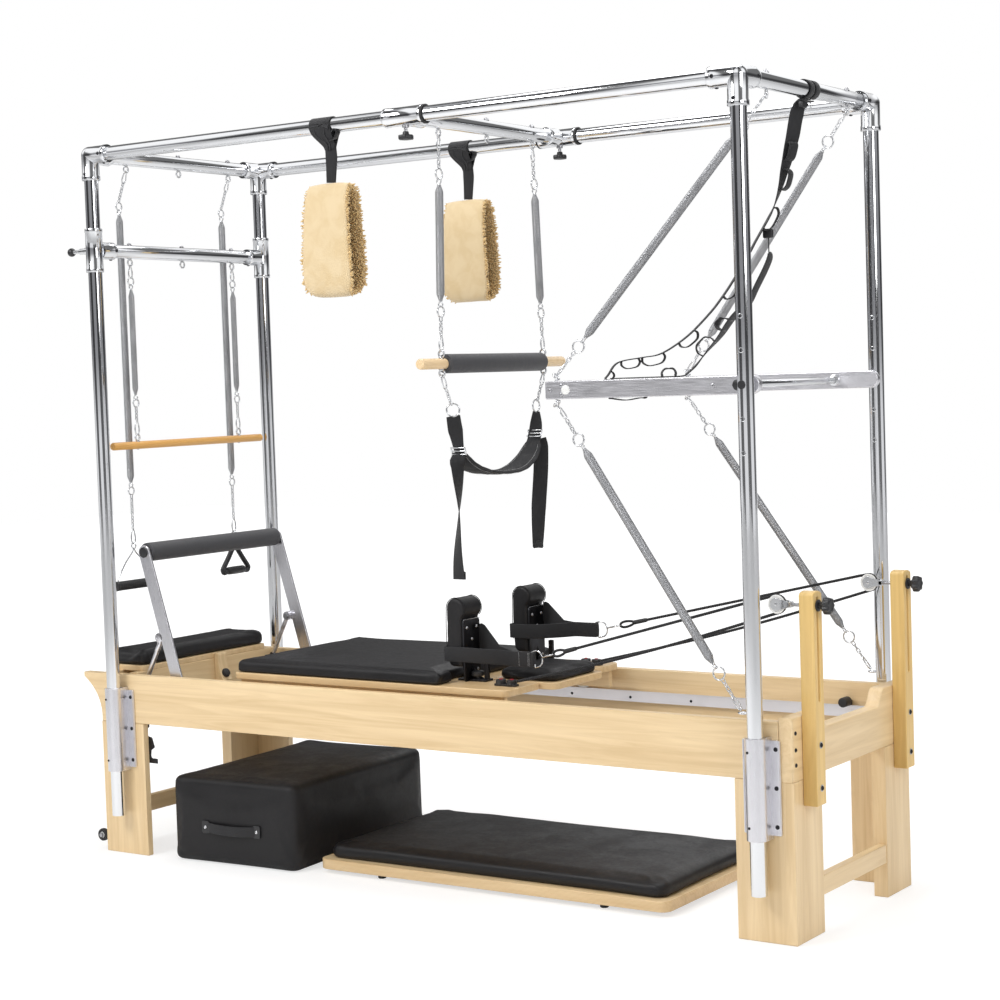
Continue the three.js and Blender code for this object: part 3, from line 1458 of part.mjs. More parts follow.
// A shoulder rest's pad is a curved profile with a roll at the top
function shoulderRest(side) {
  const back = REST_BACK_X - GAP;
  const front = back - REST_PAD;
  const bottom = CARRIAGE_TOP_Z + REST_BOTTOM;
  const rollZ = bottom + REST_HEIGHT - REST_ROLL_RADIUS;
  const rollX = REST_BACK_X + REST_ROLL_OVERHANG - REST_ROLL_RADIUS;
  const meetAngle = -Math.acos((back - rollX) / REST_ROLL_RADIUS);
  const shape = new THREE.Shape();
  shape.moveTo(back, bottom);
  shape.lineTo(back, rollZ + REST_ROLL_RADIUS * Math.sin(meetAngle));
  shape.absarc(rollX, rollZ, REST_ROLL_RADIUS, meetAngle, 185 * DEGREE, false);
  shape.quadraticCurveTo(
    front - REST_PAD * 0.08,
    bottom + REST_HEIGHT * 0.4,
    front + REST_PAD * 0.08,
    bottom,
  );
  shape.closePath();
  const y = side * REST_Y;
  const pad = boardAcross(shape, y - REST_WIDTH / 2, y + REST_WIDTH / 2);
  const [a, b] = [y - REST_WIDTH / 2 - OVERRUN, y + REST_WIDTH / 2 + OVERRUN];
  const clearance = block(
    REST_BACK_X - GAP,
    REST_BACK_X + REST_PLATE + BOLT_HEIGHT + 2 * GAP,
    a,
    b,
    CARRIAGE_TOP_Z,
    CARRIAGE_TOP_Z + REST_PLATE_HEIGHT + GAP,
  );
  const group = assembly(carriage, at(REST_BACK_X, y, CARRIAGE_TOP_Z));
  const whole = join(cut(pad, clearance), ...restStrap(side));
  addPiece(group, sideName(side) + "_shoulder_rest", whole, "blackVinyl");
}

// Height of the middle of a shoulder strap
function strapZ(side) {
  return CARRIAGE_TOP_Z + REST_BOTTOM + STRAP_RISE[side < 0 ? 0 : 1] + STRAP_HEIGHT / 2;
}

// Middle of the ring on a shoulder strap, and the way that its rope pulls
function strapRing(side) {
  const z = strapZ(side) + RING_LIFT[side < 0 ? 0 : 1];
  const centre = at(REST_BACK_X + STRAP_REACH, side * (REST_Y + STRAP_THICKNESS), z);
  const goal = at(PULLEY_X, side * RISER_Y, PULLEY_Z + ROPE_LINE_RADIUS);
  return { centre, pull: goal.clone().sub(centre).normalize() };
}

// Webbing round the foot of the rest, its two sides brought together at a ring
function restStrap(side) {
  const y = side * REST_Y;
  const half = REST_WIDTH / 2 + STRAP_THICKNESS / 2 - GAP;
  const z = strapZ(side);
  const front = REST_BACK_X - REST_PAD - STRAP_THICKNESS;
  const { centre, pull } = strapRing(side);
  const close = centre.clone().addScaledVector(pull, -RING_RADIUS);
  const routeOf = (s) => [
    at(front, y + s * half * 0.05, z),
    at(front, y + s * half * 0.8, z),
    at(front + STRAP_THICKNESS, y + s * half, z),
    at(REST_BACK_X + REST_PLATE + BOLT_HEIGHT * 2, y + s * half, z),
    at(REST_BACK_X + STRAP_REACH * 0.45, y + s * half * 0.45, (z + close.z) / 2),
    at(REST_BACK_X + STRAP_REACH * 0.62, y + s * STRAP_THICKNESS * 0.4, close.z),
    close.clone().add(at(0, s * STRAP_THICKNESS * 0.4, 0)),
  ];
  const ringAxis = at(pull.y, -pull.x, 0).normalize();
  return [
    ...SIDES.map((s) => band(routeOf(s), UP, STRAP_HEIGHT, STRAP_THICKNESS)),
    band(
      [at(front, y - half * 0.2, z), at(front, y + half * 0.2, z)],
      UP,
      STRAP_HEIGHT,
      STRAP_THICKNESS,
    ),
    ring(RING_RADIUS, RING_WIRE, centre, ringAxis, pull, 8),
  ];
}

// A rope from the strap's ring, round the pulley and back to the cleat
function rope(side) {
  const { centre, pull } = strapRing(side);
  const y = side * RISER_Y;
  const clipReach = RING_RADIUS - RING_WIRE - LINK_WIRE - LINK_PLAY + LINK_RADIUS;
  const clip = centre.clone().addScaledVector(pull, clipReach);
  const start = clip.clone().addScaledVector(pull, LINK_RADIUS + CHAIN_WIRE);
  const cleatEnd = at(
    CARRIAGE_START_X + CLEAT_X + CLEAT_LENGTH + GAP,
    side * CLEAT_Y,
    CARRIAGE_TOP_Z + CLEAT_HEIGHT * 0.6 + ROPE_RADIUS,
  );
  const axle = at(PULLEY_X, y, PULLEY_Z);
  const upAngle = 90 * DEGREE + Math.atan2(axle.z - start.z, axle.x - start.x);
  const downAngle = Math.atan2(axle.z - cleatEnd.z, axle.x - cleatEnd.x) - 90 * DEGREE;
  const turns = 8;
  const step = (upAngle - downAngle) / turns;
  const line = ROPE_LINE_RADIUS / Math.cos(step / 2);
  const round = [];
  for (let i = 0; i <= turns; i++) {
    const angle = upAngle - i * step;
    round.push(axle.clone().add(at(line * Math.cos(angle), 0, line * Math.sin(angle))));
  }
  const upperWay = at(-Math.sin(upAngle), 0, Math.cos(upAngle));
  const lowerWay = at(Math.sin(downAngle), 0, -Math.cos(downAngle));
  const upper = round[0].clone().addScaledVector(upperWay, PULLEY_RADIUS);
  const lower = round[turns].clone().addScaledVector(lowerWay, PULLEY_RADIUS);
  const sag = CLEAT_HEIGHT * 0.6;
  const lead = [0, 0.25, 0.5, 0.75, 1].map((share) =>
    lower
      .clone()
      .lerp(cleatEnd, share)
      .add(at(0, 0, -sag * Math.sin(share * 180 * DEGREE))),
  );
  const route = [start, upper, ...round, ...lead];
  const pieces = [
    cord(route, ROPE_RADIUS),
    ring(LINK_RADIUS, LINK_WIRE, clip, UP, pull.clone().negate()),
    rod(
      CHAIN_WIRE,
      clip.clone().addScaledVector(pull, LINK_RADIUS),
      start.clone().addScaledVector(pull, EMBED),
      5,
    ),
  ];
  addPiece(carriage, sideName(side) + "_rope", join(...pieces), "rope");
}

// Springs between the spring bar and the carriage, hidden below the cushion
function bedSprings() {
  const barTop = LEG_HEIGHT + TRACK_BOTTOM - SPRING_BAR_DROP;
  const half = RAIL_IN_Y - GAP;
  const bar = block(
    SPRING_BAR_X - SPRING_BAR_DEPTH / 2,
    SPRING_BAR_X + SPRING_BAR_DEPTH / 2,
    -half,
    half,
    barTop - SPRING_BAR_HEIGHT,
    barTop,
  );
  const springs = [];
  for (let i = 0; i < BED_SPRINGS; i++) {
    const y = (i - (BED_SPRINGS - 1) / 2) * BED_SPRING_PITCH;
    const start = at(SPRING_BAR_X, y, barTop - SPRING_BAR_HEIGHT / 2);
    const end = at(CARRIAGE_START_X + CARRIAGE_SKIRT - GAP, y, start.z + BED_SPRING_RADIUS * 2);
    springs.push(barrel(start, end, BED_SPRING_STEM, BED_SPRING_RADIUS));
  }
  addPiece(bed, "carriage_springs", join(bar, ...springs), "steel");
}

// Footbar

function footbarArmOutline() {
  const length = Math.hypot(FOOTBAR_LEAN, FOOTBAR_HEIGHT);
  const half = FOOTBAR_ARM_WIDTH / 2;
  const shape = new THREE.Shape();
  shape.absarc(0, 0, half, 180 * DEGREE, 360 * DEGREE, false);
  shape.lineTo(half, length);
  shape.absarc(0, length, half, 0, 180 * DEGREE, false);
  shape.closePath();
  return shape;
}

function footbarFrame() {
  const group = assembly(bed, at(FOOTBAR_PIVOT_X, 0, FOOTBAR_PIVOT_Z));
  const lean = Math.atan2(FOOTBAR_LEAN, FOOTBAR_HEIGHT);
  const pivot = strutPivot();
  const pieces = [];
  const top = at(FOOTBAR_PIVOT_X - FOOTBAR_LEAN, 0, FOOTBAR_PIVOT_Z + FOOTBAR_HEIGHT);
  for (const side of SIDES) {
    const outer = side * FOOTBAR_ARM_Y;
    const inner = side * (FOOTBAR_ARM_Y - FOOTBAR_ARM);
    const arm = boardAcross(footbarArmOutline(), Math.min(inner, outer), Math.max(inner, outer));
    arm.rotateY(-lean).translate(FOOTBAR_PIVOT_X, 0, FOOTBAR_PIVOT_Z);
    const spacer = RAIL_IN_Y - GAP - FOOTBAR_ARM_Y + EMBED;
    const pinLength = spacer + RAIL_THICKNESS;
    const pin = turned(
      [
        [0, 0],
        [PIVOT_RADIUS * 2, 0],
        [PIVOT_RADIUS * 2, spacer],
        [PIVOT_RADIUS, spacer],
        [PIVOT_RADIUS, pinLength],
        [0, pinLength],
      ],
      at(FOOTBAR_PIVOT_X, side * (FOOTBAR_ARM_Y - EMBED), FOOTBAR_PIVOT_Z),
      at(0, side, 0),
      10,
    );
    // The ear and pin that carry the strut
    const ear = rod(
      STRUT_EYE_RADIUS,
      at(pivot.x, inner, pivot.z),
      at(pivot.x, outer, pivot.z),
      8,
    );
    const strutPin = rod(
      STRUT_PIN_RADIUS,
      at(pivot.x, side * (FOOTBAR_ARM_Y - EMBED), pivot.z),
      at(pivot.x, side * (STRUT_Y - STRUT_EYE_WIDTH / 2 - 4 * GAP), pivot.z),
      STRUT_SIDES,
    );
    pieces.push(arm, pin, ear, strutPin);
  }
  const reach = FOOTBAR_ARM_Y - EMBED;
  pieces.push(rod(FOOTBAR_TUBE_RADIUS, at(top.x, -reach, top.z), at(top.x, reach, top.z)));
  addPiece(group, "footbar_frame", join(...pieces), "aluminium");
  const half = GRIP_LENGTH / 2;
  const bore = FOOTBAR_TUBE_RADIUS + GAP;
  const round = GRIP_RADIUS * 0.12;
  const profile = [
    [bore, -half],
    [GRIP_RADIUS - round, -half],
    [GRIP_RADIUS, -half + round],
    [GRIP_RADIUS, half - round],
    [GRIP_RADIUS - round, half],
    [bore, half],
    [bore, -half],
  ];
  const grip = turned(profile, at(top.x, 0, top.z), ALONG_Y, 18);
  addPiece(group, "footbar_grip", join(grip), "foam");
  for (const side of SIDES) footbarStrut(side, group);
}

function footbarStrut(side, footbar) {
  const pivot = strutPivot();
  const { down, foot } = strutFoot();
  const y = side * STRUT_Y;
  const half = STRUT_EYE_WIDTH / 2;
  const eyeBody = rod(
    STRUT_EYE_RADIUS,
    at(pivot.x, y - half, pivot.z),
    at(pivot.x, y + half, pivot.z),
    10,
  );
  const start = at(pivot.x, y, pivot.z).addScaledVector(down, STRUT_PIN_RADIUS + 2 * EMBED);
  const leg = rod(STRUT_RADIUS * 0.8, start, at(foot.x, y, foot.z), 8);
  const toe = rod(
    STRUT_RADIUS,
    at(foot.x, y - half, foot.z),
    at(foot.x, y + half, foot.z),
    8,
  );
  const hole = rod(
    (STRUT_PIN_RADIUS + GAP) / Math.cos(Math.PI / STRUT_SIDES),
    at(pivot.x, y - half - OVERRUN, pivot.z),
    at(pivot.x, y + half + OVERRUN, pivot.z),
    STRUT_SIDES,
  );
  const group = assembly(footbar, at(pivot.x, y, pivot.z));
  addPiece(group, sideName(side) + "_footbar_strut", cut(join(eyeBody, leg, toe), hole), "steel");
}

// Push-through bar

// Where the springs of one side hook on, and which way each pulls
function pushSpringEnds(side) {
  const armTop = PUSH_BAR_Z + PUSH_ARM_HEIGHT / 2 + EYE_RADIUS + EYE_WIRE;
  const armLow = PUSH_BAR_Z - PUSH_ARM_HEIGHT / 2 - EYE_RADIUS - EYE_WIRE;
  const x = PUSH_FREE_X + PUSH_END_X;
  const eyes = {
    roof: at(POST_X, side * EYE_SPREAD, TOP_EYE_Z),
    armTop: at(x, side * PUSH_ARM_Y, armTop),
    armLow: at(x, side * PUSH_ARM_Y, armLow),
    floor: at(POST_X - TUBE_RADIUS - EYE_RADIUS - EYE_WIRE, side * POST_Y, LOWER_EYE_Z),
  };
  const topPull = eyes.armTop.clone().sub(eyes.roof).normalize();
  eyes.floorPull = eyes.floor.clone().sub(eyes.armLow).normalize();
  return { eyes, topPull };
}

function pushBar() {
  const pieces = [];
  const half = PUSH_ARM_HEIGHT / 2;
  for (const side of SIDES) {
    const outer = side * PUSH_ARM_OUT_Y;
    const inner = side * (PUSH_ARM_OUT_Y - PUSH_ARM);
    const shape = new THREE.Shape();
    shape.moveTo(PUSH_FREE_X, PUSH_BAR_Z - half);
    shape.lineTo(POST_X, PUSH_BAR_Z - half);
    shape.absarc(POST_X, PUSH_BAR_Z, half, -90 * DEGREE, 90 * DEGREE, false);
    shape.lineTo(PUSH_FREE_X, PUSH_BAR_Z + half);
    shape.closePath();
    pieces.push(boardAcross(shape, Math.min(inner, outer), Math.max(inner, outer)));
    const { eyes, topPull } = pushSpringEnds(side);
    const stemUp = at(eyes.armTop.x, eyes.armTop.y, PUSH_BAR_Z + half - EMBED);
    const stemDown = at(eyes.armLow.x, eyes.armLow.y, PUSH_BAR_Z - half + EMBED);
    pieces.push(
      ...eye(eyes.armTop, topPull.clone().negate(), at(0, 0, 1), stemUp),
      ...eye(eyes.armLow, eyes.floorPull, at(0, 0, -1), stemDown),
    );
    // Pivot pin through the upright, with its head outside
    pieces.push(
      rod(
        PUSH_PIN_RADIUS,
        at(POST_X, side * (PUSH_ARM_OUT_Y - EMBED), PUSH_BAR_Z),
        at(POST_X, side * (POST_Y + TUBE_RADIUS + PUSH_PIN_RADIUS / 2), PUSH_BAR_Z),
        8,
      ),
    );
    const face = (x, dz) => at(x, outer, PUSH_BAR_Z + dz);
    for (const [x, dz] of [
      [PUSH_FREE_X + PUSH_END_X / 2, 0],
      [PUSH_FREE_X + PUSH_END_X * 1.7, half * 0.5],
      [PUSH_FREE_X + PUSH_END_X * 1.7, -half * 0.5],
      [POST_X - PUSH_SHAFT_X, 0],
    ]) {
      pieces.push(head(BOLT_RADIUS * 0.9, BOLT_HEIGHT / 2, face(x, dz), at(0, side, 0), 6));
    }
    const knobStart = face(POST_X - PUSH_KNOB_X, 0).add(at(0, -side * EMBED, 0));
    const knobEnd = face(POST_X - PUSH_KNOB_X, 0).add(at(0, side * PUSH_KNOB_HEIGHT, 0));
    pieces.push(rod(PUSH_KNOB_RADIUS, knobStart, knobEnd, 10));
  }
  const reach = PUSH_ARM_OUT_Y - PUSH_ARM + EMBED;
  pieces.push(
    rod(
      PUSH_END_TUBE_RADIUS,
      at(PUSH_FREE_X + PUSH_END_X, -reach, PUSH_BAR_Z),
      at(PUSH_FREE_X + PUSH_END_X, reach, PUSH_BAR_Z),
      8,
    ),
    rod(
      PUSH_SHAFT_RADIUS,
      at(POST_X - PUSH_SHAFT_X, -reach, PUSH_BAR_Z),
      at(POST_X - PUSH_SHAFT_X, reach, PUSH_BAR_Z),
      8,
    ),
  );
  const group = assembly(tubeFrame, at(POST_X, 0, PUSH_BAR_Z));
  addPiece(group, "push_through_bar", join(...pieces), "aluminium");
}

function pushSprings(side) {
  const { eyes, topPull } = pushSpringEnds(side);
  const specs = [
    ["upper", eyes.roof, topPull, eyes.armTop, at(0, 0, -1), at(0, 0, 1)],
    ["lower", eyes.armLow, eyes.floorPull, eyes.floor, at(0, 0, -1), at(-1, 0, 0)],
  ];
  for (const [place, from, pull, to, fromStem, toStem] of specs) {
    const top = linkCentre(from, pull);
    const bottom = linkCentre(to, pull.clone().negate());
    const length = bottom.distanceTo(top);
    const coilLength = length * PUSH_COIL_SHARE[place];
    const sizes = {
      ringRadius: BIG_RING_RADIUS,
      coilStart: (length - coilLength) / 2,
      coilLength,
      radius: SPRING_RADIUS,
    };
    const name = sideName(side) + "_" + place + "_push_spring";
    const topAxis = stemAxis(pull, fromStem).cross(pull);
    const bottomAxis = stemAxis(pull, toStem).cross(pull);
    addPiece(tubeFrame, name, springUnit(top, bottom, topAxis, bottomAxis, sizes), "steel");
  }
}

// Lower crossbar: two tees on the foot uprights with the bar between

function teeSleeve(side) {
  const x = -POST_X;
  const y = side * POST_Y;
  const inner = TUBE_RADIUS + GAP;
  const outer = inner + TEE_WALL;
  const half = TEE_HEIGHT / 2;
  const pieces = [
    rod(outer, at(x, y, CROSSBAR_Z - half), at(x, y, CROSSBAR_Z + half)),
    rod(
      outer,
      at(x, y, CROSSBAR_Z),
      at(x, y - side * SOCKET_REACH, CROSSBAR_Z),
    ),
    rod(
      PLUNGER_RADIUS,
      at(x - inner - EMBED, y, CROSSBAR_Z),
      at(x - PLUNGER_REACH, y, CROSSBAR_Z),
      10,
    ),
    ball(BALL_RADIUS, at(x - PLUNGER_REACH, y, CROSSBAR_Z)),
  ];
  const bore = rod(
    inner,
    at(x, y, CROSSBAR_Z - half - OVERRUN),
    at(x, y, CROSSBAR_Z + half + OVERRUN),
  );
  return { pieces, bore };
}

function slidingCrossbar() {
  const tees = SIDES.map(teeSleeve);
  const reach = POST_Y - SOCKET_REACH + OVERRUN;
  const bar = rod(TUBE_RADIUS, at(-POST_X, -reach, CROSSBAR_Z), at(-POST_X, reach, CROSSBAR_Z));
  const eyes = hangingEyes(-POST_X, CROSSBAR_Z, [-EYE_SPREAD, 0, EYE_SPREAD], TUBE_RADIUS, () =>
    at(0, 0, -1),
  );
  const whole = join(bar, ...tees.flatMap((tee) => tee.pieces), ...eyes);
  addPiece(crossbar, "sliding_crossbar", cut(whole, ...tees.map((tee) => tee.bore)), "chrome");
}

// Sliding bar between the top rails, with a clamping knob below each collar

function trapezeSlider() {
  const inner = TUBE_RADIUS + GAP;
  const outer = inner + COLLAR_WALL;
  const pieces = [];
  const bores = [];
  for (const side of SIDES) {
    const y = side * POST_Y;
    const x0 = SLIDER_X - COLLAR_LENGTH / 2;
    pieces.push(
      rod(outer, at(x0, y, TOP_AXIS_Z), at(x0 + COLLAR_LENGTH, y, TOP_AXIS_Z)),
      rod(outer, at(SLIDER_X, y, TOP_AXIS_Z), at(SLIDER_X, y - side * SOCKET_REACH, TOP_AXIS_Z)),
    );
    const knobTop = TOP_AXIS_Z - outer + EMBED;
    const knobLow = TOP_AXIS_Z - outer - COLLAR_KNOB_DROP;
    const knobX = SLIDER_X;
    pieces.push(
      rod(STUD_RADIUS, at(knobX, y, knobLow), at(knobX, y, knobTop), 6),
      rod(STUD_RADIUS * 2, at(knobX, y, knobLow), at(knobX, y, knobLow + COLLAR_KNOB_DROP * 0.6), 10),
      rod(
        COLLAR_KNOB_RADIUS,
        at(knobX, y, knobLow - EMBED),
        at(knobX, y, knobLow + COLLAR_KNOB_HEIGHT - EMBED),
        14,
      ),
    );
    bores.push(
      rod(
        inner,
        at(x0 - OVERRUN, y, TOP_AXIS_Z),
        at(x0 + COLLAR_LENGTH + OVERRUN, y, TOP_AXIS_Z),
      ),
    );
  }
  const reach = POST_Y - SOCKET_REACH + OVERRUN;
  pieces.push(rod(TUBE_RADIUS, at(SLIDER_X, -reach, TOP_AXIS_Z), at(SLIDER_X, reach, TOP_AXIS_Z)));
  pieces.push(
    ...hangingEyes(SLIDER_X, TOP_AXIS_Z, [-EYE_SPREAD, 0, EYE_SPREAD], TUBE_RADIUS, () =>
      at(0, 0, -1),
    ),
  );
  addPiece(slider, "trapeze_slider", cut(join(...pieces), ...bores), "chrome");
}

// A hanging spring between an eye above and an eye on a bar below
function hangingSpring(group, name, top, bottom, coil) {
  const sizes = {
    ringRadius: coil.ringRadius,
    coilStart: top.z - coil.top,
    coilLength: coil.length,
    radius: coil.radius,
  };
  addPiece(group, name, springUnit(top, bottom, ALONG_X, ALONG_X, sizes), "steel");
}

// Trapeze

function trapeze() {
  const x = SLIDER_X;
  const half = TRAPEZE_BAR_LENGTH / 2;
  const barEyeZ = TRAPEZE_Z + TRAPEZE_BAR_RADIUS + EYE_RADIUS + EYE_WIRE;
  const lowEyeZ = TRAPEZE_Z - TRAPEZE_BAR_RADIUS - EYE_RADIUS - EYE_WIRE;
  const down = at(0, 0, -1);
  const pieces = [
    rod(TRAPEZE_BAR_RADIUS, at(x, -half, TRAPEZE_Z), at(x, half, TRAPEZE_Z)),
    rod(
      SLEEVE_RADIUS,
      at(x, -SLEEVE_LENGTH / 2, TRAPEZE_Z),
      at(x, SLEEVE_LENGTH / 2, TRAPEZE_Z),
      14,
    ),
  ];
  for (const side of SIDES) {
    const y = side * TRAPEZE_EYE_Y;
    pieces.push(
      ...eye(at(x, y, barEyeZ), UP, UP, at(x, y, TRAPEZE_Z)),
      ...eye(at(x, y, lowEyeZ), down, down, at(x, y, TRAPEZE_Z)),
    );
  }
  const group = assembly(slider, at(x, 0, TRAPEZE_Z));
  addPiece(group, "trapeze_bar", join(...pieces), "foam");
  for (const side of SIDES) {
    const top = linkCentre(at(x, side * EYE_SPREAD, TOP_EYE_Z), down);
    const bottom = linkCentre(at(x, side * TRAPEZE_EYE_Y, barEyeZ), UP);
    hangingSpring(slider, sideName(side) + "_trapeze_spring", top, bottom, {
      top: TRAPEZE_COIL_TOP_Z,
      length: TRAPEZE_COIL,
      radius: SPRING_RADIUS,
      ringRadius: BIG_RING_RADIUS * 0.9,
    });
  }
  sling(lowEyeZ, group);
}

// A padded sling on two rings, with two loose tails of webbing
function sling(eyeZ, trapezeBar) {
  const x = SLIDER_X;
  const ringZ = TRAPEZE_Z - SLING_DROP;
  const pieces = [];
  for (const side of SIDES) {
    const hook = linkCentre(at(x, side * TRAPEZE_EYE_Y, eyeZ), at(0, 0, -1));
    const ringCentre = at(x, side * SLING_RING_Y, ringZ);
    const pull = ringCentre.clone().sub(hook).normalize();
    pieces.push(
      ring(LINK_RADIUS, LINK_WIRE, hook, ALONG_X, UP),
      rod(
        CHAIN_WIRE,
        hook.clone().addScaledVector(pull, LINK_RADIUS),
        ringCentre.clone().addScaledVector(pull, -RING_RADIUS),
        6,
      ),
      ring(RING_RADIUS, RING_WIRE, ringCentre, ALONG_X, pull, 8),
    );
  }
  // The line from the front ring to the back ring, as shares of the rings' spread and the depth.
  // It hangs longer at the front, and the pad lies between its two slides.
  const lineShares = [
    [-1, 0.09],
    [-0.94, 0.4],
    [-0.88, 0.68],
    [-0.68, 0.86],
    [-0.34, 0.97],
    [0.08, 1],
    [0.45, 0.95],
    [0.76, 0.76],
    [0.93, 0.5],
    [0.98, 0.3],
    [1, 0.09],
  ];
  const [frontSlide, backSlide] = [2, lineShares.length - 3];
  const line = lineShares.map(([across, drop]) =>
    at(x, SLING_RING_Y * across, ringZ - drop * SLING_DEPTH),
  );
  pieces.push(band(line, ALONG_X, TAIL_WIDTH, TAIL_THICKNESS));
  pieces.push(slingPad(line.slice(frontSlide, backSlide + 1)));
  const tailStarts = [line[frontSlide], line[backSlide]];
  const tailLengths = [FRONT_TAIL, BACK_TAIL];
  tailStarts.forEach((start, i) => {
    const lean = i ? -TAIL_WIDTH * 0.5 : -TAIL_THICKNESS;
    const stand = i ? TAIL_WIDTH * 0.4 : -TAIL_THICKNESS * 2;
    const route = [0, 0.12, 0.3, 0.6, 1].map((share) =>
      at(
        x,
        start.y + stand * Math.sign(share) + lean * share,
        start.z - share * tailLengths[i],
      ),
    );
    const turnShares = i ? [0, 0, 0, 0.05, 0.1] : [0, 0.08, 0.25, 0.5, 0.75];
    const across = turnShares.map((share) =>
      at(Math.cos(share * 180 * DEGREE), Math.sin(share * 180 * DEGREE), 0),
    );
    pieces.push(band(route, across, TAIL_WIDTH, TAIL_THICKNESS));
  });
  const group = assembly(trapezeBar, at(x, 0, eyeZ));
  addPiece(group, "trapeze_sling", join(...pieces), "webbing");
}

// The sling's padded middle: a flat oval section that swells between its ends
function slingPad(line) {
  const rows = line.map((point, i) => {
    const before = line[Math.max(i - 1, 0)];
    const after = line[Math.min(i + 1, line.length - 1)];
    const normal = after.clone().sub(before).cross(ALONG_X).normalize();
    const swell = Math.sin((i / (line.length - 1)) * 180 * DEGREE);
    const halfWidth = (SLING_PAD_WIDTH / 2) * (0.55 + 0.45 * swell);
    const halfThick = (SLING_PAD_THICKNESS / 2) * (0.6 + 0.4 * swell);
    const row = [];
    for (let j = 0; j < 8; j++) {
      const angle = (j / 8) * 360 * DEGREE;
      row.push(
        point
          .clone()
          .addScaledVector(ALONG_X, halfWidth * Math.cos(angle))
          .addScaledVector(normal, halfThick * Math.sin(angle)),
      );
    }
    return row;
  });
  return skin(rows);
}

// Roll-down bar on two springs below the lower crossbar

function rollDown() {
  const x = -POST_X;
  const half = ROLL_BAR_LENGTH / 2;
  const eyeZ = ROLL_BAR_Z + ROLL_BAR_RADIUS + EYE_RADIUS + EYE_WIRE;
  const pieces = [rod(ROLL_BAR_RADIUS, at(x, -half, ROLL_BAR_Z), at(x, half, ROLL_BAR_Z), 10)];
  for (const side of SIDES) {
    const y = side * EYE_SPREAD;
    pieces.push(...eye(at(x, y, eyeZ), UP, UP, at(x, y, ROLL_BAR_Z)));
    const top = linkCentre(at(x, y, CROSSBAR_EYE_Z), at(0, 0, -1));
    const bottom = linkCentre(at(x, y, eyeZ), UP);
    hangingSpring(crossbar, sideName(side) + "_roll_down_spring", top, bottom, {
      top: ROLL_COIL_TOP_Z,
      length: ROLL_COIL,
      radius: SPRING_RADIUS * 0.8,
      ringRadius: SMALL_RING_RADIUS,
    });
  }
  const group = assembly(crossbar, at(x, 0, ROLL_BAR_Z));
  addPiece(group, "roll_down_bar", join(...pieces), "rollWood");
}

// Handles on long springs, which lean past the lower crossbar on its outer side

function handlePull() {
  const drop = TOP_EYE_Z - HANDLE_RING_Z;
  return at(-HANDLE_HANG_X, 0, -drop).normalize();
}

function handleSpring(side) {
  const y = side * EYE_SPREAD;
  const group = assembly(tubeFrame, at(-POST_X, y, TOP_EYE_Z));
  const pull = handlePull();
  const link = linkCentre(at(-POST_X, y, TOP_EYE_Z), pull);
  const x = HANDLE_X;
  const coilTop = at(x, y, HANDLE_SPRING_TOP_Z);
  const coilEnd = at(x, y, HANDLE_SPRING_TOP_Z - HANDLE_SPRING_LENGTH);
  const topRing = at(x, y, HANDLE_SPRING_TOP_Z + SMALL_RING_RADIUS);
  const lowRing = at(x, y, coilEnd.z - SMALL_RING_RADIUS);
  const lowLink = at(x, y, HANDLE_APEX_Z + EYE_RADIUS + LINK_REACH);
  const toRing = at(x, y, topRing.z + SMALL_RING_RADIUS).sub(link);
  const ringWay = toRing.clone().normalize();
  const whole = join(
    ring(LINK_RADIUS, LINK_WIRE, link, pull.clone().cross(ALONG_Y), pull.clone().negate()),
    rod(
      CHAIN_WIRE,
      link.clone().addScaledVector(ringWay, LINK_RADIUS),
      at(x, y, topRing.z + SMALL_RING_RADIUS - EMBED),
      6,
    ),
    ring(SMALL_RING_RADIUS, BIG_RING_WIRE, topRing, ALONG_X, UP, 8),
    barrel(coilTop, coilEnd, SPRING_WIRE, SPRING_RADIUS * 0.95),
    ring(SMALL_RING_RADIUS, BIG_RING_WIRE, lowRing, ALONG_X, UP, 8),
    rod(
      CHAIN_WIRE,
      at(x, y, lowRing.z - SMALL_RING_RADIUS),
      at(x, y, lowLink.z + LINK_RADIUS),
      6,
    ),
    ring(LINK_RADIUS, LINK_WIRE, lowLink, ALONG_X, at(0, 0, -1)),
  );
  addPiece(group, sideName(side) + "_handle_spring", whole, "steel");
  const grip = assembly(group, at(x, y, HANDLE_APEX_Z));
  if (side < 0) wireHandle(grip);
  else mouldedHandle(grip);
}

// The front handle is a straight grip on two wires
function wireHandle(group) {
  const y = -EYE_SPREAD;
  const x = HANDLE_X;
  const eyeCentre = at(x, y, HANDLE_APEX_Z + EYE_RADIUS);
  const half = GRIP_HANDLE_LENGTH / 2;
  const apex = at(x, y, HANDLE_APEX_Z);
  const wires = SIDES.map((s) =>
    cord(
      [
        apex.clone(),
        at(x, y + s * half * 0.45, HANDLE_GRIP_Z + (HANDLE_APEX_Z - HANDLE_GRIP_Z) * 0.62),
        at(x, y + s * half * 0.85, HANDLE_GRIP_Z + (HANDLE_APEX_Z - HANDLE_GRIP_Z) * 0.2),
        at(x, y + s * half * 0.86, HANDLE_GRIP_Z),
      ],
      CHAIN_WIRE,
      5,
    ),
  );
  const grip = rod(
    GRIP_HANDLE_RADIUS,
    at(x, y - half, HANDLE_GRIP_Z),
    at(x, y + half, HANDLE_GRIP_Z),
    10,
  );
  const eyeRing = ring(EYE_RADIUS, EYE_WIRE, eyeCentre, ALONG_Y, UP);
  addPiece(group, "front_handle", join(eyeRing, ...wires, grip), "foam");
}

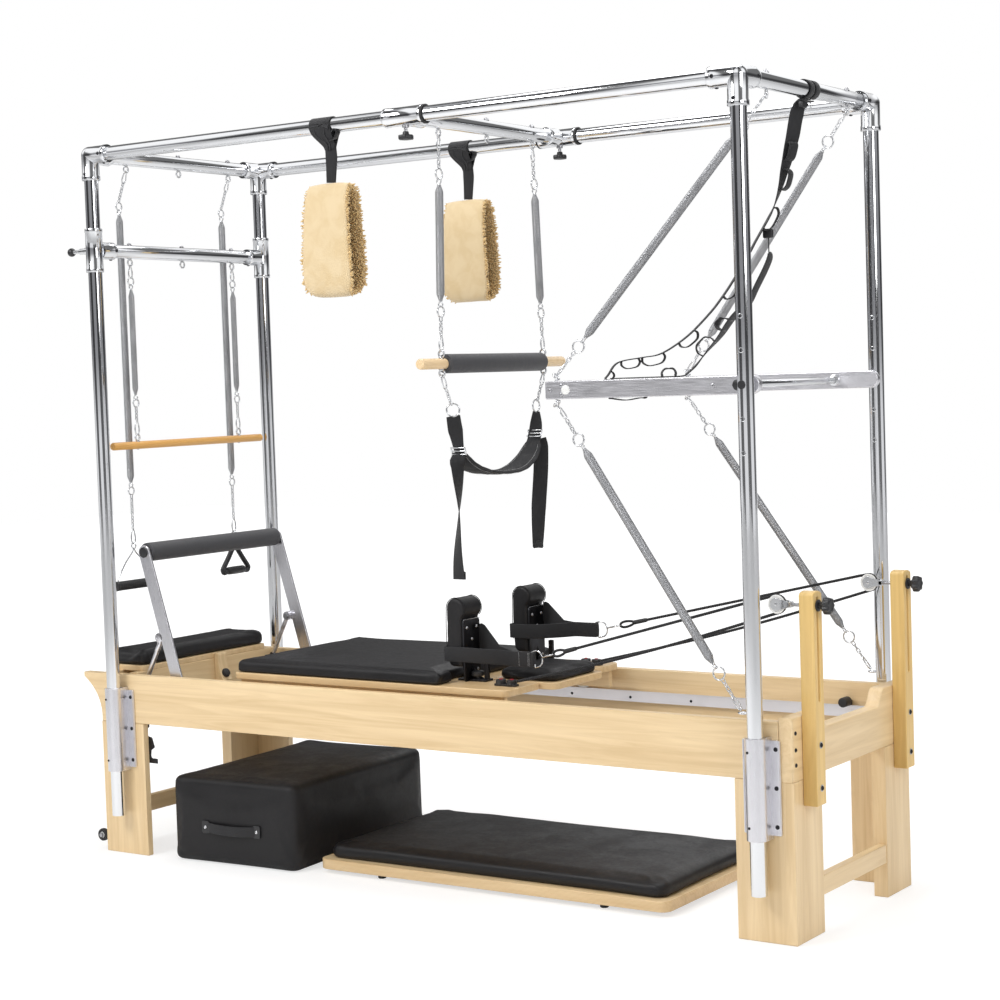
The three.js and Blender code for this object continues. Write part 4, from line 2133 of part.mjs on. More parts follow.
// The back handle is a moulded triangle below a short strap
function mouldedHandle(group) {
  const y = EYE_SPREAD;
  const x = HANDLE_X;
  const eyeCentre = at(x, y, HANDLE_APEX_Z + EYE_RADIUS);
  const strapLow = HANDLE_APEX_Z - D_HANDLE_DEPTH * 1.5;
  const gripZ = HANDLE_GRIP_Z;
  const half = D_HANDLE_WIDTH / 2;
  const strap = band(
    [at(x, y, HANDLE_APEX_Z + OVERRUN), at(x, y, strapLow)],
    ALONG_Y,
    D_HANDLE_DEPTH,
    TAIL_THICKNESS,
  );
  const t = D_HANDLE_DEPTH / 2;
  const triangle = outline([
    [-t, strapLow],
    [t, strapLow],
    [half, gripZ + t],
    [half * 0.92, gripZ - t],
    [-half * 0.92, gripZ - t],
    [-half, gripZ + t],
  ]);
  const hole = outline([
    [-t * 0.35, strapLow - t * 1.2],
    [-half * 0.74, gripZ + t],
    [half * 0.74, gripZ + t],
    [t * 0.35, strapLow - t * 1.2],
  ]);
  const body = cut(
    boardAlong(triangle, x - t * 0.8, x + t * 0.8),
    boardAlong(hole, x - t, x + t),
  ).translate(0, y, 0);
  const grip = rod(t, at(x, y - half * 0.9, gripZ), at(x, y + half * 0.9, gripZ), 8);
  const eyeRing = ring(EYE_RADIUS, EYE_WIRE, eyeCentre, ALONG_Y, UP);
  addPiece(group, "back_handle", join(eyeRing, strap, body, grip), "blackPlastic");
}

// Sheepskin loops on hangers of webbing round the top rails

function sheepskinLoop(side) {
  const x = LOOP_X[side < 0 ? 0 : 1];
  const y = side * POST_Y;
  const top = LOOP_TOP_Z;
  const hangerR = TUBE_RADIUS + GAP + HANGER_THICKNESS / 2;
  const around = [];
  const wrapStep = 36 * DEGREE;
  for (let i = 0; i <= 9; i++) {
    const angle = (i - 2) * wrapStep;
    const r = hangerR / Math.cos(wrapStep / 2);
    around.push(at(x, y + r * Math.cos(angle), TOP_AXIS_Z + r * Math.sin(angle)));
  }
  const meet = at(x, y, TOP_AXIS_Z - hangerR * 2);
  const wrap = [
    meet.clone().add(at(0, HANGER_THICKNESS / 2, 0)),
    ...around,
    meet.clone().add(at(0, -HANGER_THICKNESS / 2, 0)),
  ];
  const neck = [meet.clone().add(at(0, 0, HANGER_THICKNESS)), at(x, y, top - LOOP_WALL / 2)];
  const hanger = [
    band(wrap, ALONG_X, HANGER_WIDTH, HANGER_THICKNESS),
    band(neck, ALONG_X, HANGER_NECK, HANGER_THICKNESS * 2),
  ];
  // The fleece is a closed band, wider below than above
  const rows = [];
  const count = 14;
  const rowSides = 8;
  for (let i = 0; i <= count; i++) {
    const angle = (i / count) * 360 * DEGREE;
    const share = (1 - Math.cos(angle)) / 2;
    const fullness = 0.72 + 0.28 * share;
    const middleZ = top - LOOP_HEIGHT / 2;
    const outY = (LOOP_DEPTH / 2 - LOOP_WALL / 2) * fullness;
    const outZ = LOOP_HEIGHT / 2 - LOOP_WALL / 2;
    const flat = Math.sign(Math.sin(angle)) * Math.abs(Math.sin(angle)) ** 0.55;
    const tall = Math.sign(Math.cos(angle)) * Math.abs(Math.cos(angle)) ** 0.75;
    rows.push(at(x, y + outY * flat, middleZ + outZ * tall));
  }
  const skinRows = rows.map((point, i) => {
    const before = rows[(i - 1 + count) % count];
    const after = rows[(i + 1) % count];
    const tangent = after.clone().sub(before).normalize();
    const normal = tangent.clone().cross(ALONG_X).normalize();
    const row = [];
    for (let j = 0; j < rowSides; j++) {
      const turn = ((j + 0.5) / rowSides) * 360 * DEGREE;
      const [c, s] = [Math.cos(turn), Math.sin(turn)];
      const u = (LOOP_WIDTH / 2) * Math.sign(c) * Math.abs(c) ** 0.5;
      const v = (LOOP_WALL / 2) * Math.sign(s) * Math.abs(s) ** 0.8;
      row.push(point.clone().addScaledVector(ALONG_X, u).addScaledVector(normal, v));
    }
    return row;
  });
  const group = assembly(tubeFrame, at(x, y, TOP_AXIS_Z));
  const whole = join(skin(skinRows, false), ...hanger);
  addPiece(group, sideName(side) + "_sheepskin_loop", whole, "sheepskin");
}

// A stretch strap with a row of hand loops: from the head top bar down to the push-through bar
function ladderStrap() {
  const barR = TUBE_RADIUS + 3 * GAP + LADDER_THICKNESS / 2;
  const wrapStep = 36 * DEGREE;
  const armTop = PUSH_BAR_Z + PUSH_ARM_HEIGHT / 2;
  const y1 = -PUSH_ARM_Y;
  const wrap = [];
  for (let i = 0; i <= 9; i++) {
    const angle = (i - 2) * wrapStep;
    const r = barR / Math.cos(wrapStep / 2);
    wrap.push(at(POST_X + r * Math.cos(angle), 0, TOP_AXIS_Z + r * Math.sin(angle)));
  }
  const knot = at(POST_X, 0, TOP_AXIS_Z - barR * 1.9);
  const end = at(POST_X - LADDER_END_X, y1, armTop + LADDER_THICKNESS / 2 + GAP);
  // Shares of the way along the bar, across the frame and down to the arm
  const routeShares = [
    [0, 0, 0],
    [0.1, 0.12, 0.19],
    [0.22, 0.27, 0.37],
    [0.33, 0.46, 0.55],
    [0.47, 0.66, 0.75],
    [0.62, 0.82, 0.88],
    [0.78, 0.93, 0.945],
    [0.93, 1, 0.955],
    [1, 1, 1],
  ];
  const curve = new THREE.CatmullRomCurve3(
    routeShares.map(([along, across, down]) =>
      at(
        knot.x + (end.x - knot.x) * along,
        knot.y + (end.y - knot.y) * across,
        knot.z + (end.z - knot.z) * down,
      ),
    ),
    false,
    "centripetal",
  );
  const points = curve.getSpacedPoints(16);
  const flatAcross = points.map((point, i) => {
    const before = points[Math.max(i - 1, 0)];
    const after = points[Math.min(i + 1, points.length - 1)];
    const tangent = after.clone().sub(before).normalize();
    return tangent.clone().cross(at(0, 0, 1)).normalize();
  });
  const main = band(points, flatAcross, LADDER_WIDTH, LADDER_THICKNESS);
  const loops = [];
  const step = LADDER_LOOP_STEP_COUNT;
  for (let i = step; i + step < points.length - 2; i += step) {
    const [a, b] = [points[i], points[i + step - 1]];
    const tangent = b.clone().sub(a).normalize();
    const outward = tangent.clone().cross(flatAcross[i]).normalize();
    if (outward.z > 0) outward.negate();
    const depth = LADDER_WIDTH * 1.25;
    const arc = [0, 0.15, 0.5, 0.85, 1].map((share, k) => {
      const bulge = [0, 0.8, 1, 0.8, 0][k];
      return a.clone().lerp(b, share).addScaledVector(outward, depth * bulge);
    });
    loops.push(band(arc, flatAcross[i], LADDER_WIDTH * 0.9, LADDER_THICKNESS * 0.8));
  }
  const below = knot.clone().add(at(0, 0, -EMBED));
  const beside = below.clone().add(at(-EMBED, 0, 0));
  const collar = band([below, ...wrap, beside], ALONG_Y, LADDER_WIDTH, LADDER_THICKNESS);
  const joint = ball(LADDER_WIDTH / 2, knot, 8, 4);
  addPiece(tubeFrame, "ladder_strap", join(collar, joint, main, ...loops), "webbing");
}

// Box and padded board below the bed

function sittingBox() {
  const plan = roundedRectangle(BOX_WIDTH, BOX_LENGTH, BOX_ROUND, 2);
  // Height and inset of each level, as shares of the height and of the corner radius
  const levelShares = [
    [0, 0.3],
    [0.05, 0],
    [0.5, -0.06],
    [0.86, 0],
    [0.96, 0.35],
    [1, 1],
  ];
  const rows = levelShares.map(([heightShare, insetShare]) =>
    plan.map(([u, v]) => {
      const inset = insetShare * BOX_ROUND;
      return at(
        u * (1 - (2 * inset) / BOX_WIDTH),
        v * (1 - (2 * inset) / BOX_LENGTH),
        heightShare * BOX_HEIGHT,
      );
    }),
  );
  const handleZ = BOX_HEIGHT * 0.43;
  const handleHalf = BOX_WIDTH * 0.2;
  const face = -BOX_LENGTH / 2;
  const route = [-1, -0.92, -0.5, 0, 0.5, 0.92, 1].map((share) =>
    at(share * handleHalf, face - (Math.abs(share) > 0.9 ? 0 : BOX_HANDLE_STAND), handleZ),
  );
  const handle = band(route, UP, BOX_HANDLE_WIDTH, STRAP_THICKNESS);
  const group = assembly(table, at(BOX_CENTRE_X, BOX_CENTRE_Y, 0));
  group.rotation.z = BOX_TURN * DEGREE;
  addLocalPiece(group, "sitting_box", join(skin(rows), handle), "blackVinyl");
}

function paddedBoard() {
  const plan = roundedRectangle(BOARD_LENGTH, BOARD_WIDTH, BOARD_PLY, 3);
  const ply = slab(outline(plan), BOARD_FOOT, BOARD_FOOT + BOARD_PLY);
  const [padLength, padWidth] = [BOARD_LENGTH - BOARD_PLY, BOARD_WIDTH - BOARD_PLY];
  const pad = stuffedPad(padLength, padWidth, BOARD_PAD, BOARD_CORNER, PAD_DRAW_IN);
  pad.translate(0, 0, BOARD_FOOT + BOARD_PLY - EMBED);
  const feet = SIDES.flatMap((sx) =>
    SIDES.map((sy) => {
      const x = sx * BOARD_LENGTH * 0.32;
      const y = sy * (BOARD_WIDTH / 2 - BOARD_PLY);
      return rod(BOARD_FOOT_RADIUS, at(x, y, 0), at(x, y, BOARD_FOOT + EMBED), 6);
    }),
  );
  const group = assembly(table, at(BOARD_CENTRE_X, BOARD_CENTRE_Y, 0));
  group.rotation.z = BOARD_TURN * DEGREE;
  addLocalPiece(group, "padded_board", join(ply, pad, ...feet), "blackVinyl");
}

// The whole table

headEnd();
footEnd();
for (const side of SIDES) {
  rail(side);
  wheel(side);
  topRail(side);
  riserPost(side);
  riserBlock(side);
  shoulderRest(side);
  rope(side);
  pushSprings(side);
  sheepskinLoop(side);
  handleSpring(side);
  for (const end of SIDES) {
    clampBracket(end, side);
    upright(end, side);
  }
}
for (const end of SIDES) endTopBar(end);
carriageFrame();
carriageCushion();
headrest();
bedSprings();
footbarFrame();
pushBar();
slidingCrossbar();
rollDown();
trapezeSlider();
trapeze();
ladderStrap();
sittingBox();
paddedBoard();

export default table;
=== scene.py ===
"""The finished look of a pilates reformer with a trapeze frame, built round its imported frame.

Metres. +X runs from the foot end to the head end, +Y from front to back, +Z up.
"""

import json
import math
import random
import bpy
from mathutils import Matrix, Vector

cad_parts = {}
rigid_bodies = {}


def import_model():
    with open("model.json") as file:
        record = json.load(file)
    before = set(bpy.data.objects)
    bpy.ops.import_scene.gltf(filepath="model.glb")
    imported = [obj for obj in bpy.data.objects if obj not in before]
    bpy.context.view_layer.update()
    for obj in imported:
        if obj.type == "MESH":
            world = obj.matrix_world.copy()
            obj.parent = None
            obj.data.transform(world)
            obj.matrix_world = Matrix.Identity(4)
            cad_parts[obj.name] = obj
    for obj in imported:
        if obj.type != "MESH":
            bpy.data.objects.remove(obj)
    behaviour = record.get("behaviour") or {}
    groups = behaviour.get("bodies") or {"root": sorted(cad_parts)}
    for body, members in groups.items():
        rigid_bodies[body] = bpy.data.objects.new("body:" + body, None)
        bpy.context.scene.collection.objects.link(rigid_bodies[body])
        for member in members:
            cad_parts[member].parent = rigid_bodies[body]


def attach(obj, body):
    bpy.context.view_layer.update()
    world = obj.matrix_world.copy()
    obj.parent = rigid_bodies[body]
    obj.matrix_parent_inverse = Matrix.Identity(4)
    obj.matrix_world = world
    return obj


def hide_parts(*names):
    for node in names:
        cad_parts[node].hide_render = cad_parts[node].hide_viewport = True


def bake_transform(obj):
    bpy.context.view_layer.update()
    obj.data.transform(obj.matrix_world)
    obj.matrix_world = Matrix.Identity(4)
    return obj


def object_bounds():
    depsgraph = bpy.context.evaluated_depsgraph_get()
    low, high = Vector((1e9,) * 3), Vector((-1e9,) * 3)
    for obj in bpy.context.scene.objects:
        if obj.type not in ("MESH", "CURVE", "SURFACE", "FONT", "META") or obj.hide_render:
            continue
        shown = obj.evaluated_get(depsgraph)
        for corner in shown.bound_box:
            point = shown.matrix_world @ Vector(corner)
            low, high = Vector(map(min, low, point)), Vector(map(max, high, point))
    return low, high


bl_info = {
    "name": "Reformer with trapeze frame",
    "version": (1, 0, 0),
    "blender": (4, 5, 0),
    "location": "View3D > Sidebar > Table",
    "description": "Dresses the packed frame with wood, chrome, springs, webbing and upholstery",
    "category": "Object",
}

import bmesh
import bpy
from mathutils import Matrix, Vector, noise

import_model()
CAD_BOX = [list(corner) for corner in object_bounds()]

X, Y, Z = Vector((1, 0, 0)), Vector((0, 1, 0)), Vector((0, 0, 1))
SIDES = (-1, 1)

# Places in the frame
POST_X, POST_Y = 1.105, 0.385
TUBE = 0.021
FOOT_Z, TOP_Z = 0.127, 2.150
RAIL_OUT, RAIL_IN = 0.350, 0.322
LEG_TOP, RAIL_TOP = 0.410, 0.560
HEAD_FACE, HEAD_INNER, FOOT_FACE, EAR_TIP = 1.190, 1.150, -1.197, -1.268
FOOT_PLATE = -1.067
EYE_RING, EYE_WIRE = 0.009, 0.0028
TOP_EYE = TOP_Z - TUBE - EYE_RING - EYE_WIRE
CROSSBAR_Z = 1.863
SLIDER_X = 0.093
PUSH_Z = 1.397
PUSH_ARM_Y = 0.350
PUSH_FREE_X = 0.500
TRAPEZE_Z = 1.479
ROLL_Z = 1.264
HANDLE_X = -1.142
EYE_Y = 0.235
CARRIAGE_X0, CARRIAGE_X1 = -0.690, 0.302
CARRIAGE_TOP = 0.582
REST_BACK, REST_Y = 0.094, 0.167
REST_PAD, REST_HEIGHT, REST_ROLL = 0.052, 0.196, 0.032
LOOP_X, LOOP_TOP, LOOP_TALL = (-0.172, -0.250), 1.995, 0.325
LINK_REACH = 0.0122
ROOF_EYE_Z = TOP_EYE
PUSH_EYE_X = PUSH_FREE_X + 0.030
ARM_HALF = 0.0235
SPRING = 0.0118
PULLEY_X, PULLEY_Y, PULLEY_Z = 1.12, 0.275, 0.845
SHEAVE = 0.0218
TRACK_IN, TRACK_START = 0.308, -0.959
CROSS_HALF, TOP_REACH = 0.311, 1.0727
THREE_EYES = (-EYE_Y, 0, EYE_Y)
HOLE_PITCH = 0.084
ARM_INNER, ARM_OUTER = 0.3402, 0.3598
CLEAT_Y = 0.222
BITE_HALF = 0.052
STRUT_Y = 0.2972
HANDLE_TOP, HANDLE_LOW = 0.940, 0.828
BAR_EYE_Y = 0.2568
SLING_HALF, SLING_DROP = 0.211, 0.186
STRAP_TOP = (POST_X, 0, 2.10)
RING_GAP, HOOK_LENGTH, SHORTEST_CHAIN = 0.014, 0.040, 0.05
FOOTBAR_PIVOT = Vector((-0.900, 0, 0.520))
FOOTBAR_TOP = Vector((-1.024, 0, 0.936))
STRUT_PIVOT = Vector((-0.9771, 0, 0.6737))
STRUT_FOOT = Vector((-1.0475, 0, 0.5412))

TO_CAMERA = Vector((0.58, -0.81, 0.0)).normalized()
LEVEL = 0.689


def facing(turn):
    """A level direction, turned from the one that lies square to the view."""
    return Vector((math.cos(LEVEL + turn), math.sin(LEVEL + turn), 0))


def side_name(side):
    return "front" if side < 0 else "back"


# Sums on sockets


class Value:
    """A socket that takes part in sums: each sum adds its Math node to the tree."""

    def __init__(self, owner, socket):
        self.owner = owner
        self.socket = socket

    def _sum(self, operation, first, second=None):
        sockets = {0: first} if second is None else {0: first, 1: second}
        return self.owner.node("ShaderNodeMath", {"operation": operation}, sockets)

    def __add__(self, other):
        return self._sum("ADD", self, other)

    __radd__ = __add__

    def __mul__(self, other):
        return self._sum("MULTIPLY", self, other)

    __rmul__ = __mul__

    def __sub__(self, other):
        return self._sum("SUBTRACT", self, other)

    def __rsub__(self, other):
        return self._sum("SUBTRACT", other, self)

    def __truediv__(self, other):
        return self._sum("DIVIDE", self, other)

    def power(self, other):
        return self._sum("POWER", self, other)

    def low(self, other):
        return self._sum("MINIMUM", self, other)

    def high(self, other):
        return self._sum("MAXIMUM", self, other)

    def whole(self):
        return self._sum("FLOOR", self)

    def sine(self):
        return self._sum("SINE", self)

    def cosine(self):
        return self._sum("COSINE", self)

    def between(self, low, high, to_low=0.0, to_high=1.0):
        """The value stretched from one range to another, and held inside it."""
        made = self.owner.node(
            "ShaderNodeMapRange",
            {"interpolation_type": "SMOOTHSTEP"},
            {"Value": self, "From Min": low, "From Max": high, "To Min": to_low, "To Max": to_high},
        )
        return made


class Tree:
    """A node tree with one method that adds a node."""

    def __init__(self, tree):
        self.tree = tree

    def feed(self, socket, value):
        if isinstance(value, Value):
            self.tree.links.new(value.socket, socket)
        else:
            socket.default_value = value

    def node(self, kind, settings=None, sockets=None, output=0):
        made = self.tree.nodes.new(kind)
        for name, value in (settings or {}).items():
            if name == "stops":
                ramp = made.color_ramp
                for i, (place, colour) in enumerate(value):
                    stop = ramp.elements[i] if i < len(ramp.elements) else ramp.elements.new(place)
                    stop.position = place
                    stop.color = colour
            else:
                setattr(made, name, value)
        for name, value in (sockets or {}).items():
            self.feed(made.inputs[name], value)
        return Value(self, made.outputs[output])


class Finish(Tree):
    """A material, its Principled shader, and the patterns that the finishes share."""

    def __init__(self, name, colour, roughness, metallic=0.0, **constants):
        self.material = bpy.data.materials.new(name)
        self.material.use_nodes = True
        super().__init__(self.material.node_tree)
        self.shader = self.tree.nodes["Principled BSDF"]
        self.material.diffuse_color = (*colour, 1)
        self.set("Base Color", (*colour, 1))
        self.set("Roughness", roughness)
        self.set("Metallic", metallic)
        for socket, value in constants.items():
            self.set(socket.replace("_", " ").title().replace("Ior", "IOR"), value)

    def set(self, socket, value):
        self.feed(self.shader.inputs[socket], value)

    def place(self, scale=(1, 1, 1), turn=(0, 0, 0), source="Object"):
        """The object's own coordinates, or its UV map, stretched by scale."""
        outputs = {"Object": 3, "UV": 2}
        coordinates = self.node("ShaderNodeTexCoord", output=outputs[source])
        return self.node(
            "ShaderNodeMapping", {}, {"Vector": coordinates, "Scale": scale, "Rotation": turn}
        )

    def cloudy(self, place, scale, detail=3.0, distortion=0.0, roughness=0.5):
        sockets = {
            "Vector": place,
            "Scale": scale,
            "Detail": detail,
            "Distortion": distortion,
            "Roughness": roughness,
        }
        return self.node("ShaderNodeTexNoise", {}, sockets)

    def cells(self, place, scale, feature="F1"):
        return self.node("ShaderNodeTexVoronoi", {"feature": feature}, {"Vector": place, "Scale": scale})

    def mixed(self, share, first, second):
        made = self.tree.nodes.new("ShaderNodeMix")
        made.data_type = "RGBA"
        for index, value in ((0, share), (6, first), (7, second)):
            self.feed(made.inputs[index], (*value, 1) if isinstance(value, tuple) else value)
        return Value(self, made.outputs[2])

    def relief(self, height, distance, strength=1.0):
        bump = self.node(
            "ShaderNodeBump", {}, {"Height": height, "Distance": distance, "Strength": strength}
        )
        self.set("Normal", bump)


def shade(colour, factor):
    return tuple(min(1.0, c * factor) for c in colour)


# Materials

FINISHES = {}


def wood(name, colour, along, ply=False):
    """Lacquered maple whose grain runs along one axis; ply shows its layers."""
    finish = Finish(name, colour, 0.42, coat_weight=0.25, coat_roughness=0.25)
    stretch = tuple(0.055 if axis == along else 1.0 for axis in "XYZ")
    place = finish.place(stretch)
    fibres = finish.cloudy(place, 240, 4, 0.6)
    streaks = finish.cloudy(place, 34, 5, 1.6, 0.6)
    broad = finish.cloudy(place, 7, 3, 2.4)
    flecks = finish.cells(finish.place(tuple(0.12 if axis == along else 1.0 for axis in "XYZ")), 120)
    tone = streaks.between(0.3, 0.72) * 0.55 + broad.between(0.3, 0.7) * 0.45
    body = finish.mixed(tone, shade(colour, 1.09), tuple(c * f for c, f in zip(colour, (0.86, 0.80, 0.70))))
    dots = flecks.between(0.02, 0.10, 1.0, 0.0) * 0.22
    body = finish.mixed(dots, body, tuple(c * f for c, f in zip(colour, (0.72, 0.60, 0.45))))
    if ply:
        layers = finish.node("ShaderNodeSeparateXYZ", {}, {0: finish.place()}, 2)
        wave = (layers * (2 * math.pi / 0.0034)).sine().between(-0.3, 0.5)
        body = finish.mixed(wave * 0.42, body, tuple(c * f for c, f in zip(colour, (0.62, 0.48, 0.32))))
    finish.set("Base Color", body)
    finish.set("Roughness", fibres.between(0.2, 0.8, 0.34, 0.5))
    finish.relief(fibres * 0.5 + streaks * 0.5, 0.00035, 0.5)
    return finish.material


def plated(name, colour, roughness):
    """Mirror chrome with faint polishing marks."""
    finish = Finish(name, colour, roughness, 1.0)
    smear = finish.cloudy(finish.place((1, 1, 0.3)), 9, 4, 0.5)
    finish.set("Roughness", smear.between(0.3, 0.75, roughness * 0.7, roughness * 1.7))
    fine = finish.cloudy(finish.place(), 420, 2)
    finish.set("Base Color", finish.mixed(smear.between(0.35, 0.8) * 0.3, colour, shade(colour, 0.88)))
    finish.relief(fine, 0.00002, 0.3)
    return finish.material


def brushed(name, colour, roughness, stretch):
    """Satin aluminium, brushed along one way."""
    finish = Finish(name, colour, roughness, 1.0)
    lines = finish.cloudy(finish.place(stretch), 900, 3, 0.2)
    worn = finish.cloudy(finish.place(), 14, 4)
    finish.set("Roughness", lines.between(0.2, 0.8, roughness * 0.8, roughness * 1.35))
    finish.set("Base Color", finish.mixed(worn.between(0.3, 0.8) * 0.4, colour, shade(colour, 0.86)))
    finish.relief(lines, 0.00008, 0.5)
    return finish.material


def spring_steel(name, colour, roughness):
    finish = Finish(name, colour, roughness, 1.0)
    dull = finish.cloudy(finish.place((1, 1, 0.4)), 40, 4)
    finish.set("Roughness", dull.between(0.25, 0.8, roughness * 0.8, roughness * 1.6))
    finish.set("Base Color", finish.mixed(dull.between(0.4, 0.8) * 0.5, colour, shade(colour, 0.72)))
    return finish.material


def vinyl(name, colour, roughness, grain=1.0):
    """Upholstery vinyl: pebble grain, soft creases and a worn sheen."""
    finish = Finish(name, colour, roughness, specular_ior_level=0.35)
    pebbles = finish.cells(finish.place(), 720, "SMOOTH_F1")
    fine = finish.cloudy(finish.place(), 1500, 3)
    soft = finish.cloudy(finish.place(), 9, 4, 0.8)
    creases = finish.cloudy(finish.place(), 55, 5, 1.4)
    finish.set("Roughness", (soft * 0.6 + creases * 0.4).between(0.3, 0.7, roughness * 0.82, roughness * 1.2))
    finish.set("Base Color", finish.mixed(soft.between(0.3, 0.75) * 0.6, colour, shade(colour, 1.45)))
    height = pebbles * 0.7 + fine * 0.2 + creases * 0.5
    finish.relief(height, 0.00035 * grain, 0.55)
    return finish.material


def moulded(name, colour, roughness, grain=0.0001):
    """Moulded plastic or rubber with a fine spark-eroded texture."""
    finish = Finish(name, colour, roughness)
    fine = finish.cloudy(finish.place(), 1300, 3)
    dust = finish.cloudy(finish.place(), 22, 4, 0.6)
    finish.set("Roughness", dust.between(0.3, 0.75, roughness * 0.85, roughness * 1.2))
    finish.set("Base Color", finish.mixed(dust.between(0.35, 0.8) * 0.4, colour, shade(colour, 1.35)))
    finish.relief(fine, grain, 0.6)
    return finish.material


def foam_skin(name, colour, roughness):
    """Closed-cell foam sleeve: tiny pores and faint rings from the extrusion."""
    finish = Finish(name, colour, roughness, sheen_weight=0.15, sheen_roughness=0.5)
    pores = finish.cells(finish.place(), 1400)
    rings = finish.cloudy(finish.place((0.15, 6, 0.15)), 26, 3)
    finish.set("Base Color", finish.mixed(rings.between(0.3, 0.75) * 0.5, colour, shade(colour, 1.3)))
    finish.set("Roughness", rings.between(0.3, 0.75, roughness * 0.85, roughness * 1.1))
    finish.relief(pores * 0.8 + rings * 0.2, 0.00025, 0.6)
    return finish.material


def webbing(name, colour, ribs=420.0):
    """Woven nylon webbing: ribs across and a chevron of yarns, on the strap's own UV map."""
    finish = Finish(name, colour, 0.78, sheen_weight=0.2, sheen_roughness=0.4)
    uv = finish.place((1, 1, 1), source="UV")
    along = finish.node("ShaderNodeSeparateXYZ", {}, {0: uv}, 0)
    over = finish.node("ShaderNodeSeparateXYZ", {}, {0: uv}, 1)
    fold = (over * 900.0).sine() * 0.6
    rows = (along * (ribs * 6.0) + fold * 1.4).sine()
    yarns = (over * (ribs * 9.0)).sine()
    weave = rows * 0.6 + yarns * 0.4
    finish.set(
        "Base Color",
        finish.mixed(weave.between(-0.6, 0.8) * 0.75, shade(colour, 0.6), shade(colour, 1.9)),
    )
    finish.set("Roughness", weave.between(-0.8, 0.8, 0.88, 0.66))
    finish.relief(weave, 0.00025, 0.8)
    return finish.material


def fleece(name, colour):
    """Curly wool: painted shade, deeper and warmer between the curls and pale at their middles, with patches
    and strands that vary the tone at random.
    """
    finish = Finish(name, colour, 0.95, sheen_weight=0.4, sheen_roughness=0.6)
    curls = finish.cells(finish.place(), 120, "SMOOTH_F1")
    patches = finish.cloudy(finish.place(), 13, 4, 1.0)
    strands = finish.cloudy(finish.place((1, 1, 0.4)), 420, 3)
    # curls: painted shade between the curls; patches and strands: tone that differs at random
    tone = curls.between(0.05, 0.55) * 0.4 + patches.between(0.35, 0.7) * 0.35
    tone = tone + strands.between(0.3, 0.7) * 0.25
    finish.set(
        "Base Color",
        finish.mixed(tone, shade(colour, 1.06), tuple(c * f for c, f in zip(colour, (0.93, 0.83, 0.66)))),
    )
    finish.relief(curls * 0.6 + strands * 0.6, 0.003, 0.6)
    return finish.material


def suede(name, colour):
    """Smooth hide with soft mottling and a few pits."""
    finish = Finish(name, colour, 0.9, sheen_weight=0.35, sheen_roughness=0.5)
    soft = finish.cloudy(finish.place(), 24, 4, 0.6)
    pits = finish.cells(finish.place(), 170)
    tone = soft.between(0.3, 0.7) * 0.7 + 0.15
    finish.set(
        "Base Color",
        finish.mixed(tone, shade(colour, 1.04), tuple(c * f for c, f in zip(colour, (0.93, 0.88, 0.78)))),
    )
    finish.relief(soft * 0.7 + pits.between(0.05, 0.25) * 0.3, 0.0012, 0.5)
    return finish.material


def braided(name, colour):
    """Braided rope cover: dark yarns with a dusty sheen."""
    finish = Finish(name, colour, 0.8, sheen_weight=0.25, sheen_roughness=0.4)
    yarn = finish.cloudy(finish.place(), 900, 3)
    finish.set(
        "Base Color", finish.mixed(yarn.between(0.3, 0.75) * 0.8, shade(colour, 0.6), shade(colour, 1.8)),
    )
    finish.relief(yarn, 0.0003, 0.7)
    return finish.material


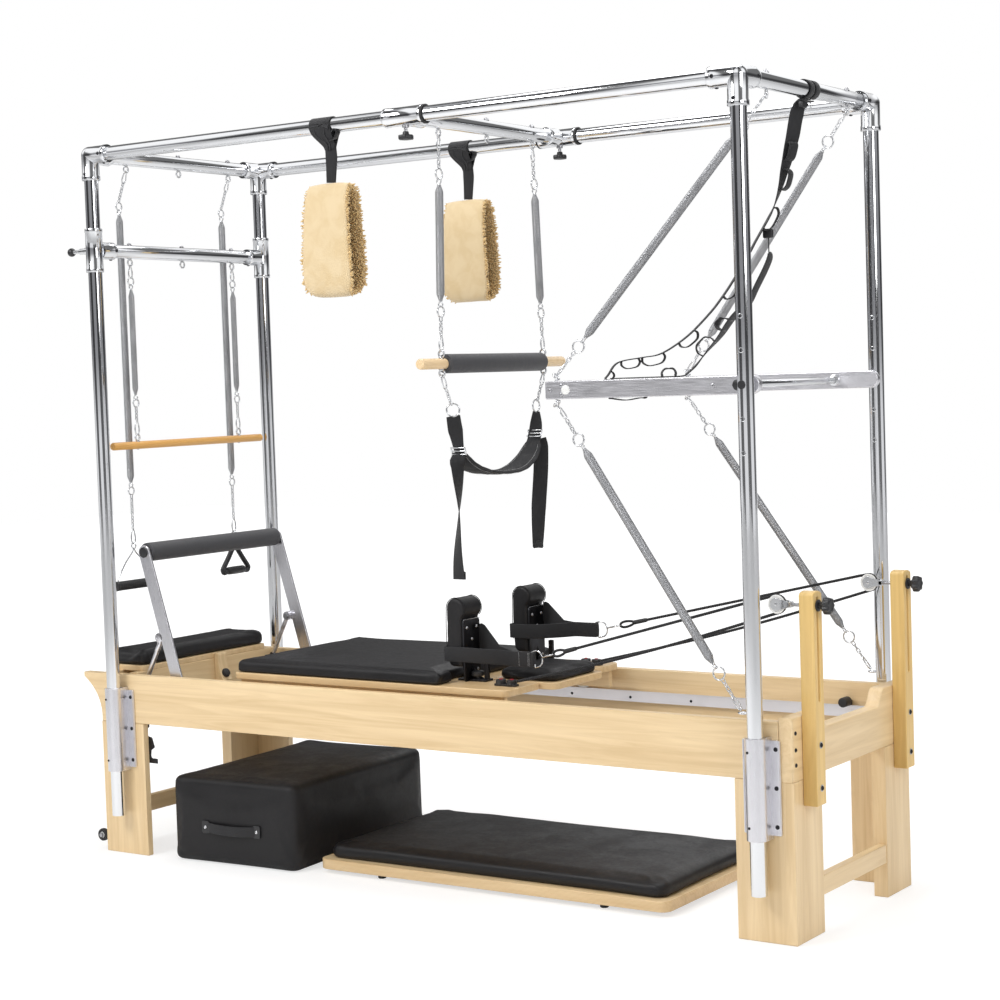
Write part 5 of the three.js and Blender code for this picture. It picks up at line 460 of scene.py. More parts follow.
def make_finishes(colours):
    maple, riser = tuple(colours.maple), tuple(colours.riser)
    for axis in "XYZ":
        FINISHES["maple_" + axis] = wood("maple_along_" + axis.lower(), maple, axis)
    FINISHES["riser"] = wood("riser_maple", riser, "Z")
    FINISHES["ply"] = wood("birch_ply", maple, "X", ply=True)
    FINISHES["roll_wood"] = wood("lacquered_bar", tuple(colours.roll_bar), "Y")
    FINISHES["pale_bar"] = wood("pale_bar", tuple(colours.trapeze_bar), "Y")
    chrome = tuple(colours.chrome)
    FINISHES["chrome"] = plated("chrome", chrome, 0.07)
    FINISHES["satin_chrome"] = plated("satin_chrome", shade(chrome, 0.92), 0.16)
    aluminium = tuple(colours.aluminium)
    FINISHES["aluminium_X"] = brushed("aluminium_along_x", aluminium, 0.34, (0.02, 1, 1))
    FINISHES["aluminium_Z"] = brushed("aluminium_along_z", aluminium, 0.30, (1, 1, 0.02))
    FINISHES["spring"] = spring_steel("spring_steel", tuple(colours.spring), 0.42)
    FINISHES["fastener"] = spring_steel("zinc_fastener", (0.52, 0.52, 0.54), 0.3)
    FINISHES["dark_steel"] = spring_steel("black_steel", (0.05, 0.05, 0.055), 0.4)
    FINISHES["vinyl"] = vinyl("black_vinyl", tuple(colours.vinyl), 0.46)
    FINISHES["box_vinyl"] = vinyl("box_vinyl", shade(tuple(colours.vinyl), 1.05), 0.5)
    FINISHES["piping"] = vinyl("seam_piping", shade(tuple(colours.vinyl), 0.8), 0.42, 0.4)
    FINISHES["plastic"] = moulded("black_plastic", (0.022, 0.022, 0.024), 0.4)
    FINISHES["rubber"] = moulded("black_rubber", (0.02, 0.02, 0.021), 0.62, 0.0002)
    FINISHES["white_plastic"] = moulded("white_bush", (0.82, 0.82, 0.80), 0.4)
    FINISHES["red_plastic"] = moulded("red_cap", (0.35, 0.02, 0.03), 0.35)
    FINISHES["foam"] = foam_skin("grey_foam", tuple(colours.foam), 0.66)
    FINISHES["webbing"] = webbing("black_webbing", tuple(colours.webbing))
    FINISHES["thread"] = moulded("grey_thread", (0.16, 0.16, 0.165), 0.7)
    FINISHES["pale_thread"] = moulded("pale_thread", (0.5, 0.5, 0.5), 0.7)
    FINISHES["fleece"] = fleece("sheepskin", tuple(colours.fleece))
    FINISHES["rope"] = braided("rope_cover", tuple(colours.webbing))
    FINISHES["dark_thread"] = moulded("dark_thread", (0.06, 0.06, 0.062), 0.8)
    FINISHES["suede"] = suede("sheepskin_suede", tuple(colours.suede))
    FINISHES["felt"] = moulded("black_felt", (0.03, 0.03, 0.032), 0.9, 0.0004)


# Meshes


def mesh_of(form, smooth_angle=40):
    """A mesh from a bmesh, smooth but for its corners."""
    mesh = bpy.data.meshes.new("form")
    bmesh.ops.remove_doubles(form, verts=form.verts, dist=1e-6)
    bmesh.ops.recalc_face_normals(form, faces=form.faces)
    for face in form.faces:
        face.smooth = True
    form.to_mesh(mesh)
    form.free()
    mesh.set_sharp_from_angle(angle=math.radians(smooth_angle))
    return mesh


def merged(parts):
    """One mesh from several."""
    form = bmesh.new()
    for part in parts:
        form.from_mesh(part)
    mesh = bpy.data.meshes.new("form")
    form.to_mesh(mesh)
    form.free()
    return mesh


def show(name, mesh, finish, body, nodes=()):
    """Puts a finished mesh in the scene on a body and hides the nodes that it replaces; given instead a tuple
    of two bodies and two points, which are not used, it leaves the piece in place on no body.
    """
    piece = bpy.data.objects.new(name, mesh)
    bpy.context.scene.collection.objects.link(piece)
    if finish is not None:
        mesh.materials.clear()
        mesh.materials.append(FINISHES[finish])
    if isinstance(body, tuple):
        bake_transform(piece)
    else:
        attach(piece, body)
    if nodes:
        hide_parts(*nodes)
    return piece


def square_to(axis):
    """Two directions square to an axis and to each other."""
    axis = Vector(axis).normalized()
    first = axis.cross(Z if abs(axis.z) < 0.9 else X).normalized()
    return first, axis.cross(first).normalized()


def lathe(profile, start, axis, segments=48, smooth_angle=40):
    """A turned form: radius and distance along the axis, from axis to axis or closed on itself."""
    axis = Vector(axis).normalized()
    u, v = square_to(axis)
    start = Vector(start)
    form = bmesh.new()
    rings = []
    for r, d in profile:
        centre = start + axis * d
        if r < 1e-7:
            rings.append([form.verts.new(centre)])
            continue
        rings.append(
            [
                form.verts.new(centre + (u * math.cos(a) + v * math.sin(a)) * r)
                for a in (2 * math.pi * i / segments for i in range(segments))
            ]
        )
    for low, high in zip(rings, rings[1:]):
        for i in range(segments):
            j = (i + 1) % segments
            corners = [low[i % len(low)], low[j % len(low)], high[j % len(high)], high[i % len(high)]]
            unique = list(dict.fromkeys(corners))
            if len(unique) > 2:
                form.faces.new(unique)
    return mesh_of(form, smooth_angle)


def bar(radius, start, end, edge=0.0008, segments=48):
    """A round bar with eased ends."""
    start, end = Vector(start), Vector(end)
    length = (end - start).length
    profile = [
        (0, 0),
        (radius - edge, 0),
        (radius - edge * 0.3, edge * 0.3),
        (radius, edge),
        (radius, length - edge),
        (radius - edge * 0.3, length - edge * 0.3),
        (radius - edge, length),
        (0, length),
    ]
    return lathe(profile, start, end - start, segments)


def pipe(inner, outer, start, end, edge=0.0008, segments=48):
    """A sleeve with a bore and eased rims."""
    start, end = Vector(start), Vector(end)
    length = (end - start).length
    profile = [
        (inner, edge),
        (inner + edge, 0),
        (outer - edge, 0),
        (outer, edge),
        (outer, length - edge),
        (outer - edge, length),
        (inner + edge, length),
        (inner, length - edge),
        (inner, edge),
    ]
    return lathe(profile, start, end - start, segments)


def globe(radius, centre, segments=32, rings=16):
    profile = [
        (radius * math.sin(math.pi * i / rings), -radius * math.cos(math.pi * i / rings))
        for i in range(rings + 1)
    ]
    return lathe(profile, centre, Z, segments, 60)


def sweep(points, radius, sides=12, closed=False, smooth_angle=50, section=None):
    """A round or shaped section carried along points, capped unless closed."""
    points = [Vector(p) for p in points]
    count = len(points)
    form = bmesh.new()
    if section is None:
        section = [
            (radius * math.cos(2 * math.pi * i / sides), radius * math.sin(2 * math.pi * i / sides))
            for i in range(sides)
        ]
    normal = None
    rings = []
    for i in range(count):
        if closed:
            way = points[(i + 1) % count] - points[i - 1]
        else:
            way = points[min(i + 1, count - 1)] - points[max(i - 1, 0)]
        way.normalize()
        if normal is None:
            normal = square_to(way)[0]
        normal = (normal - way * normal.dot(way)).normalized()
        across = way.cross(normal)
        rings.append([form.verts.new(points[i] + normal * a + across * b) for a, b in section])
    sides = len(section)
    pairs = list(zip(rings, rings[1:])) + ([(rings[-1], rings[0])] if closed else [])
    for low, high in pairs:
        for i in range(sides):
            j = (i + 1) % sides
            form.faces.new((low[i], low[j], high[j], high[i]))
    if not closed:
        form.faces.new(rings[0])
        form.faces.new(rings[-1])
    return mesh_of(form, smooth_angle)


def hoop(radius, wire, centre, axis, segments=36, sides=12, stretch=1.0, towards=None):
    """A closed wire ring; stretch makes it longer along "towards"."""
    axis = Vector(axis).normalized()
    if towards is None:
        u, v = square_to(axis)
    else:
        u = (Vector(towards) - axis * Vector(towards).dot(axis)).normalized()
        v = axis.cross(u)
    centre = Vector(centre)
    points = [
        centre + u * radius * stretch * math.cos(a) + v * radius * math.sin(a)
        for a in (2 * math.pi * i / segments for i in range(segments))
    ]
    return sweep(points, wire, sides, closed=True)


PLANES = {
    "XY": Matrix(((1, 0, 0), (0, 1, 0), (0, 0, 1))),
    "XZ": Matrix(((1, 0, 0), (0, 0, -1), (0, 1, 0))),
    "YZ": Matrix(((0, 0, 1), (1, 0, 0), (0, 1, 0))),
}


def plate(outlines, plane, low, high, edge=0.002, steps=3):
    """A board cut to outlines in a plane, from low to high across it, with eased edges."""
    curve = bpy.data.curves.new("outline", "CURVE")
    curve.dimensions = "2D"
    curve.fill_mode = "BOTH"
    curve.extrude = (high - low) / 2 - edge
    curve.bevel_depth = edge
    curve.bevel_resolution = steps
    curve.offset = -edge
    for outline in outlines:
        spline = curve.splines.new("POLY")
        spline.points.add(len(outline) - 1)
        for point, (u, v) in zip(spline.points, outline):
            point.co = (u, v, 0, 1)
        spline.use_cyclic_u = True
    holder = bpy.data.objects.new("outline", curve)
    bpy.context.scene.collection.objects.link(holder)
    depsgraph = bpy.context.evaluated_depsgraph_get()
    mesh = bpy.data.meshes.new_from_object(holder.evaluated_get(depsgraph))
    bpy.data.objects.remove(holder)
    turn = PLANES[plane].to_4x4()
    middle = (low + high) / 2
    shift = {"XY": Z * middle, "XZ": Y * middle, "YZ": X * middle}[plane]
    mesh.transform(Matrix.Translation(shift) @ turn)
    form = bmesh.new()
    form.from_mesh(mesh)
    bmesh.ops.remove_doubles(form, verts=form.verts, dist=1e-5)
    bmesh.ops.recalc_face_normals(form, faces=form.faces)
    across = {"XY": Z, "XZ": Y, "YZ": X}[plane]
    form.normal_update()
    for face in form.faces:
        tilt = abs(face.normal.dot(across))
        if tilt > 0.999:
            face.smooth = False
            continue
        if tilt > 0.001:
            face.smooth = True
            continue
        turned = [
            other
            for edge_ in face.edges
            for other in edge_.link_faces
            if other is not face and abs(other.normal.dot(across)) < 0.001
            and 0.01 < other.normal.angle(face.normal, 0) < 0.5
        ]
        face.smooth = bool(turned)
    form.to_mesh(mesh)
    form.free()
    return mesh


def corners(u0, u1, v0, v1):
    return [(u0, v0), (u1, v0), (u1, v1), (u0, v1)]


def rounded(u0, u1, v0, v1, radius, steps=8):
    """A rectangle with round corners."""
    points = []
    for cu, cv, start in ((u1, v1, 0), (u0, v1, 1), (u0, v0, 2), (u1, v0, 3)):
        su, sv = (1 if cu == u1 else -1), (1 if cv == v1 else -1)
        for i in range(steps + 1):
            angle = math.pi / 2 * (start + i / steps)
            points.append(
                (cu - su * radius + radius * math.cos(angle), cv - sv * radius + radius * math.sin(angle))
            )
    return points


def arc(u, v, radius, start, end, steps=12):
    """Points on an arc, in degrees."""
    return [
        (u + radius * math.cos(math.radians(a)), v + radius * math.sin(math.radians(a)))
        for a in (start + (end - start) * i / steps for i in range(steps + 1))
    ]


def curved(points, steps=8):
    """A smooth line through points, as many points on it."""
    points = [Vector(p) for p in points]
    ends = [points[0] * 2 - points[1], *points, points[-1] * 2 - points[-2]]
    made = []
    for a, b, c, d in zip(ends, ends[1:], ends[2:], ends[3:]):
        bend, twist = 2 * a - 5 * b + 4 * c - d, 3 * b - a - 3 * c + d
        for i in range(steps):
            t = i / steps
            made.append(0.5 * (2 * b + (c - a) * t + bend * t * t + twist * t ** 3))
    made.append(points[-1])
    return made


def graded(keys, count):
    """Values along a line from (share, value) keys, straight between them."""
    made = []
    for i in range(count):
        place = i / (count - 1)
        low, high = keys[0], keys[-1]
        for first, last in zip(keys, keys[1:]):
            if first[0] <= place <= last[0]:
                low, high = first, last
                break
        share = (place - low[0]) / (high[0] - low[0])
        made.append(low[1] + (high[1] - low[1]) * share)
    return made


def strap(points, across, width, thickness, closed=False):
    """Flat webbing along points, with its own UV map: metres along it and across it."""
    points = [Vector(p) for p in points]
    count = len(points)
    widths = width if isinstance(width, list) else [width] * count
    ways = across if isinstance(across, list) else [Vector(across)] * count
    form = bmesh.new()
    uv = form.loops.layers.uv.new("UVMap")
    edge = thickness / 2
    rim = ((0, 0), (0.3, 0.8), (1, 1))
    rows, run = [], 0.0
    for i in range(count):
        if closed:
            way = points[(i + 1) % count] - points[i - 1]
        else:
            way = points[min(i + 1, count - 1)] - points[max(i - 1, 0)]
        way.normalize()
        wide = (ways[i] - way * way.dot(ways[i])).normalized()
        normal = way.cross(wide)
        half = widths[i] / 2
        left = [(-half + a * edge, -b * edge) for a, b in rim]
        right = [(-u, v) for u, v in reversed(left)]
        section = [*left, (0, -edge), *right]
        section += [(u, -v) for u, v in reversed(section[1:-1])]
        ring = [form.verts.new(points[i] + wide * a + normal * b) for a, b in section]
        rows.append((ring, run, [a for a, _ in section]))
        if i + 1 < count:
            run += (points[i + 1] - points[i]).length
    pairs = list(zip(rows, rows[1:]))
    if closed:
        pairs.append((rows[-1], (rows[0][0], run + (points[0] - points[-1]).length, rows[0][2])))
    for low, high in pairs:
        sides = len(low[0])
        for j in range(sides):
            n = (j + 1) % sides
            face = form.faces.new((low[0][j], low[0][n], high[0][n], high[0][j]))
            for loop, (row, side) in zip(face.loops, ((low, j), (low, n), (high, n), (high, j))):
                loop[uv].uv = (row[1], row[2][side])
    if not closed:
        form.faces.new(rows[0][0])
        form.faces.new(rows[-1][0])
    return mesh_of(form, 60)


class Grower(Tree):
    """A geometry tree with named inputs that makes a plain mesh."""

    KINDS = {
        "vector": "NodeSocketVector",
        "value": "NodeSocketFloat",
        "count": "NodeSocketInt",
        "object": "NodeSocketObject",
        "finish": "NodeSocketMaterial",
    }

    def __init__(self, name, inputs):
        group = bpy.data.node_groups.new(name, "GeometryNodeTree")
        super().__init__(group)
        group.interface.new_socket("Geometry", in_out="INPUT", socket_type="NodeSocketGeometry")
        group.interface.new_socket("Geometry", in_out="OUTPUT", socket_type="NodeSocketGeometry")
        for label, kind in inputs.items():
            group.interface.new_socket(label, in_out="INPUT", socket_type=self.KINDS[kind])
        self.given = group.nodes.new("NodeGroupInput")
        self.made = group.nodes.new("NodeGroupOutput")

    def input(self, label):
        return Value(self, self.given.outputs[label])

    def attribute(self, name, kind="FLOAT"):
        return self.node("GeometryNodeInputNamedAttribute", {"data_type": kind}, {"Name": name})

    def end(self, geometry, smooth=True):
        """Realizes the copies, smooths and colours them."""
        real = self.node("GeometryNodeRealizeInstances", {}, {0: geometry})
        if smooth:
            real = self.node("GeometryNodeSetShadeSmooth", {}, {"Geometry": real, "Shade Smooth": True})
        dressed = self.node(
            "GeometryNodeSetMaterial", {}, {"Geometry": real, "Material": self.input("Finish")},
        )
        self.tree.links.new(dressed.socket, self.made.inputs[0])

    def run(self, values, points=((0, 0, 0),), edges=(), attributes=None, mesh=None):
        """The mesh that the tree makes from bare points, or from a mesh."""
        base = mesh or bpy.data.meshes.new("seed")
        if mesh is None:
            base.from_pydata([tuple(p) for p in points], list(edges), [])
        for name, rows in (attributes or {}).items():
            if isinstance(rows[0], (int, float)):
                base.attributes.new(name, "FLOAT", "POINT").data.foreach_set("value", rows)
            else:
                flat = [c for row in rows for c in row]
                base.attributes.new(name, "FLOAT_VECTOR", "POINT").data.foreach_set("vector", flat)
        holder = bpy.data.objects.new("seed", base)
        bpy.context.scene.collection.objects.link(holder)
        modifier = holder.modifiers.new("Grow", "NODES")
        modifier.node_group = self.tree
        sockets = {s.name: s.identifier for s in self.tree.interface.items_tree if s.in_out == "INPUT"}
        for label, value in values.items():
            modifier[sockets[label]] = value
        depsgraph = bpy.context.evaluated_depsgraph_get()
        made = bpy.data.meshes.new_from_object(holder.evaluated_get(depsgraph))
        holder.modifiers.remove(modifier)
        bpy.data.objects.remove(holder)
        return made


def coil_grower():
    """Wire wound round a line, drawn in at both ends."""
    grower = Grower(
        "wound_spring",
        {
            "Start": "vector", "End": "vector", "Across": "vector", "Over": "vector",
            "Radius": "value", "Wire": "value", "Turns": "count", "Taper": "value", "Finish": "finish",
        },
    )
    line = grower.node(
        "GeometryNodeCurvePrimitiveLine", {}, {"Start": grower.input("Start"), "End": grower.input("End")},
    )
    count = grower.input("Turns") * 12.0 + 1.0
    line = grower.node("GeometryNodeResampleCurve", {"mode": "COUNT"}, {"Curve": line, "Count": count})
    share = grower.node("GeometryNodeSplineParameter")
    ends = share.low(1.0 - share)
    reach = grower.input("Radius") * ends.between(0.0, grower.input("Taper"), 0.42, 1.0)
    angle = share * grower.input("Turns") * (2 * math.pi)
    first = grower.node(
        "ShaderNodeVectorMath", {"operation": "SCALE"},
        {0: grower.input("Across"), "Scale": angle.cosine() * reach}
    )
    second = grower.node(
        "ShaderNodeVectorMath", {"operation": "SCALE"},
        {0: grower.input("Over"), "Scale": angle.sine() * reach}
    )
    offset = grower.node("ShaderNodeVectorMath", {"operation": "ADD"}, {0: first, 1: second})
    wound = grower.node("GeometryNodeSetPosition", {}, {"Geometry": line, "Offset": offset})
    profile = grower.node(
        "GeometryNodeCurvePrimitiveCircle", {"mode": "RADIUS"},
        {"Resolution": 6, "Radius": grower.input("Wire")}
    )
    tube = grower.node(
        "GeometryNodeCurveToMesh", {}, {"Curve": wound, "Profile Curve": profile, "Fill Caps": True},
    )
    grower.end(tube)
    return grower


def repeat_grower():
    """One shape set on every point: "aim" turns its Z, "spin" turns it about Z, "size" scales it."""
    grower = Grower("repeated_shape", {"Shape": "object", "Finish": "finish"})
    shape = grower.node("GeometryNodeObjectInfo", {}, {"Object": grower.input("Shape")}, 4)
    aim = grower.attribute("aim", "FLOAT_VECTOR")
    spin = grower.attribute("spin")
    size = grower.attribute("size")
    turned = grower.node("FunctionNodeAlignRotationToVector", {"axis": "Z"}, {"Vector": aim})
    roll = grower.node("FunctionNodeAxisAngleToRotation", {}, {"Axis": (0, 0, 1), "Angle": spin})
    both = grower.node(
        "FunctionNodeRotateRotation", {"rotation_space": "LOCAL"}, {"Rotation": turned, "Rotate By": roll},
    )
    copies = grower.node(
        "GeometryNodeInstanceOnPoints", {},
        {
            "Points": Value(grower, grower.given.outputs[0]), "Instance": shape, "Rotation": both,
            "Scale": size,
        },
    )
    grower.end(copies, smooth=False)
    return grower


def stitch_grower():
    """Short stitches evenly spaced along a line."""
    grower = Grower(
        "stitches", {"Pitch": "value", "Length": "value", "Thread": "value", "Finish": "finish"}
    )
    line = grower.node("GeometryNodeMeshToCurve", {}, {"Mesh": Value(grower, grower.given.outputs[0])})
    line = grower.node(
        "GeometryNodeResampleCurve", {"mode": "LENGTH"}, {"Curve": line, "Length": grower.input("Pitch")},
    )
    tangent = grower.node("GeometryNodeInputTangent")
    turned = grower.node("FunctionNodeAlignRotationToVector", {"axis": "Z"}, {"Vector": tangent})
    bead = grower.node("GeometryNodeMeshUVSphere", {}, {"Segments": 6, "Rings": 4, "Radius": 1.0})
    scale = grower.node(
        "ShaderNodeCombineXYZ", {},
        {0: grower.input("Thread"), 1: grower.input("Thread"), 2: grower.input("Length") * 0.5}
    )
    copies = grower.node(
        "GeometryNodeInstanceOnPoints", {},
        {"Points": line, "Instance": bead, "Rotation": turned, "Scale": scale}
    )
    grower.end(copies)
    return grower


def braid_grower():
    """Strands that wind round a path both ways, as a rope's cover does."""
    grower = Grower(
        "braided_rope",
        {"Radius": "value", "Strand": "value", "Pitch": "value", "Step": "value", "Finish": "finish"},
    )
    path = grower.node("GeometryNodeMeshToCurve", {}, {"Mesh": Value(grower, grower.given.outputs[0])})
    path = grower.node(
        "GeometryNodeResampleCurve", {"mode": "LENGTH"}, {"Curve": path, "Length": grower.input("Step")},
    )
    tangent = grower.node("GeometryNodeInputTangent")
    normal = grower.node("GeometryNodeInputNormal")
    across = grower.node("ShaderNodeVectorMath", {"operation": "CROSS_PRODUCT"}, {0: tangent, 1: normal})
    run = grower.node("GeometryNodeSplineParameter", output=1)
    profile = grower.node(
        "GeometryNodeCurvePrimitiveCircle", {"mode": "RADIUS"},
        {"Resolution": 5, "Radius": grower.input("Strand")}
    )
    joined = grower.tree.nodes.new("GeometryNodeJoinGeometry")
    strands = 4
    for way in (-1.0, 1.0):
        for i in range(strands):
            angle = run / grower.input("Pitch") * (2 * math.pi * way) + 2 * math.pi * i / strands
            lift = (angle * (strands * 1.0)).sine() * (way * 0.09) + 0.93
            reach = grower.input("Radius") * lift
            first = grower.node(
                "ShaderNodeVectorMath", {"operation": "SCALE"},
                {0: normal, "Scale": angle.cosine() * reach},
            )
            second = grower.node(
                "ShaderNodeVectorMath", {"operation": "SCALE"}, {0: across, "Scale": angle.sine() * reach},
            )
            offset = grower.node("ShaderNodeVectorMath", {"operation": "ADD"}, {0: first, 1: second})
            moved = grower.node("GeometryNodeSetPosition", {}, {"Geometry": path, "Offset": offset})
            tube = grower.node(
                "GeometryNodeCurveToMesh", {}, {"Curve": moved, "Profile Curve": profile, "Fill Caps": True}
            )
            grower.tree.links.new(tube.socket, joined.inputs[0])
    grower.end(Value(grower, joined.outputs[0]))
    return grower


def tuft_grower():
    """Curled tufts of wool over the part of a surface where its "wool" is above zero."""
    inputs = {"Density": "value", "Tuft": "value", "Seed": "count", "Finish": "finish"}
    grower = Grower("fleece_tufts", inputs)
    scatter = grower.tree.nodes.new("GeometryNodeDistributePointsOnFaces")
    grower.feed(scatter.inputs["Mesh"], Value(grower, grower.given.outputs[0]))
    grower.feed(scatter.inputs["Density"], grower.input("Density") * grower.attribute("wool"))
    grower.feed(scatter.inputs["Seed"], grower.input("Seed"))
    points = Value(grower, scatter.outputs["Points"])
    turned = Value(grower, scatter.outputs["Rotation"])
    tilt = grower.node(
        "FunctionNodeRandomValue", {"data_type": "FLOAT_VECTOR"},
        {0: (-0.55, -0.55, -3.1), 1: (0.55, 0.55, 3.1), "Seed": grower.input("Seed")},
    )
    tilt = grower.node("FunctionNodeEulerToRotation", {}, {0: tilt})
    both = grower.node(
        "FunctionNodeRotateRotation", {"rotation_space": "LOCAL"},
        {"Rotation": turned, "Rotate By": tilt},
    )
    sizes = {2: 0.65, 3: 1.25, "Seed": grower.input("Seed")}
    size = grower.node("FunctionNodeRandomValue", {}, sizes, 1) * grower.input("Tuft")
    curl = grower.node("GeometryNodeMeshIcoSphere", {}, {"Radius": 0.5, "Subdivisions": 1})
    shape = grower.node(
        "GeometryNodeTransform", {},
        {"Geometry": curl, "Scale": (0.62, 0.5, 1.5), "Translation": (0, 0, 0.32)},
    )
    copies = grower.node(
        "GeometryNodeInstanceOnPoints", {},
        {"Points": points, "Instance": shape, "Rotation": both, "Scale": size},
    )
    grower.end(copies)
    return grower


GROWERS = {}


def grower(kind):
    makers = {
        "coil": coil_grower,
        "repeat": repeat_grower,
        "stitch": stitch_grower,
        "braid": braid_grower,
        "tuft": tuft_grower,
    }
    if kind not in GROWERS:
        GROWERS[kind] = makers[kind]()
    return GROWERS[kind]


def wound(start, end, radius, wire, taper=0.022, pitch=None, finish="spring"):
    """A spring of touching turns between two points."""
    start, end = Vector(start), Vector(end)
    length = (end - start).length
    across, over = square_to(end - start)
    values = {
        "Start": start, "End": end, "Across": across, "Over": over,
        "Radius": radius - wire, "Wire": wire,
        "Turns": max(4, round(length / (pitch or wire * 2.03))),
        "Taper": taper / length, "Finish": FINISHES[finish],
    }
    return grower("coil").run(values)


def repeated(shape, rows, finish):
    """Copies of a shape mesh at rows of (place, aim, spin, size)."""
    holder = bpy.data.objects.new("shape", shape)
    bpy.context.scene.collection.objects.link(holder)
    attributes = {
        "aim": [tuple(row[1]) for row in rows],
        "spin": [float(row[2]) for row in rows],
        "size": [float(row[3]) for row in rows],
    }
    made = grower("repeat").run(
        {"Shape": holder, "Finish": FINISHES[finish]}, [row[0] for row in rows], attributes=attributes
    )
    bpy.data.objects.remove(holder)
    return made


def stitched(points, pitch=0.0042, length=0.0030, thread=0.00042, finish="thread"):
    """A row of stitches along points."""
    edges = [(i, i + 1) for i in range(len(points) - 1)]
    values = {"Pitch": pitch, "Length": length, "Thread": thread, "Finish": FINISHES[finish]}
    return grower("stitch").run(values, points, edges)


def button_head(sides=24):
    """A domed screw head with a hexagon socket, one unit in radius, sitting on Z 0."""
    dome = [
        (0, 0.16), (0.36, 0.16), (0.38, 0.5), (0.46, 0.55), (0.72, 0.46), (0.92, 0.26), (1, 0.05),
        (1, -0.3), (0, -0.3),
    ]
    return lathe(dome, (0, 0, 0), Z, sides, 35)


def hexagon_nut():
    """A hexagon nut on its washer, one unit across a corner, with a stub of thread."""
    washer = lathe([(0, -0.1), (1.25, -0.1), (1.25, 0.12), (1.2, 0.16), (0, 0.16)], (0, 0, 0), Z, 32)
    nut = lathe([(0, 0.1), (0.98, 0.1), (1, 0.2), (1, 0.78), (0.9, 0.86), (0, 0.86)], (0, 0, 0), Z, 6, 20)
    thread = lathe([(0, 0.8), (0.52, 0.8), (0.52, 1.12), (0.46, 1.2), (0, 1.2)], (0, 0, 0), Z, 16)
    return merged([washer, nut, thread])


def chain(start, end, wire=0.0016, link=0.0145):
    """Welded links between two points, each turned a quarter from the last."""
    start, end = Vector(start), Vector(end)
    gap = end - start
    count = max(1, round(gap.length / (link - wire * 2)))
    step = gap.length / count
    long = step / 2 + wire
    half = long * 0.56
    straight = long - half
    points = [
        *(
            Vector((half * math.cos(a), 0, straight + half * math.sin(a)))
            for a in (math.pi * i / 8 for i in range(9))
        ),
        *(
            Vector((half * math.cos(a), 0, -straight + half * math.sin(a)))
            for a in (math.pi + math.pi * i / 8 for i in range(9))
        ),
    ]
    shape = sweep(points, wire, 8, closed=True)
    rows = [
        (start + gap * ((i + 0.5) / count), gap.normalized(), math.pi / 2 * (i % 2), 1)
        for i in range(count)
    ]
    return repeated(shape, rows, "satin_chrome")


def snap_hook(start, end, wire=0.0021):
    """A spring hook: a bent wire body with a straight gate, between two points."""
    start, end = Vector(start), Vector(end)
    way = end - start
    length = way.length
    axis = way.normalized()
    side = square_to(axis)[0]
    half = length * 0.23
    loop = []
    for i in range(28):
        angle = 2 * math.pi * i / 28
        wide = half * (0.75 + 0.25 * math.cos(angle))
        along = length / 2 + (length / 2 - wire) * math.cos(angle)
        loop.append(start + axis * along + side * wide * math.sin(angle))
    body = sweep(loop, wire, 10, closed=True)
    low = start + axis * length * 0.3 - side * half * 0.55
    high = start + axis * length * 0.78 - side * half * 0.8
    gate = bar(wire * 0.8, low, high, 0.0004, 12)
    return merged([body, gate])


def eye_bolt(centre, stem, facing, stem_length=0.012):
    """A threaded eye: ring, neck and collar. "stem" points from the bar to the ring."""
    centre, stem = Vector(centre), Vector(stem).normalized()
    root = centre - stem * (EYE_RING + stem_length)
    neck = bar(0.0028, root, centre - stem * (EYE_RING - 0.001), 0.0003, 16)
    collar = lathe(
        [(0, 0), (0.0062, 0), (0.0068, 0.0008), (0.0066, 0.0026), (0.0034, 0.0042), (0, 0.0042)],
        centre - stem * (EYE_RING + 0.0058), stem, 24,
    )
    return merged([hoop(EYE_RING, EYE_WIRE, centre, facing, 32, 12, 1.08, stem), neck, collar])


# Sizes and colours that a user would change


def colour_property(label, text, value):
    return bpy.props.FloatVectorProperty(
        name=label, description=text, subtype="COLOR", size=3, min=0, max=1, default=value
    )


def length_property(label, text, value):
    return bpy.props.FloatProperty(
        name=label, description=text, subtype="DISTANCE", unit="LENGTH", default=value,
    )


class TableColours(bpy.types.PropertyGroup):
    """Colours of the table's finishes."""

    maple: colour_property("Maple", "Lacquered wood of the bed", (0.80, 0.615, 0.37))
    riser: colour_property("Riser posts", "Yellower wood of the two riser posts", (0.79, 0.55, 0.21))
    roll_bar: colour_property("Roll-down bar", "Orange lacquer of the roll-down bar", (0.76, 0.42, 0.12))
    trapeze_bar: colour_property("Trapeze bar", "Wood of the trapeze bar's ends", (0.82, 0.62, 0.38))
    chrome: colour_property("Chrome", "Tube frame", (0.80, 0.81, 0.83))
    aluminium: colour_property("Aluminium", "Brackets, footbar and push-through bar", (0.77, 0.765, 0.80))
    spring: colour_property("Springs", "Wound spring wire", (0.50, 0.505, 0.52))
    vinyl: colour_property("Vinyl", "Cushions, box and board", (0.010, 0.0095, 0.0105))
    foam: colour_property("Foam", "Grips of the footbar and the trapeze", (0.045, 0.045, 0.050))
    webbing: colour_property("Webbing", "Straps, sling and ropes", (0.014, 0.014, 0.016))
    fleece: colour_property("Sheepskin", "Fleece of the two loops", (0.74, 0.55, 0.27))
    suede: colour_property("Suede", "Outside of the two loops", (0.72, 0.575, 0.36))


class TableSizes(bpy.types.PropertyGroup):
    """Sizes of the details that the frame leaves to the scene."""

    board_edge: length_property("Board edge", "Radius of the eased edges of the wood", 0.0025)
    spring_wire: length_property("Spring wire", "Radius of the wire of the large springs", 0.00105)
    rope_radius: length_property("Rope", "Radius of the two ropes", 0.0035)
    tuft: length_property("Tufts", "Length of the sheepskin's curls", 0.0085)


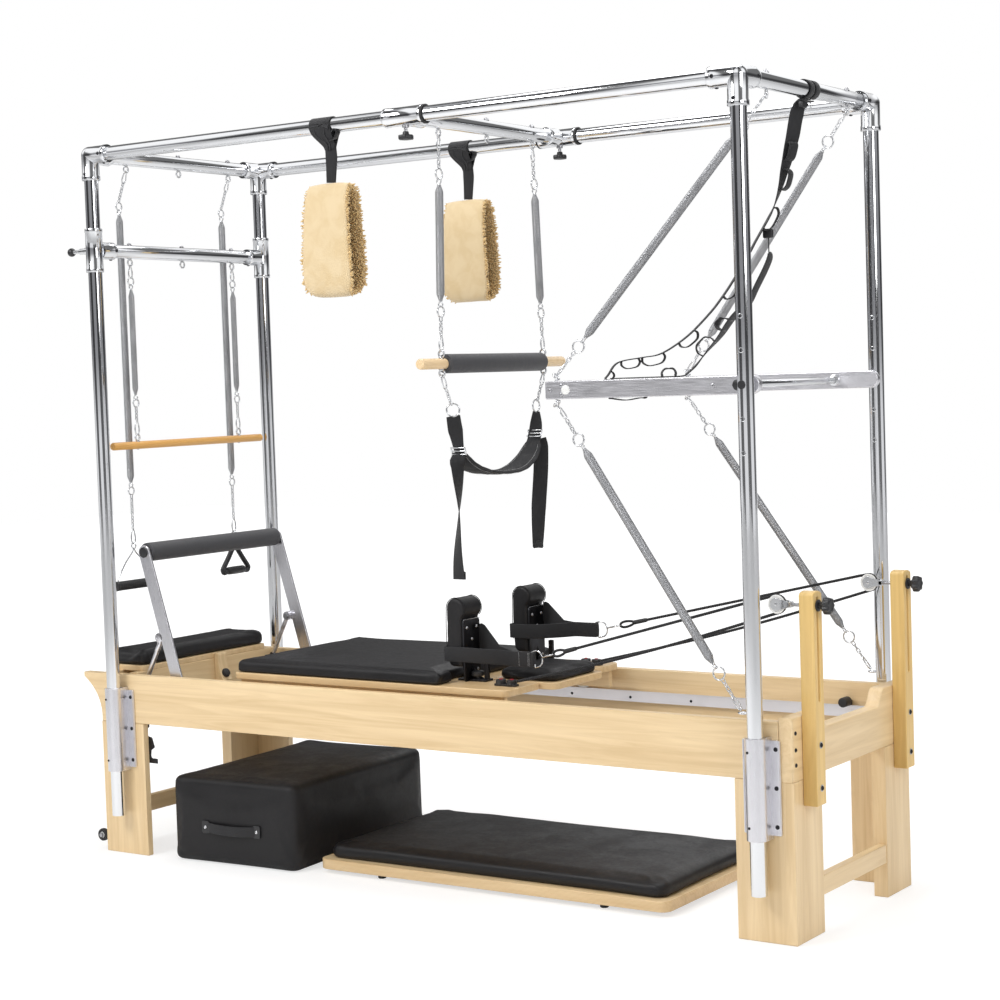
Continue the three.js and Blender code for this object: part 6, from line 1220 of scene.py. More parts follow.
class TABLE_OT_finishes(bpy.types.Operator):
    """Makes every material of the table"""

    bl_idname = "table.finishes"
    bl_label = "Finishes"

    def execute(self, context):
        make_finishes(context.scene.table_colours)
        return {"FINISHED"}


# Wooden bed


def rail_outline():
    return [
        (HEAD_INNER - 0.0003, LEG_TOP + 0.0003),
        (HEAD_INNER - 0.0003, RAIL_TOP),
        (EAR_TIP, RAIL_TOP),
        (EAR_TIP, RAIL_TOP - 0.014),
        *bent(
            (EAR_TIP, RAIL_TOP - 0.014), (FOOT_FACE + 0.007, RAIL_TOP - 0.0675), (FOOT_FACE, LEG_TOP + 0.0003)
        ),
    ]


def bent(start, pull, end, steps=12):
    """Points of a quadratic bend, without its first."""
    made = []
    for i in range(1, steps + 1):
        t = i / steps
        made.append(
            tuple((1 - t) ** 2 * a + 2 * t * (1 - t) * b + t * t * c for a, b, c in zip(start, pull, end))
        )
    return made


def cubic(start, first, second, end, steps=12):
    """Points of a cubic bend, without its first."""
    made = []
    for i in range(1, steps + 1):
        t = i / steps
        shares = ((1 - t) ** 3, 3 * t * (1 - t) ** 2, 3 * t * t * (1 - t), t ** 3)
        made.append(tuple(sum(s * p[k] for s, p in zip(shares, (start, first, second, end))) for k in (0, 1)))
    return made


class TABLE_OT_rails(bpy.types.Operator):
    """Makes the two side rails with their tracks, stops and screws"""

    bl_idname = "table.rails"
    bl_label = "Side rails"

    def execute(self, context):
        edge = context.scene.table_sizes.board_edge
        for side in SIDES:
            low, high = sorted((side * RAIL_IN, side * RAIL_OUT))
            name = side_name(side)
            board = plate([rail_outline()], "XZ", low, high, edge)
            show(name + "_side_rail", board, "maple_X", "bed", [name + "_rail"])
            t0, t1 = sorted((side * TRACK_IN, side * RAIL_IN))
            track = plate([corners(t0, t1, 0.465, 0.495)], "YZ", TRACK_START, HEAD_INNER - 0.0003, 0.0012)
            lip0, lip1 = sorted((side * TRACK_IN, side * 0.3115))
            lip = plate([corners(lip0, lip1, 0.494, 0.4975)], "YZ", TRACK_START, HEAD_INNER - 0.0003, 0.0006)
            show(name + "_track", merged([track, lip]), "aluminium_X", "bed")
            bolts = [
                ((-0.9 + 0.205 * i, side * TRACK_IN, 0.478), (0, -side, 0), 0, 0.0042)
                for i in range(10)
            ]
            show(name + "_track_screws", repeated(button_head(16), bolts, "dark_steel"), None, "bed")
            stop = bar(0.0135, (1.032, side * TRACK_IN, 0.509), (1.032, side * 0.271, 0.509), 0.003)
            f0, f1 = sorted((side * 0.305, side * 0.321))
            foot = plate([rounded(1.024, 1.040, 0.496, 0.512, 0.004)], "XZ", f0, f1, 0.001)
            show(name + "_carriage_stop", merged([stop, foot]), "rubber", "bed")
            outer = [
                ((x, side * RAIL_OUT, z), (0, side, 0), 0.3, 0.0052)
                for x, z in ((1.083, 0.475), (1.083, 0.505), (-1.135, 0.452), (-1.135, 0.520))
            ]
            show(name + "_rail_screws", repeated(button_head(), outer, "dark_steel"), None, "bed")
        return {"FINISHED"}


def leg_plan(face, inward, width, side):
    y = side * RAIL_OUT
    back = face + inward * 0.040
    return [
        (face, y), (face + inward * width, y), (face + inward * width, y - side * 0.020),
        (back, y - side * 0.020), (back, y - side * 0.155), (face, y - side * 0.155),
    ]


class TABLE_OT_end_frames(bpy.types.Operator):
    """Makes the head and foot ends: boards, legs, stretchers, platform, racks and strut seats"""

    bl_idname = "table.end_frames"
    bl_label = "End frames"

    def execute(self, context):
        edge = context.scene.table_sizes.board_edge
        ends = (("head", HEAD_FACE, -1, 0.165), ("foot", FOOT_FACE, 1, 0.176))
        for end, face, inward, width in ends:
            for side in SIDES:
                plan = leg_plan(face, inward, width, side)
                leg = plate([plan], "XY", 0.0, LEG_TOP, edge)
                show(f"{end}_{side_name(side)}_leg", leg, "maple_Z", "bed", [end + "_end_frame"])
            x0, x1 = sorted((face + inward * 0.0015, face + inward * 0.0275))
            stretcher = plate([corners(-0.1955, 0.1955, 0.095, 0.145)], "YZ", x0, x1, edge)
            show(end + "_stretcher", stretcher, "maple_Y", "bed")
        top, low = RAIL_TOP + 0.010, RAIL_TOP - 0.036
        scoop = [
            (-RAIL_OUT, LEG_TOP), (RAIL_OUT, LEG_TOP), (RAIL_OUT, top), (0.2, top),
            *cubic((0.2, top), (0.175, top), (0.175, low), (0.15, low)),
            (-0.15, low),
            *cubic((-0.15, low), (-0.175, low), (-0.175, top), (-0.2, top)),
            (-RAIL_OUT, top),
        ]
        board = plate([scoop], "YZ", HEAD_INNER, HEAD_FACE, 0.004)
        show("head_board", board, "maple_Y", "bed", ["head_end_frame"])
        panel = plate(
            [corners(-0.3217, 0.3217, LEG_TOP - 0.001, 0.5635)], "YZ", FOOT_FACE, FOOT_FACE + 0.040, edge,
        )
        show("foot_panel", panel, "maple_Y", "bed", ["foot_end_frame"])
        wall = plate([corners(-0.3217, 0.3217, 0.430, 0.5625)], "YZ", FOOT_PLATE - 0.030, FOOT_PLATE, edge)
        show("platform_wall", wall, "maple_Y", "bed")
        x0, x1 = FOOT_FACE - 0.036, FOOT_PLATE - 0.001
        shelf = plate([rounded(x0 + 0.001, x1, -0.290, 0.290, 0.018)], "XY", 0.562, 0.580, 0.003)
        show("platform_board", shelf, "ply", "bed")
        gusset = [
            (FOOT_PLATE - 0.0005, 0.580), (FOOT_PLATE - 0.0005, 0.490), (FOOT_PLATE + 0.040, 0.490),
            *bent((FOOT_PLATE + 0.040, 0.490), (FOOT_PLATE + 0.016, 0.517), (FOOT_PLATE + 0.016, 0.580)),
        ]
        block = plate([gusset], "XZ", 0.031, 0.073, edge)
        show("platform_gusset", block, "maple_Z", "bed")
        bumper = lathe(
            [(0, -0.002), (0.014, -0.002), (0.015, 0.003), (0.013, 0.009), (0.007, 0.0125), (0, 0.0135)],
            (FOOT_PLATE + 0.0275, 0.052, 0.513), (1, 0, 0.55), 32,
        )
        show("gusset_bumper", bumper, "rubber", "bed")
        self.racks()
        self.seats()
        head_screws = [
            ((HEAD_FACE, y, z), (1, 0, 0), 0.2, 0.0055)
            for y in (-0.335, 0.335) for z in (0.452, 0.490, 0.532)
        ]
        show("head_board_screws", repeated(button_head(), head_screws, "dark_steel"), None, "bed")
        return {"FINISHED"}

    def racks(self):
        """Steel racks with two hooks on the foot legs."""
        x0, x1, n = -1.061, -0.989, 0.0248
        hook = [
            (x0, 0.286), (x1, 0.286), (x1, 0.286 + n * 0.6),
            *arc(x1 - n * 0.72, 0.286 + n * 0.95, n * 0.36, -70, -200, 8),
            (x1 - n, 0.286 + n * 1.6), (x1 - n * 0.4, 0.286 + n * 2), (x1 - n * 0.8, 0.410 - n * 1.8),
            (x1 - n * 1.7, 0.410 - n * 1.6), (x1 - n * 1.7, 0.410 - n * 0.8), (x1 - n * 1.2, 0.410 - n * 0.5),
            (x1 - n * 1.2, 0.410), (x0, 0.410),
        ]
        for side in SIDES:
            low, high = sorted((side * 0.3295, side * 0.325))
            rack = plate([hook], "XZ", low, high, 0.0012)
            show(side_name(side) + "_hook_rack", rack, "dark_steel", "bed")
            screws = [((-1.045, side * 0.325, z), (0, -side, 0), 0.1, 0.0048) for z in (0.308, 0.388)]
            show(side_name(side) + "_rack_screws", repeated(button_head(), screws, "fastener"), None, "bed")

    def seats(self):
        """Rubber-faced wedges that the footbar's struts stand on."""
        down = (STRUT_FOOT - STRUT_PIVOT).normalized()
        contact = STRUT_FOOT + down * 0.0093
        slope = down.x / down.z
        x0, x1 = FOOT_PLATE - 0.0005, STRUT_FOOT.x + 0.016
        top = [(x, contact.z - (x - contact.x) * slope) for x in (x0, x1)]
        for side in SIDES:
            y = side * STRUT_Y
            wedge = [
                (x0, top[0][1] - 0.0512), (x1, top[1][1] - 0.0192), (x1, top[1][1] - 0.004),
                (x0, top[0][1] - 0.004),
            ]
            block = plate([wedge], "XZ", y - 0.020, y + 0.020, 0.002)
            show(side_name(side) + "_strut_seat", block, "maple_Z", "bed")
            pad = [(x0, top[0][1] - 0.0045), (x1, top[1][1] - 0.0045), (x1, top[1][1]), (x0, top[0][1])]
            show(
                side_name(side) + "_seat_pad", plate([pad], "XZ", y - 0.019, y + 0.019, 0.001), "rubber",
                "bed",
            )


class TABLE_OT_wheels(bpy.types.Operator):
    """Makes the transport wheels and their brackets"""

    bl_idname = "table.wheels"
    bl_label = "Transport wheels"

    def execute(self, context):
        for side in SIDES:
            name = side_name(side)
            centre = Vector((-1.2225, side * 0.3325, 0.046))
            out = Vector((0, side, 0))
            tyre = [
                (0.0105, 0.0005), (0.0165, 0.0005), (0.0188, 0.0022), (0.0195, 0.005), (0.0195, 0.011),
                (0.0188, 0.0138), (0.0165, 0.0155), (0.0105, 0.0155), (0.0105, 0.0005),
            ]
            hub = [
                (0.0043, 0.0015), (0.0075, 0.0015), (0.0085, 0.004), (0.0108, 0.004), (0.0108, 0.012),
                (0.0085, 0.012), (0.0075, 0.0145), (0.0043, 0.0145), (0.0043, 0.0015),
            ]
            wheel = lathe(tyre, centre, out, 64)
            body = name + "_wheel"
            show(name + "_wheel_tyre", wheel, "rubber", body, [name + "_transport_wheel"])
            show(
                name + "_wheel_hub", lathe(hub, centre, out, 48), "white_plastic", body,
            )
            ear = [
                *arc(-1.2225, 0.046, 0.0136, 90, 270, 16),
                (FOOT_FACE + 0.0005, 0.0324), (FOOT_FACE + 0.0005, 0.0596),
            ]
            low, high = sorted((side * 0.330, side * 0.325))
            cheek = plate([ear], "XZ", low, high, 0.0008)
            f0, f1 = sorted((side * 0.330, side * 0.296))
            flange = plate([corners(f0, f1, 0.028, 0.064)], "YZ", FOOT_FACE - 0.003, FOOT_FACE, 0.0008)
            pin = bar(0.004, centre + out * -0.0075, centre + out * 0.0215, 0.0005, 24)
            head = [(0, 0), (0.0072, 0), (0.0072, 0.004), (0.0062, 0.005), (0, 0.005)]
            bolt = lathe(head, centre + out * 0.0163, out, 6, 20)
            show(
                name + "_wheel_bracket", merged([cheek, flange, pin, bolt]), "fastener", "bed",
                ["foot_end_frame"],
            )
        return {"FINISHED"}


# Tube frame


class TABLE_OT_uprights(bpy.types.Operator):
    """Makes the four uprights, with the row of holes at the head end, and the two top rails"""

    bl_idname = "table.uprights"
    bl_label = "Uprights and rails"

    def execute(self, context):
        for side in SIDES:
            for end in SIDES:
                x, y = end * POST_X, side * POST_Y
                name = f"{side_name(side)}_{'head' if end > 0 else 'foot'}_upright"
                tube = pipe(TUBE - 0.002, TUBE, (x, y, FOOT_Z), (x, y, 2.1177), 0.0006, 64)
                show(name + "_tube", tube, "chrome", "bed", [name])
                plug = [(0, 0), (0.0188, 0), (0.0192, 0.001), (0.0188, 0.006), (0, 0.006)]
                cap = lathe(plug, (x, y, FOOT_Z + 0.001), Z, 48)
                show(name + "_cap", cap, "plastic", "bed")
                if end > 0:
                    self.holes(name, x, y)
            y = side * POST_Y
            rail = bar(TUBE, (-TOP_REACH, y, TOP_Z), (TOP_REACH, y, TOP_Z), 0.0006, 64)
            show(
                side_name(side) + "_top_tube", rail, "chrome", "bed", [side_name(side) + "_top_rail"],
            )
        return {"FINISHED"}

    def holes(self, name, x, y):
        """The adjustment holes for the bar's pivot: a rim round each hole, and in each a dark disc that is
        painted shade inside the bore.
        """
        rows = []
        for i in (-2, -1, 1, 2):
            z = PUSH_Z + i * HOLE_PITCH
            rows += [((x, y + way * (TUBE - 0.0016), z), (0, way, 0), 0, 1) for way in SIDES]
        lip = [
            (0.0046, 0.0010), (0.0052, 0.0021), (0.0062, 0.0019), (0.0068, 0.0008), (0.0046, 0.0004),
            (0.0046, 0.0010),
        ]
        rim = lathe(lip, (0, 0, 0), Z, 24)
        show(name + "_hole_rims", repeated(rim, rows, "satin_chrome"), None, "bed")
        # A dark steel disc just under the surface of each hole: painted shade inside the bore.
        plug = lathe([(0, 0.0002), (0.0046, 0.0002), (0.0048, 0.0013), (0, 0.0013)], (0, 0, 0), Z, 20)
        show(name + "_hole_bores", repeated(plug, rows, "dark_steel"), None, "bed")


def cross_tube(x, z):
    """The bare tube of a bar across the frame, between its two fittings."""
    return bar(TUBE, (x, -CROSS_HALF, z), (x, CROSS_HALF, z), 0.0006, 64)


def branch(x, y, z, side):
    """The sleeve of a sliding fitting that holds the end of its bar."""
    profile = [
        (0, 0.0225), (0.0256, 0.0225), (0.0256, 0.060), (0.0263, 0.0625), (0.0263, 0.0745),
        (0.0256, 0.076), (0, 0.076),
    ]
    return lathe(profile, (x, y, z), (0, -side, 0), 64)


def wooden_bar(x, z, half, r):
    """A round wooden bar with eased ends."""
    profile = [
        (0, -half), (r - 0.004, -half), (r - 0.0012, -half + 0.0012), (r, -half + 0.004),
        (r, half - 0.004), (r - 0.0012, half - 0.0012), (r - 0.004, half), (0, half),
    ]
    return lathe(profile, (x, 0, z), Y, 56)


def hanging_eyes(x, z, places, facing=X):
    """Eye bolts below a bar."""
    return merged([eye_bolt((x, y, z), (0, 0, -1), facing) for y in places])


def top_nuts(x, z, places, size=0.0068):
    """The nuts of the eye bolts, on top of their bar."""
    rows = [((x, y, z + TUBE - 0.0005), (0, 0, 1), 0.4, size) for y in places]
    return repeated(hexagon_nut(), rows, "fastener")


def socket_rim(start, way, reach, radius=0.0262):
    """One way of a cast fitting: a sleeve with a raised rim."""
    profile = [
        (0, 0), (radius, 0), (radius, reach - 0.016), (radius + 0.0012, reach - 0.0135),
        (radius + 0.0013, reach - 0.002), (radius + 0.0004, reach), (0.0216, reach),
        (0.0214, reach - 0.004), (0, reach - 0.004),
    ]
    return lathe(profile, start, way, 64)


class TABLE_OT_fittings(bpy.types.Operator):
    """Makes the end bars with their three-way corner fittings, set screws, eyes and nuts"""

    bl_idname = "table.fittings"
    bl_label = "Corner fittings"

    def execute(self, context):
        for end in SIDES:
            name = "head" if end > 0 else "foot"
            x = end * POST_X
            tube = cross_tube(x, TOP_Z)
            show(name + "_top_tube", tube, "chrome", "bed", [name + "_top_bar"])
            screws = []
            for side in SIDES:
                corner = Vector((x, side * POST_Y, TOP_Z))
                ways = (Vector((-end, 0, 0)), Vector((0, -side, 0)), Vector((0, 0, -1)))
                parts = [globe(0.0264, corner, 48, 24)] + [socket_rim(corner, way, 0.076) for way in ways]
                fitting = merged(parts)
                show(f"{name}_{side_name(side)}_corner", fitting, "chrome", "bed")
                for i, way in enumerate(ways):
                    out = -ways[(i + 1) % 2] if i < 2 else -ways[1]
                    screws.append((corner + way * 0.058 + out * 0.0262, out, 0.2, 0.0052))
                screws.append((corner + ways[0] * 0.058 + Vector((0, 0, -0.0262)), -Z, 0.1, 0.0052))
            show(name + "_set_screws", repeated(button_head(), screws, "dark_steel"), None, "bed")
            self.eyes(name, x, (-EYE_Y, EYE_Y) if end > 0 else THREE_EYES, end)
        return {"FINISHED"}

    def eyes(self, name, x, places, end):
        facing = X if end < 0 else Vector((0.75, 0.66, 0))
        show(name + "_bar_eyes", hanging_eyes(x, TOP_EYE, places, facing), "satin_chrome", "bed")
        show(name + "_bar_nuts", top_nuts(x, TOP_Z, places), None, "bed")


class TABLE_OT_clamps(bpy.types.Operator):
    """Makes the four extruded clamp brackets with their bolts"""

    bl_idname = "table.clamps"
    bl_label = "Clamp brackets"

    def execute(self, context):
        for side in SIDES:
            for end in SIDES:
                name = f"{side_name(side)}_{'head' if end > 0 else 'foot'}_clamp"
                x, face, axis = end * POST_X, side * 0.3503, side * POST_Y
                outer, bore = 0.0273, 0.0213
                sleeve = pipe(bore, outer, (x, axis, 0.266), (x, axis, 0.523), 0.0008, 64)
                low, high = sorted((face, face + side * 0.006))
                wing = plate([rounded(x - 0.052, x + 0.052, 0.275, 0.514, 0.004)], "XZ", low, high, 0.001)
                web = []
                for way in SIDES:
                    points = [
                        (x + way * 0.0275, face), (x + way * 0.0275, axis - side * 0.004),
                        (x + way * 0.0215, axis - side * 0.004), (x + way * 0.0185, face + side * 0.0135),
                        (x + way * 0.0185, face),
                    ]
                    web.append(plate([points], "XY", 0.266, 0.523, 0.0008))
                ribs = []
                for way in SIDES:
                    x0, x1 = sorted((x + way * 0.0505, x + way * 0.0485))
                    y0, y1 = sorted((face + side * 0.0055, face + side * 0.0085))
                    ribs.append(plate([corners(x0, x1, y0, y1)], "XY", 0.277, 0.512, 0.0004))
                show(
                    name + "_body", merged([sleeve, wing, *web, *ribs]), "aluminium_Z", "bed", [name],
                )
                rows = [
                    ((x + way * 0.0405, face + side * 0.006, z), (0, side, 0), 0.3, 0.0058)
                    for way in SIDES
                    for z in (0.297, 0.3945, 0.492)
                ]
                show(name + "_bolts", repeated(button_head(), rows, "dark_steel"), None, "bed")
                pinch = [
                    ((x - 0.010, axis + side * 0.0262, z), (-0.35, side, 0), 0, 0.0036)
                    for z in (0.300, 0.489)
                ]
                show(name + "_pinch_screws", repeated(button_head(16), pinch, "dark_steel"), None, "bed")
        return {"FINISHED"}


# Springs and what they hang on


def linked_spring(top, bottom, coil_start, coil_length, radius, ring, wire):
    """Meshes of one spring: hooks at its ends, rings beside the coil, chains between."""
    top, bottom = Vector(top), Vector(bottom)
    way = (bottom - top).normalized()
    whole = (bottom - top).length
    coil_end = coil_start + coil_length
    facing = way.cross(X if abs(way.x) < 0.5 else Y).normalized()

    def at(distance):
        return top + way * distance

    coil = wound(at(coil_start), at(coil_end), radius, wire)
    steel = []
    for place, out in ((coil_start, -1), (coil_end, 1)):
        steel.append(bar(radius * 0.34, at(place - out * 0.009), at(place + out * 0.004), 0.001, 20))
        steel.append(small_ring(at(place + out * 0.0095), facing))
        steel.append(hoop(ring, 0.0023, at(place + out * (RING_GAP + ring)), facing.cross(way), 36, 12))
    far = RING_GAP + 2 * ring
    ends = ((0.0, coil_start - far), (coil_end + far, whole))
    links = []
    for low, high in ends:
        first, last = at(low), at(high)
        along, length = (last - first).normalized(), (last - first).length
        if length <= SHORTEST_CHAIN:
            steel.append(snap_hook(first - way * 0.004, last + way * 0.004))
        elif low > 0:
            links.append(chain(first, last - along * HOOK_LENGTH))
            steel.append(snap_hook(last - along * 0.042, last + along * 0.006))
        else:
            middle = first + along * min(HOOK_LENGTH, length * 0.45)
            steel.append(snap_hook(first - along * 0.006, middle))
            links.append(chain(middle, last))
    return coil, merged(steel), merged(links) if links else None


def small_ring(place, axis):
    """The ring that ties a coil to the next link."""
    return hoop(0.0072, 0.0019, place, axis, 28, 10)


def show_spring(name, body, made):
    coil, steel, links = made
    show(name + "_coil", coil, "spring", body, [name])
    show(name + "_hooks", steel, "satin_chrome", body)
    if links:
        show(name + "_chain", links, "satin_chrome", body)


def push_eyes(side):
    """Where the springs of one side hook on: roof, arm above, arm below, upright."""
    return (
        Vector((POST_X, side * EYE_Y, ROOF_EYE_Z)),
        Vector((PUSH_EYE_X, side * PUSH_ARM_Y, PUSH_Z + ARM_HALF + EYE_RING + EYE_WIRE)),
        Vector((PUSH_EYE_X, side * PUSH_ARM_Y, PUSH_Z - ARM_HALF - EYE_RING - EYE_WIRE)),
        Vector((POST_X - TUBE - EYE_RING - EYE_WIRE, side * POST_Y, 0.583)),
    )


class TABLE_OT_push_springs(bpy.types.Operator):
    """Makes the four springs of the push-through bar and the lower eyes"""

    bl_idname = "table.push_springs"
    bl_label = "Push-through springs"

    def execute(self, context):
        wire = context.scene.table_sizes.spring_wire
        for side in SIDES:
            roof, above, below, floor = push_eyes(side)
            for place, first, last, share in (("upper", roof, above, 0.73), ("lower", below, floor, 0.71)):
                way = (last - first).normalized()
                top, bottom = first + way * LINK_REACH, last - way * LINK_REACH
                length = (bottom - top).length
                coil = length * share
                made = linked_spring(top, bottom, (length - coil) / 2, coil, SPRING, 0.0165, wire)
                name = f"{side_name(side)}_{place}_push_spring"
                ends = (roof, above) if place == "upper" else (floor, below)
                show_spring(name, ("bed", "push_bar", *ends), made)
            plate_eye = eye_bolt(floor, (-1, 0, 0), (0, 0, 1), 0.004)
            show(side_name(side) + "_lower_eye", plate_eye, "satin_chrome", "bed")
        return {"FINISHED"}


class TABLE_OT_bed_springs(bpy.types.Operator):
    """Makes the bar below the platform and the four springs that pull the carriage"""

    bl_idname = "table.bed_springs"
    bl_label = "Carriage springs"

    def execute(self, context):
        x, z, y = -0.985, 0.450, 0.3210
        beam = plate([rounded(x - 0.013, x + 0.013, z - 0.007, z + 0.007, 0.003)], "XZ", -y, y, 0.001)
        show("spring_bar", beam, "dark_steel", "bed", ["carriage_springs"])
        coils, steel = [], []
        for i in range(4):
            across = (i - 1.5) * 0.086
            start = Vector((x, across, z))
            end = Vector((CARRIAGE_X0 + 0.0176, across, z + 0.022))
            way = (end - start).normalized()
            coils.append(wound(start + way * 0.034, end - way * 0.030, 0.0108, 0.0012))
            steel.append(bar(0.0036, start, start + way * 0.036, 0.0006, 16))
            steel.append(bar(0.0036, end - way * 0.032, end, 0.0006, 16))
            steel.append(hoop(0.0062, 0.0018, start + way * 0.0235, Y, 24, 10))
            steel.append(hoop(0.0062, 0.0018, end - way * 0.0200, Y, 24, 10))
        body = ("bed", "carriage", (x + 0.01, 0, z), (CARRIAGE_X0 + 0.01, 0, z))
        show("carriage_coils", merged(coils), "spring", body)
        show("carriage_hooks", merged(steel), "satin_chrome", body)
        return {"FINISHED"}


class TABLE_OT_hanging_springs(bpy.types.Operator):
    """Makes the springs of the trapeze and of the roll-down bar"""

    bl_idname = "table.hanging_springs"
    bl_label = "Hanging springs"

    def execute(self, context):
        wire = context.scene.table_sizes.spring_wire
        for side in SIDES:
            name = side_name(side) + "_trapeze_spring"
            low_y = 0.245 + EYE_RING + EYE_WIRE
            top = Vector((SLIDER_X, side * EYE_Y, ROOF_EYE_Z - LINK_REACH))
            bottom = Vector((SLIDER_X, side * low_y, TRAPEZE_Z + 0.015 + EYE_RING + EYE_WIRE + LINK_REACH))
            made = linked_spring(top, bottom, top.z - 1.974, 0.322, SPRING, 0.0153, wire)
            show_spring(name, ("trapeze_hanger", "trapeze", top, bottom), made)
            name = side_name(side) + "_roll_down_spring"
            eye = CROSSBAR_Z - TUBE - EYE_RING - EYE_WIRE
            top = Vector((-POST_X, side * EYE_Y, eye - LINK_REACH))
            bottom = Vector((-POST_X, side * EYE_Y, ROLL_Z + 0.012 + EYE_RING + EYE_WIRE + LINK_REACH))
            made = linked_spring(top, bottom, top.z - 1.746, 0.325, SPRING * 0.8, 0.012, wire * 0.9)
            show_spring(name, ("roll_down_hanger", "roll_down", top, bottom), made)
        return {"FINISHED"}


class TABLE_OT_handles(bpy.types.Operator):
    """Makes the long springs at the foot end, the wire handle and the moulded handle"""

    bl_idname = "table.handles"
    bl_label = "Handles"

    def execute(self, context):
        wire = context.scene.table_sizes.spring_wire
        for side in SIDES:
            name, y = side_name(side), side * EYE_Y
            top, bottom = (HANDLE_X, y, 1.96), (HANDLE_X, y, 1.02)
            body = (name + "_handle_hanger", name + "_grip", top, bottom)
            eye = Vector((-POST_X, y, ROOF_EYE_Z))
            high = Vector((HANDLE_X, y, 1.980))
            way = (high + Vector((0, 0, 0.028)) - eye).normalized()
            steel = [snap_hook(eye + way * 0.003, eye + way * 0.046)]
            links = [chain(eye + way * 0.042, high + Vector((0, 0, 0.0395)))]
            steel.append(hoop(0.012, 0.0023, high + Z * 0.0262, X, 32, 12))
            steel.append(small_ring(high + Z * 0.0085, Y))
            low = Vector((HANDLE_X, y, 1.980 - 0.833))
            steel.append(small_ring(low - Z * 0.0085, Y))
            steel.append(hoop(0.012, 0.0023, low - Z * 0.0262, X, 32, 12))
            for place in (high - Z * 0.006, low - Z * 0.004):
                steel.append(bar(0.0038, place, place + Z * 0.010, 0.001, 20))
            links.append(chain(low - Z * 0.0395, Vector((HANDLE_X, y, 1.000))))
            steel.append(snap_hook((HANDLE_X, y, 1.003), (HANDLE_X, y, 0.953)))
            coil = wound(high, low, SPRING * 0.95, wire)
            show_spring(name + "_handle_spring", body, (coil, merged(steel), merged(links)))
        self.wire_handle()
        self.moulded_handle()
        return {"FINISHED"}

    def wire_handle(self):
        y, top, low = -EYE_Y, HANDLE_TOP, HANDLE_LOW
        ring = hoop(EYE_RING, 0.0024, (HANDLE_X, y, top + EYE_RING), Y, 32, 12)
        wires = []
        for way in SIDES:
            path = curved(
                [
                    (HANDLE_X, y + way * 0.002, top + 0.002), (HANDLE_X, y + way * 0.006, top - 0.010),
                    (HANDLE_X, y + way * 0.040, 0.896), (HANDLE_X, y + way * 0.071, 0.852),
                    (HANDLE_X, y + way * 0.0745, low + 0.006),
                ], 6,
            )
            wires.append(sweep(path, 0.0022, 10))
        show("front_handle_wires", merged([ring, *wires]), "satin_chrome", "front_grip")
        ridges = [(0, 0), (0.0115, 0), (0.0135, 0.002)]
        for i in range(20):
            d = 0.006 + i * 0.00815
            ridges += [(0.0138, d), (0.0146, d + 0.0016), (0.0146, d + 0.0048), (0.0138, d + 0.0064)]
        ridges += [(0.0135, 0.168), (0.0115, 0.170), (0, 0.170)]
        grip = lathe(ridges, (HANDLE_X, y - 0.085, low), Y, 48)
        show("front_handle_grip", grip, "rubber", "front_grip", ["front_handle"])
        caps = [
            bar(0.0152, (HANDLE_X, y + way * 0.078, low), (HANDLE_X, y + way * 0.0862, low), 0.0015, 40)
            for way in SIDES
        ]
        show("front_handle_caps", merged(caps), "plastic", "front_grip")

    def moulded_handle(self):
        y, top, low = EYE_Y, HANDLE_TOP, HANDLE_LOW
        ring = hoop(EYE_RING, 0.0024, (HANDLE_X, y, top + EYE_RING), Y, 32, 12)
        show("back_handle_ring", ring, "satin_chrome", "back_grip")
        apex = top - 0.039
        line = [(HANDLE_X + 0.002, y, top + 0.0022), (HANDLE_X, y, top - 0.006), (HANDLE_X, y, apex - 0.002)]
        web = strap(curved(line, 6), Y, 0.0255, 0.0042)
        show("back_handle_strap", web, "webbing", "back_grip")
        seam = [(HANDLE_X + 0.0023, y + d, top - 0.012) for d in (-0.009, -0.003, 0.003, 0.009)]
        show("back_handle_stitches", stitched(seam), None, "back_grip")
        half = 0.064
        path = curved(
            [
                (HANDLE_X, y + 0.010, apex), (HANDLE_X, y + half * 0.52, (apex + low) / 2 + 0.006),
                (HANDLE_X, y + half * 0.93, low + 0.010),
                (HANDLE_X, y + half * 0.96, low + 0.002), (HANDLE_X, y + half * 0.86, low - 0.005),
                (HANDLE_X, y + half * 0.5, low),
                (HANDLE_X, y, low), (HANDLE_X, y - half * 0.5, low), (HANDLE_X, y - half * 0.86, low - 0.005),
                (HANDLE_X, y - half * 0.96, low + 0.002), (HANDLE_X, y - half * 0.93, low + 0.010),
                (HANDLE_X, y - half * 0.52, (apex + low) / 2 + 0.006), (HANDLE_X, y - 0.010, apex),
                (HANDLE_X, y, apex + 0.002),
            ], 5,
        )
        frame_part = sweep(path[:-1], 0.0082, 16, closed=True)
        grip = lathe(
            [
                (0, 0), (0.0095, 0), (0.0125, 0.006), (0.0128, 0.020), (0.0132, 0.042), (0.0128, 0.064),
                (0.0125, 0.078), (0.0095, 0.084), (0, 0.084),
            ],
            (HANDLE_X, y - 0.042, low), Y, 40,
        )
        show(
            "back_handle_frame", merged([frame_part, grip]), "plastic", "back_grip", ["back_handle"],
        )


# Upholstery


